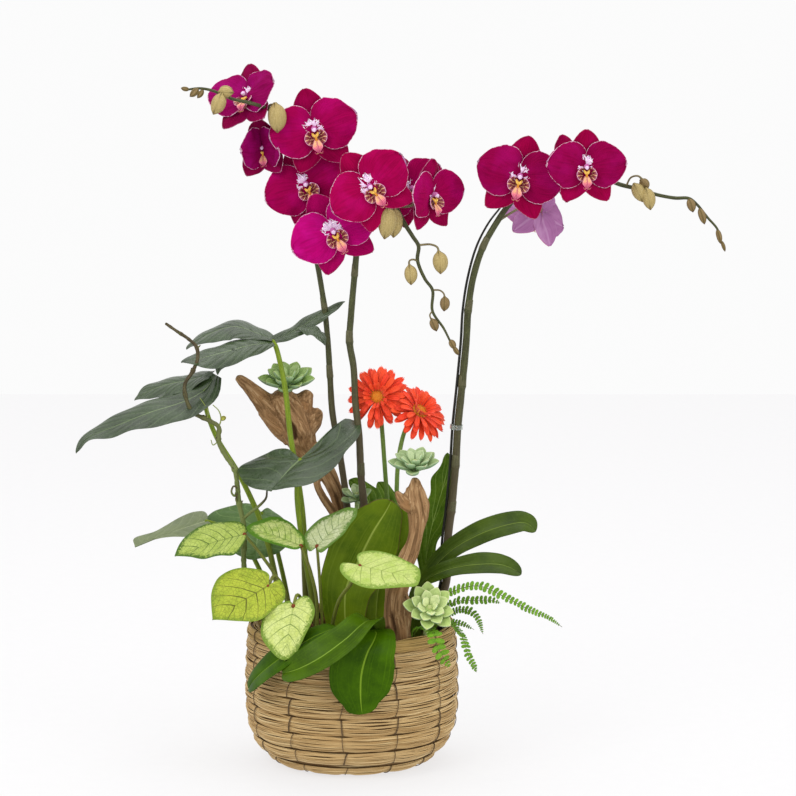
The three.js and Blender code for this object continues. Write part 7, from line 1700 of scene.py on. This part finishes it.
lip_mats += [lip_finish("lip_side_lobe", "#740b30", "#d9ad7c", "#dd9cc0", count=5.0), rough_finish("lip_callus", ["#c4691c", "#e6a53a", "#f0cd6a"], 1.2, 0.4, 0.4), mid_lobe_finish(), stem_finish("flower_stalk_end", "#8a6f63", "#6d4f4a", "#b39a86")]
which = {"bloom_left_1": "plum", "bloom_left_2": "plum", "bloom_left_5": "magenta", "bloom_centre_1": "rose", "bloom_right_1": "wine", "bloom_right_2": "wine", "bloom_right_3": "magenta"}
for name, s in PIECES["blooms"].items():
    front, sep = kinds[which.get(name, "crimson")]
    bloom(name, s, [front, sep, rear, lip_mats[0], lip_mats[1], lip_mats[2], lip_mats[3], lip_mats[4], lip_mats[5]])

# orchid strap leaves
strap_top = leaf_finish("orchid_leaf_top", "#426004", "#304a02", "#5d8210", "#86a43c", rough=0.36, spec=0.10, parallel=True, vein=0.35, rib_width=0.05, bump=0.2)
strap_light = leaf_finish("orchid_leaf_light", "#667e10", "#4c6608", "#869c2c", "#a4b650", rough=0.36, spec=0.10, parallel=True, vein=0.4, rib_width=0.05, edge="#5c3a2a", bump=0.2)
strap_deep = leaf_finish("orchid_leaf_deep", "#3c5e02", "#2a4801", "#557c0a", "#7c9c2a", rough=0.36, spec=0.06, parallel=True, vein=0.3, rib_width=0.045, bump=0.2)
strap_dark = leaf_finish("orchid_leaf_dark", "#3e520c", "#2b3e05", "#5f762c", "#788c3e", rough=0.36, spec=0.16, parallel=True, vein=0.4, rib_width=0.05, bump=0.2)
strap_under = leaf_finish("orchid_leaf_under", "#4f6c14", "#3c580c", "#6c882c", "#7c9640", rough=0.45, spec=0.15, parallel=True, vein=0.3, bump=0.2)
tops = {"orchid_leaf_back": strap_light, "orchid_leaf_back_right": strap_light, "orchid_leaf_front": strap_deep, "orchid_leaf_left_lower": strap_deep, "orchid_leaf_right_upper": strap_dark, "orchid_leaf_right_lower": strap_dark}
for name, s in PIECES["straps"].items():
    b, rng = Build(), rng_of(name)
    blade(b, s, 70, 21, 2.4, tip=0.15, number=1.0, wave=0.9, dish=0.10, rng=rng, rib_dent=0.7)
    b.piece(name, [tops.get(name, strap_top), strap_under], name, "orchid_leaf")

# gerbera leaves: lobed, softly hairy blades on a long foot
ger_top = leaf_finish("gerbera_leaf_top", "#5c7a16", "#42620c", "#7f9c38", "#a0b860", rough=0.5, spec=0.15, lateral=6.0, vein=0.5, bump=0.5)
ger_under = leaf_finish("gerbera_leaf_under", "#7f9c56", "#66853f", "#a0b87a", "#b3c68e", rough=0.6, lateral=6.0, vein=0.5, bump=0.4)
for name, s in PIECES["lobed_straps"].items():
    b, rng = Build(), rng_of(name)
    blade(b, s, 64, 17, 1.2, tip=0.3, number=2.0, wave=2.2, lobes=0.20, lobe_count=5.0, rng=rng, rib_dent=0.5)
    b.piece(name, [ger_top, ger_under], name, "gerbera_leaf")

# dark glossy foliage
phil_top = leaf_finish("philodendron_top", "#334526", "#24331a", "#4c5f3c", "#74875a", rough=0.30, spec=0.68, lateral=8.0, vein=0.35, rib_width=0.04, bump=0.35)
phil_under = leaf_finish("philodendron_under", "#5d7048", "#46593a", "#7b8d64", "#9aab78", rough=0.5, lateral=8.0, vein=0.35, rib_width=0.05, bump=0.3)
phil_soft = leaf_finish("philodendron_soft", "#6f7a52", "#586640", "#909a76", "#a9b288", rough=0.42, spec=0.6, lateral=8.0, vein=0.3, bump=0.3)
phil_mid = leaf_finish("philodendron_mid", "#56763a", "#40602a", "#7a9a58", "#9ab672", rough=0.42, lateral=7.0, vein=0.35, bump=0.3)
stalk_green = stem_finish("leaf_stalk_green", "#7c9020", "#627a18", "#a0b24a", rough=0.4, base="#5f5a2c", base_at=(0.0, 0.4))
for name, s in PIECES["lobed_leaves"].items():
    b, rng = Build(), rng_of(name)
    tube(b, s["stalk"], 10, 3.0, 2)
    for j, lobe in enumerate(s["lobes"]):
        blade(b, lobe, 46, 17, 1.3, tip=0.8, number=float(j), wave=1.6, dish=0.35, rng=rng, rib_dent=0.8)
    b.piece(name, [phil_top, phil_under, stalk_green], name, "philodendron_leaf")
cal_stalk = stem_finish("caladium_stalk", "#76862e", "#5e5a2a", "#9aa454", rough=0.42, streak=1.6)
cal = {
    "caladium_leaf_left": caladium_finish("caladium_left", "#b4c466", "#4a6a20", "#3f5a20", spread=0.40, ground2="#9cb04c"),
    "caladium_leaf_mid": caladium_finish("caladium_mid", "#c6cf86", "#4f7a1c", "#4a6c22", spread=0.75, ground2="#8fae3c"),
    "caladium_leaf_upper": caladium_finish("caladium_upper", "#c3c9a0", "#5c7c30", "#5f7840", spread=0.58, ground2="#acb87c"),
    "caladium_leaf_low_left": caladium_finish("caladium_low_left", "#aebb3c", "#7d952a", "#4c4c1a", spread=0.30, ground2="#96a830"),
    "caladium_leaf_low_mid": caladium_finish("caladium_low_mid", "#ccd688", "#6a8628", "#748a40", spread=0.45, ground2="#b8c664"),
    "caladium_leaf_right": caladium_finish("caladium_right", "#c4d080", "#789636", "#86984c", spread=0.45, ground2="#a9c05a"),
}
cal_under = leaf_finish("caladium_under", "#8fa05a", "#78904a", "#b0bd80", "#6f8040", rough=0.6, lateral=7.0, vein=0.5, bump=0.3)
spot = rough_finish("caladium_eye", ["#5e2a16", "#7c3a20", "#8f5a34"], 0.8, 0.6, 0.3)
for name, s in PIECES["leaves"].items():
    b, rng = Build(), rng_of(name)
    pale = name.startswith("caladium")
    tube(b, s["stalk"], 9, 2.5, 2)
    heart_leaf(b, s, 1.2, number=1.0, rng=rng, wave=0.05 if pale else 0.035)
    if pale:
        top = cal[name]
        up, a = unit(s["n"]), np.asarray(s["a"], float)
        tube(b, [[*(a - up * 1.0), 2.2], [*(a + up * 0.6), 2.7], [*(a + up * 1.2), 1.7]], 12, 0.8, 3)
        mats = [top, cal_under, cal_stalk, spot]
    else:
        mats = [{"philodendron_leaf_low_left": phil_soft, "philodendron_leaf_low_back": phil_mid}.get(name, phil_top), phil_under, stalk_green]
    b.piece(name, mats, name, "caladium_leaf" if pale else "philodendron_leaf")

# gerberas
ger_stem = stem_finish("gerbera_stem_green", "#6f8a3c", "#58722c", "#94aa62", rough=0.55, streak=1.4)


def ray_finish(name, main, deep, light):
    f = Finish(name, spec=0.3, sheen=0.15)
    u, v = f.part("n", 0), f.part("n", 1)
    lines = f.noise(f.joinv(f.mul(u, 0.8), f.mul(v, 3.2), f.mul(f.part("q", 2), 0.1)), 1.5, 2.0, 0.5)
    tone = f.noise(f.joinv(f.mul(f.part("q", 2), 0.37), 0.0, 0.0), 1.0, 1.0, 0.5)
    c = f.mix(f.between(lines, 0.4, 0.65), main, deep)
    c = f.mix(f.between(tone, 0.35, 0.65, 0.0, 0.7), c, light)
    c = f.mix(f.between(u, 0.35, 0.0, 0.0, 0.6), c, deep)
    f.set("base", c)
    f.set("rough", f.between(lines, 0.3, 0.7, 0.45, 0.6))
    f.bump(lines, 0.5, 0.0006)
    return f.m


ray, ray_back = ray_finish("gerbera_ray", "#f43c10", "#cf2a0e", "#fa5a24"), ray_finish("gerbera_ray_back", "#c9482c", "#a83420", "#dc6a48")
floret, eye = rough_finish("gerbera_floret", ["#b0561a", "#dc8a24", "#eeb648"], 0.9, 0.6, 0.5), rough_finish("gerbera_eye", ["#2c1408", "#4a2410", "#6a3a18"], 0.9, 0.7, 0.5)
calyx = stem_finish("gerbera_calyx", "#4c6a30", "#38541f", "#728c4e", rough=0.6)
for name, s in PIECES["gerberas"].items():
    b = Build()
    f = waves(rng_of(name), 5, 1, 4)
    tube(b, s["stem"], 11, 3.0, 0, rough=lambda x, a, r: 0.02 * f(x * 0.1, 2 * np.sin(a)) + 0.025 * np.cos(a * 6))
    b.piece(name + "_stem", [ger_stem], name + "_stem", "gerbera_stem")
    gerbera_head(name + "_head", s, [ray, ray_back, floret, eye, calyx])


def succulent_finish(name, main, deep, light, tip, rough=0.55):
    f = Finish(name, spec=0.35)
    u, q3 = f.part("n", 0), f.part("n", 2)
    bloomy = f.noise(f.vec("q"), 0.25, 4.0, 0.65)
    small = f.noise(f.vec("q"), 2.2, 2.0, 0.6)
    c = f.mix(f.between(q3, 0.25, 0.95), light, main)
    c = f.mix(f.between(bloomy, 0.45, 0.72, 0.0, 0.5), c, deep)
    c = f.mix(f.between(f.e(), 1.0, 0.1, 0.0, 0.45), c, light)
    c = f.mix(f.between(u, 0.95, 1.0, 0.0, 0.35), c, tip)
    f.set("base", c)
    f.set("rough", f.between(bloomy, 0.3, 0.7, rough - 0.08, rough + 0.12))
    f.bump(f.plus(bloomy, f.mul(small, 0.3)), 0.25, 0.0008)
    return f.m


green_leaf = succulent_finish("succulent_jade", "#8aa858", "#6c8c42", "#bdd494", "#a07a58")
grey_leaf = succulent_finish("succulent_grey", "#90a670", "#738c58", "#c2d2a4", "#a88a70")
lime_leaf = succulent_finish("succulent_lime", "#b2c874", "#8fab58", "#dfe8b0", "#b08a60")
succ_under = succulent_finish("succulent_under", "#86a47c", "#6b8a62", "#a6c096", "#a07a58")
succ_core = succulent_finish("succulent_core", "#9ab878", "#7c9a5c", "#bcd28e", "#9a8a58")
for name, s in PIECES["rosettes"].items():
    rosette(name, s, [{"succulent_front": lime_leaf, "succulent_right": grey_leaf, "succulent_small": grey_leaf}.get(name, green_leaf), succ_core, succ_under])

# driftwood, vine, ferns
drift = wood_finish("driftwood_grain")
for name, tubes in PIECES["woods"].items():
    driftwood(name, tubes, [drift])
vine_bark = stem_finish("vine_bark", "#5a5238", "#3a3020", "#7f7858", rough=0.65, streak=0.9, spots=0.5, spot="#2a1f14", base="#6f7a44", base_at=(0.35, 0.75))
vine_green = stem_finish("vine_tendril", "#8f9a4e", "#75823a", "#b4ba78", rough=0.5)
vine_bud = bud_finish("vine_bud", "#b9bd54", "#98a03c", "#d6d684", "#c9c46a")
for name, s in PIECES["vine"].items():
    vine_piece(name, s, [vine_bark, vine_green, vine_bud])
fern_top = leaf_finish("fern_leaflet", "#65931c", "#4a7812", "#8db43c", "#a0c458", rough=0.42, spec=0.15, lateral=4.0, vein=0.3, bump=0.3)
fern_rib = stem_finish("fern_rib", "#5c6a2a", "#47421e", "#84904a", rough=0.5)
for name, s in PIECES["fronds"].items():
    frond(name, s, [fern_top, fern_rib])

# stake and the clear clip that ties the right spike to it
stake_mat = stem_finish("stake_coated_wire", "#23231e", "#151512", "#3c3c34", rough=0.35, streak=0.6)
for name, s in PIECES["stake"].items():
    b = Build()
    tube(b, s["pts"], 10, 3.0, 0)
    b.piece(name, [stake_mat], name, "stake_wire")


def clip_piece(name, s, mats):
    b = Build()
    pa, pb = PIECES["spikes"][s["spike"]]["pts"], PIECES["stake"]["flower_stake"]["pts"]
    a, c = np.asarray(pa[s["at"]], float), np.asarray(pb[s["at"]], float)
    axis = unit(np.asarray(pa[s["at"] + 1][:3], float) - np.asarray(pa[s["at"] - 1][:3], float))
    across = unit((c[:3] - a[:3]) - axis * (c[:3] - a[:3]).dot(axis))
    other = np.cross(axis, across)
    gap = np.linalg.norm(c[:3] - a[:3])
    r1, r2 = a[3] + 0.9, c[3] + 0.9
    path = []
    for k in range(49):  # a band round the spike and the stake, drawn in between them
        t = k / 48 * TAU
        f = (1 - math.cos(t)) / 2
        x = gap * f + (-r1 if f < 0.5 else r2) * abs(math.cos(t)) ** 0.8
        y = math.sin(t) * (r1 * (1 - f) + r2 * f) * 1.12
        path.append(a[:3] + across * x + other * y)
    path = np.array(path)
    rows = []
    for z, inset in ((-2.5, 0.0), (-1.2, 0.0), (1.2, 0.0), (2.5, 0.0)):
        rows.append(path + axis * z)
    g = np.stack(rows)
    slab(b, g, 0.7, 0, 0)
    # two small finger tabs behind
    for sg in (-1, 1):
        u, v = np.linspace(0, 1, 7)[:, None], np.linspace(-1, 1, 5)[None]
        g = a[:3] + across * (gap * 0.45) + across * (sg * (0.6 + 2.2 * u))[..., None] + other * (r1 * 0.9 + 5.0 * u)[..., None] + axis * (v * (2.4 - 0.6 * u))[..., None] + 0 * v[..., None]
        slab(b, g, 0.8, 0, 0)
    return b.piece(name, mats, name, "clip_plastic")


clip_mat = Finish("clip_clear_plastic", rough=0.18, spec=0.5, glass=0.85, ior=1.47)
scuff = clip_mat.noise(clip_mat.vec("q"), 0.9, 3.0, 0.6)
clip_mat.set("base", clip_mat.mix(clip_mat.between(scuff, 0.4, 0.7), "#e8ece6", "#cfd8cf"))
clip_mat.bump(scuff, 0.15, 0.0004)
for name, s in PIECES["clips"].items():
    clip_piece(name, s, [clip_mat.m])

# basket, liner, mix and moss
reeds = ["#9c7d52", "#b59563", "#c9ab78", "#ac8b5a", "#dac08e", "#be9e6d"]
# the second finish, the core's dark brown, is painted shade between the reeds and inside the wall
basket_piece([reed_finish("reed_straw", reeds), reed_finish("reed_core_painted_shade", ["#5a4228", "#755b39", "#6b5233"]), reed_finish("reed_rim", ["#7d6a3e", "#a3874f", "#c2a265", "#94763f"]), stem_finish("stitch_thread", "#6f5b42", "#54432e", "#8c7652", rough=0.7, streak=3.0)])
soil_piece([rough_finish("growing_mix_dark", ["#1d130b", "#35241a", "#4a3423"], 0.25, 0.95, 0.9), rough_finish("bark_chips", ["#3a2313", "#6a4526", "#8f6a42", "#2a1a10"], 0.35, 0.85, 0.8)])
moss_piece([rough_finish("moss_mat", ["#3a3014", "#6d5a22", "#8c7a34"], 0.4, 0.95, 0.9), rough_finish("moss_golden", ["#7a5c1c", "#a8842e", "#c9a552"], 0.6, 0.8, 0.3), rough_finish("moss_green", ["#4c5a1c", "#7c8a34", "#a3ac58"], 0.6, 0.8, 0.3)])
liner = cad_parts["liner"]
black = Finish("liner_black_plastic", spec=0.4)
tc = black.t.nodes.new("ShaderNodeTexCoord")
scratch = black.noise(black.scaled(tc.outputs["Object"], (300.0, 300.0, 40.0)), 1.0, 3.0, 0.6)
black.set("base", black.mix(black.between(scratch, 0.4, 0.7), "#161616", "#2a2a28"))
black.set("rough", black.between(scratch, 0.3, 0.7, 0.35, 0.55))
black.bump(scratch, 0.2, 0.0004)
liner.data.materials.clear()
liner.data.materials.append(black.m)

# ---- stage, light and camera ----------------------------------------------------------------------------------------
def backdrop():
    """A pale flat floor as light as the studio round it, so that it ends without a line on every side."""
    n = 13
    run = np.linspace(-3.0, 3.0, n)
    v = [(x, y, -0.0004) for x in run for y in run]
    faces = [(i * n + k, i * n + n + k, i * n + n + k + 1, i * n + k + 1) for i in range(n - 1) for k in range(n - 1)]
    me = bpy.data.meshes.new("backdrop")
    me.from_pydata(v, [], faces)
    me.polygons.foreach_set("use_smooth", np.ones(len(faces), bool))
    ob = bpy.data.objects.new("backdrop", me)
    bpy.context.scene.collection.objects.link(ob)
    f = Finish("backdrop_paper", rough=0.9, spec=0.1)
    tc = f.t.nodes.new("ShaderNodeTexCoord")
    grain = f.noise(tc.outputs["Object"], 60.0, 3.0, 0.6)
    f.set("base", f.mix(grain, (0.19, 0.19, 0.192), (0.21, 0.21, 0.21)))
    f.set("Emission Color", (1.0, 0.992, 1.0))
    f.set("Emission Strength", 0.715)
    me.materials.append(f.m)
    return ob


backdrop()


def area(name, at, look, size, power, tint=(1, 1, 1)):
    light = bpy.data.lights.new(name, "AREA")
    light.shape, light.size, light.energy, light.color = "SQUARE", size, power, tint
    ob = bpy.data.objects.new(name, light)
    ob.location = at
    ob.rotation_euler = (Vector(look) - Vector(at)).to_track_quat("-Z", "Y").to_euler()
    bpy.context.scene.collection.objects.link(ob)


area("key", (-1.5, -2.0, 2.4), (0, 0, 0.35), 1.6, 30)
area("fill", (2.0, -1.8, 1.5), (0, 0, 0.35), 1.8, 17)
area("top", (0.1, 0.3, 2.6), (0, 0, 0.3), 1.8, 14)
world = bpy.data.worlds.new("studio")
bpy.context.scene.world = world
world.use_nodes = True
world.node_tree.nodes["Background"].inputs[0].default_value = (1, 1, 1, 1)
world.node_tree.nodes["Background"].inputs[1].default_value = 0.97
bpy.context.scene.view_settings.view_transform = "Standard"
bpy.context.scene.view_settings.look = "None"

camera = bpy.data.cameras.new("camera")
camera.sensor_width, camera.sensor_fit, camera.lens = 36.0, "HORIZONTAL", 36.0 * 2857.14 / 796
camera.clip_end = 30
eye_point = bpy.data.objects.new("camera", camera)
eye_point.location = (0.049, -2.97433, 0.77818)
eye_point.rotation_euler = (math.radians(82.5), 0, 0)
bpy.context.scene.collection.objects.link(eye_point)
bpy.context.scene.camera = eye_point
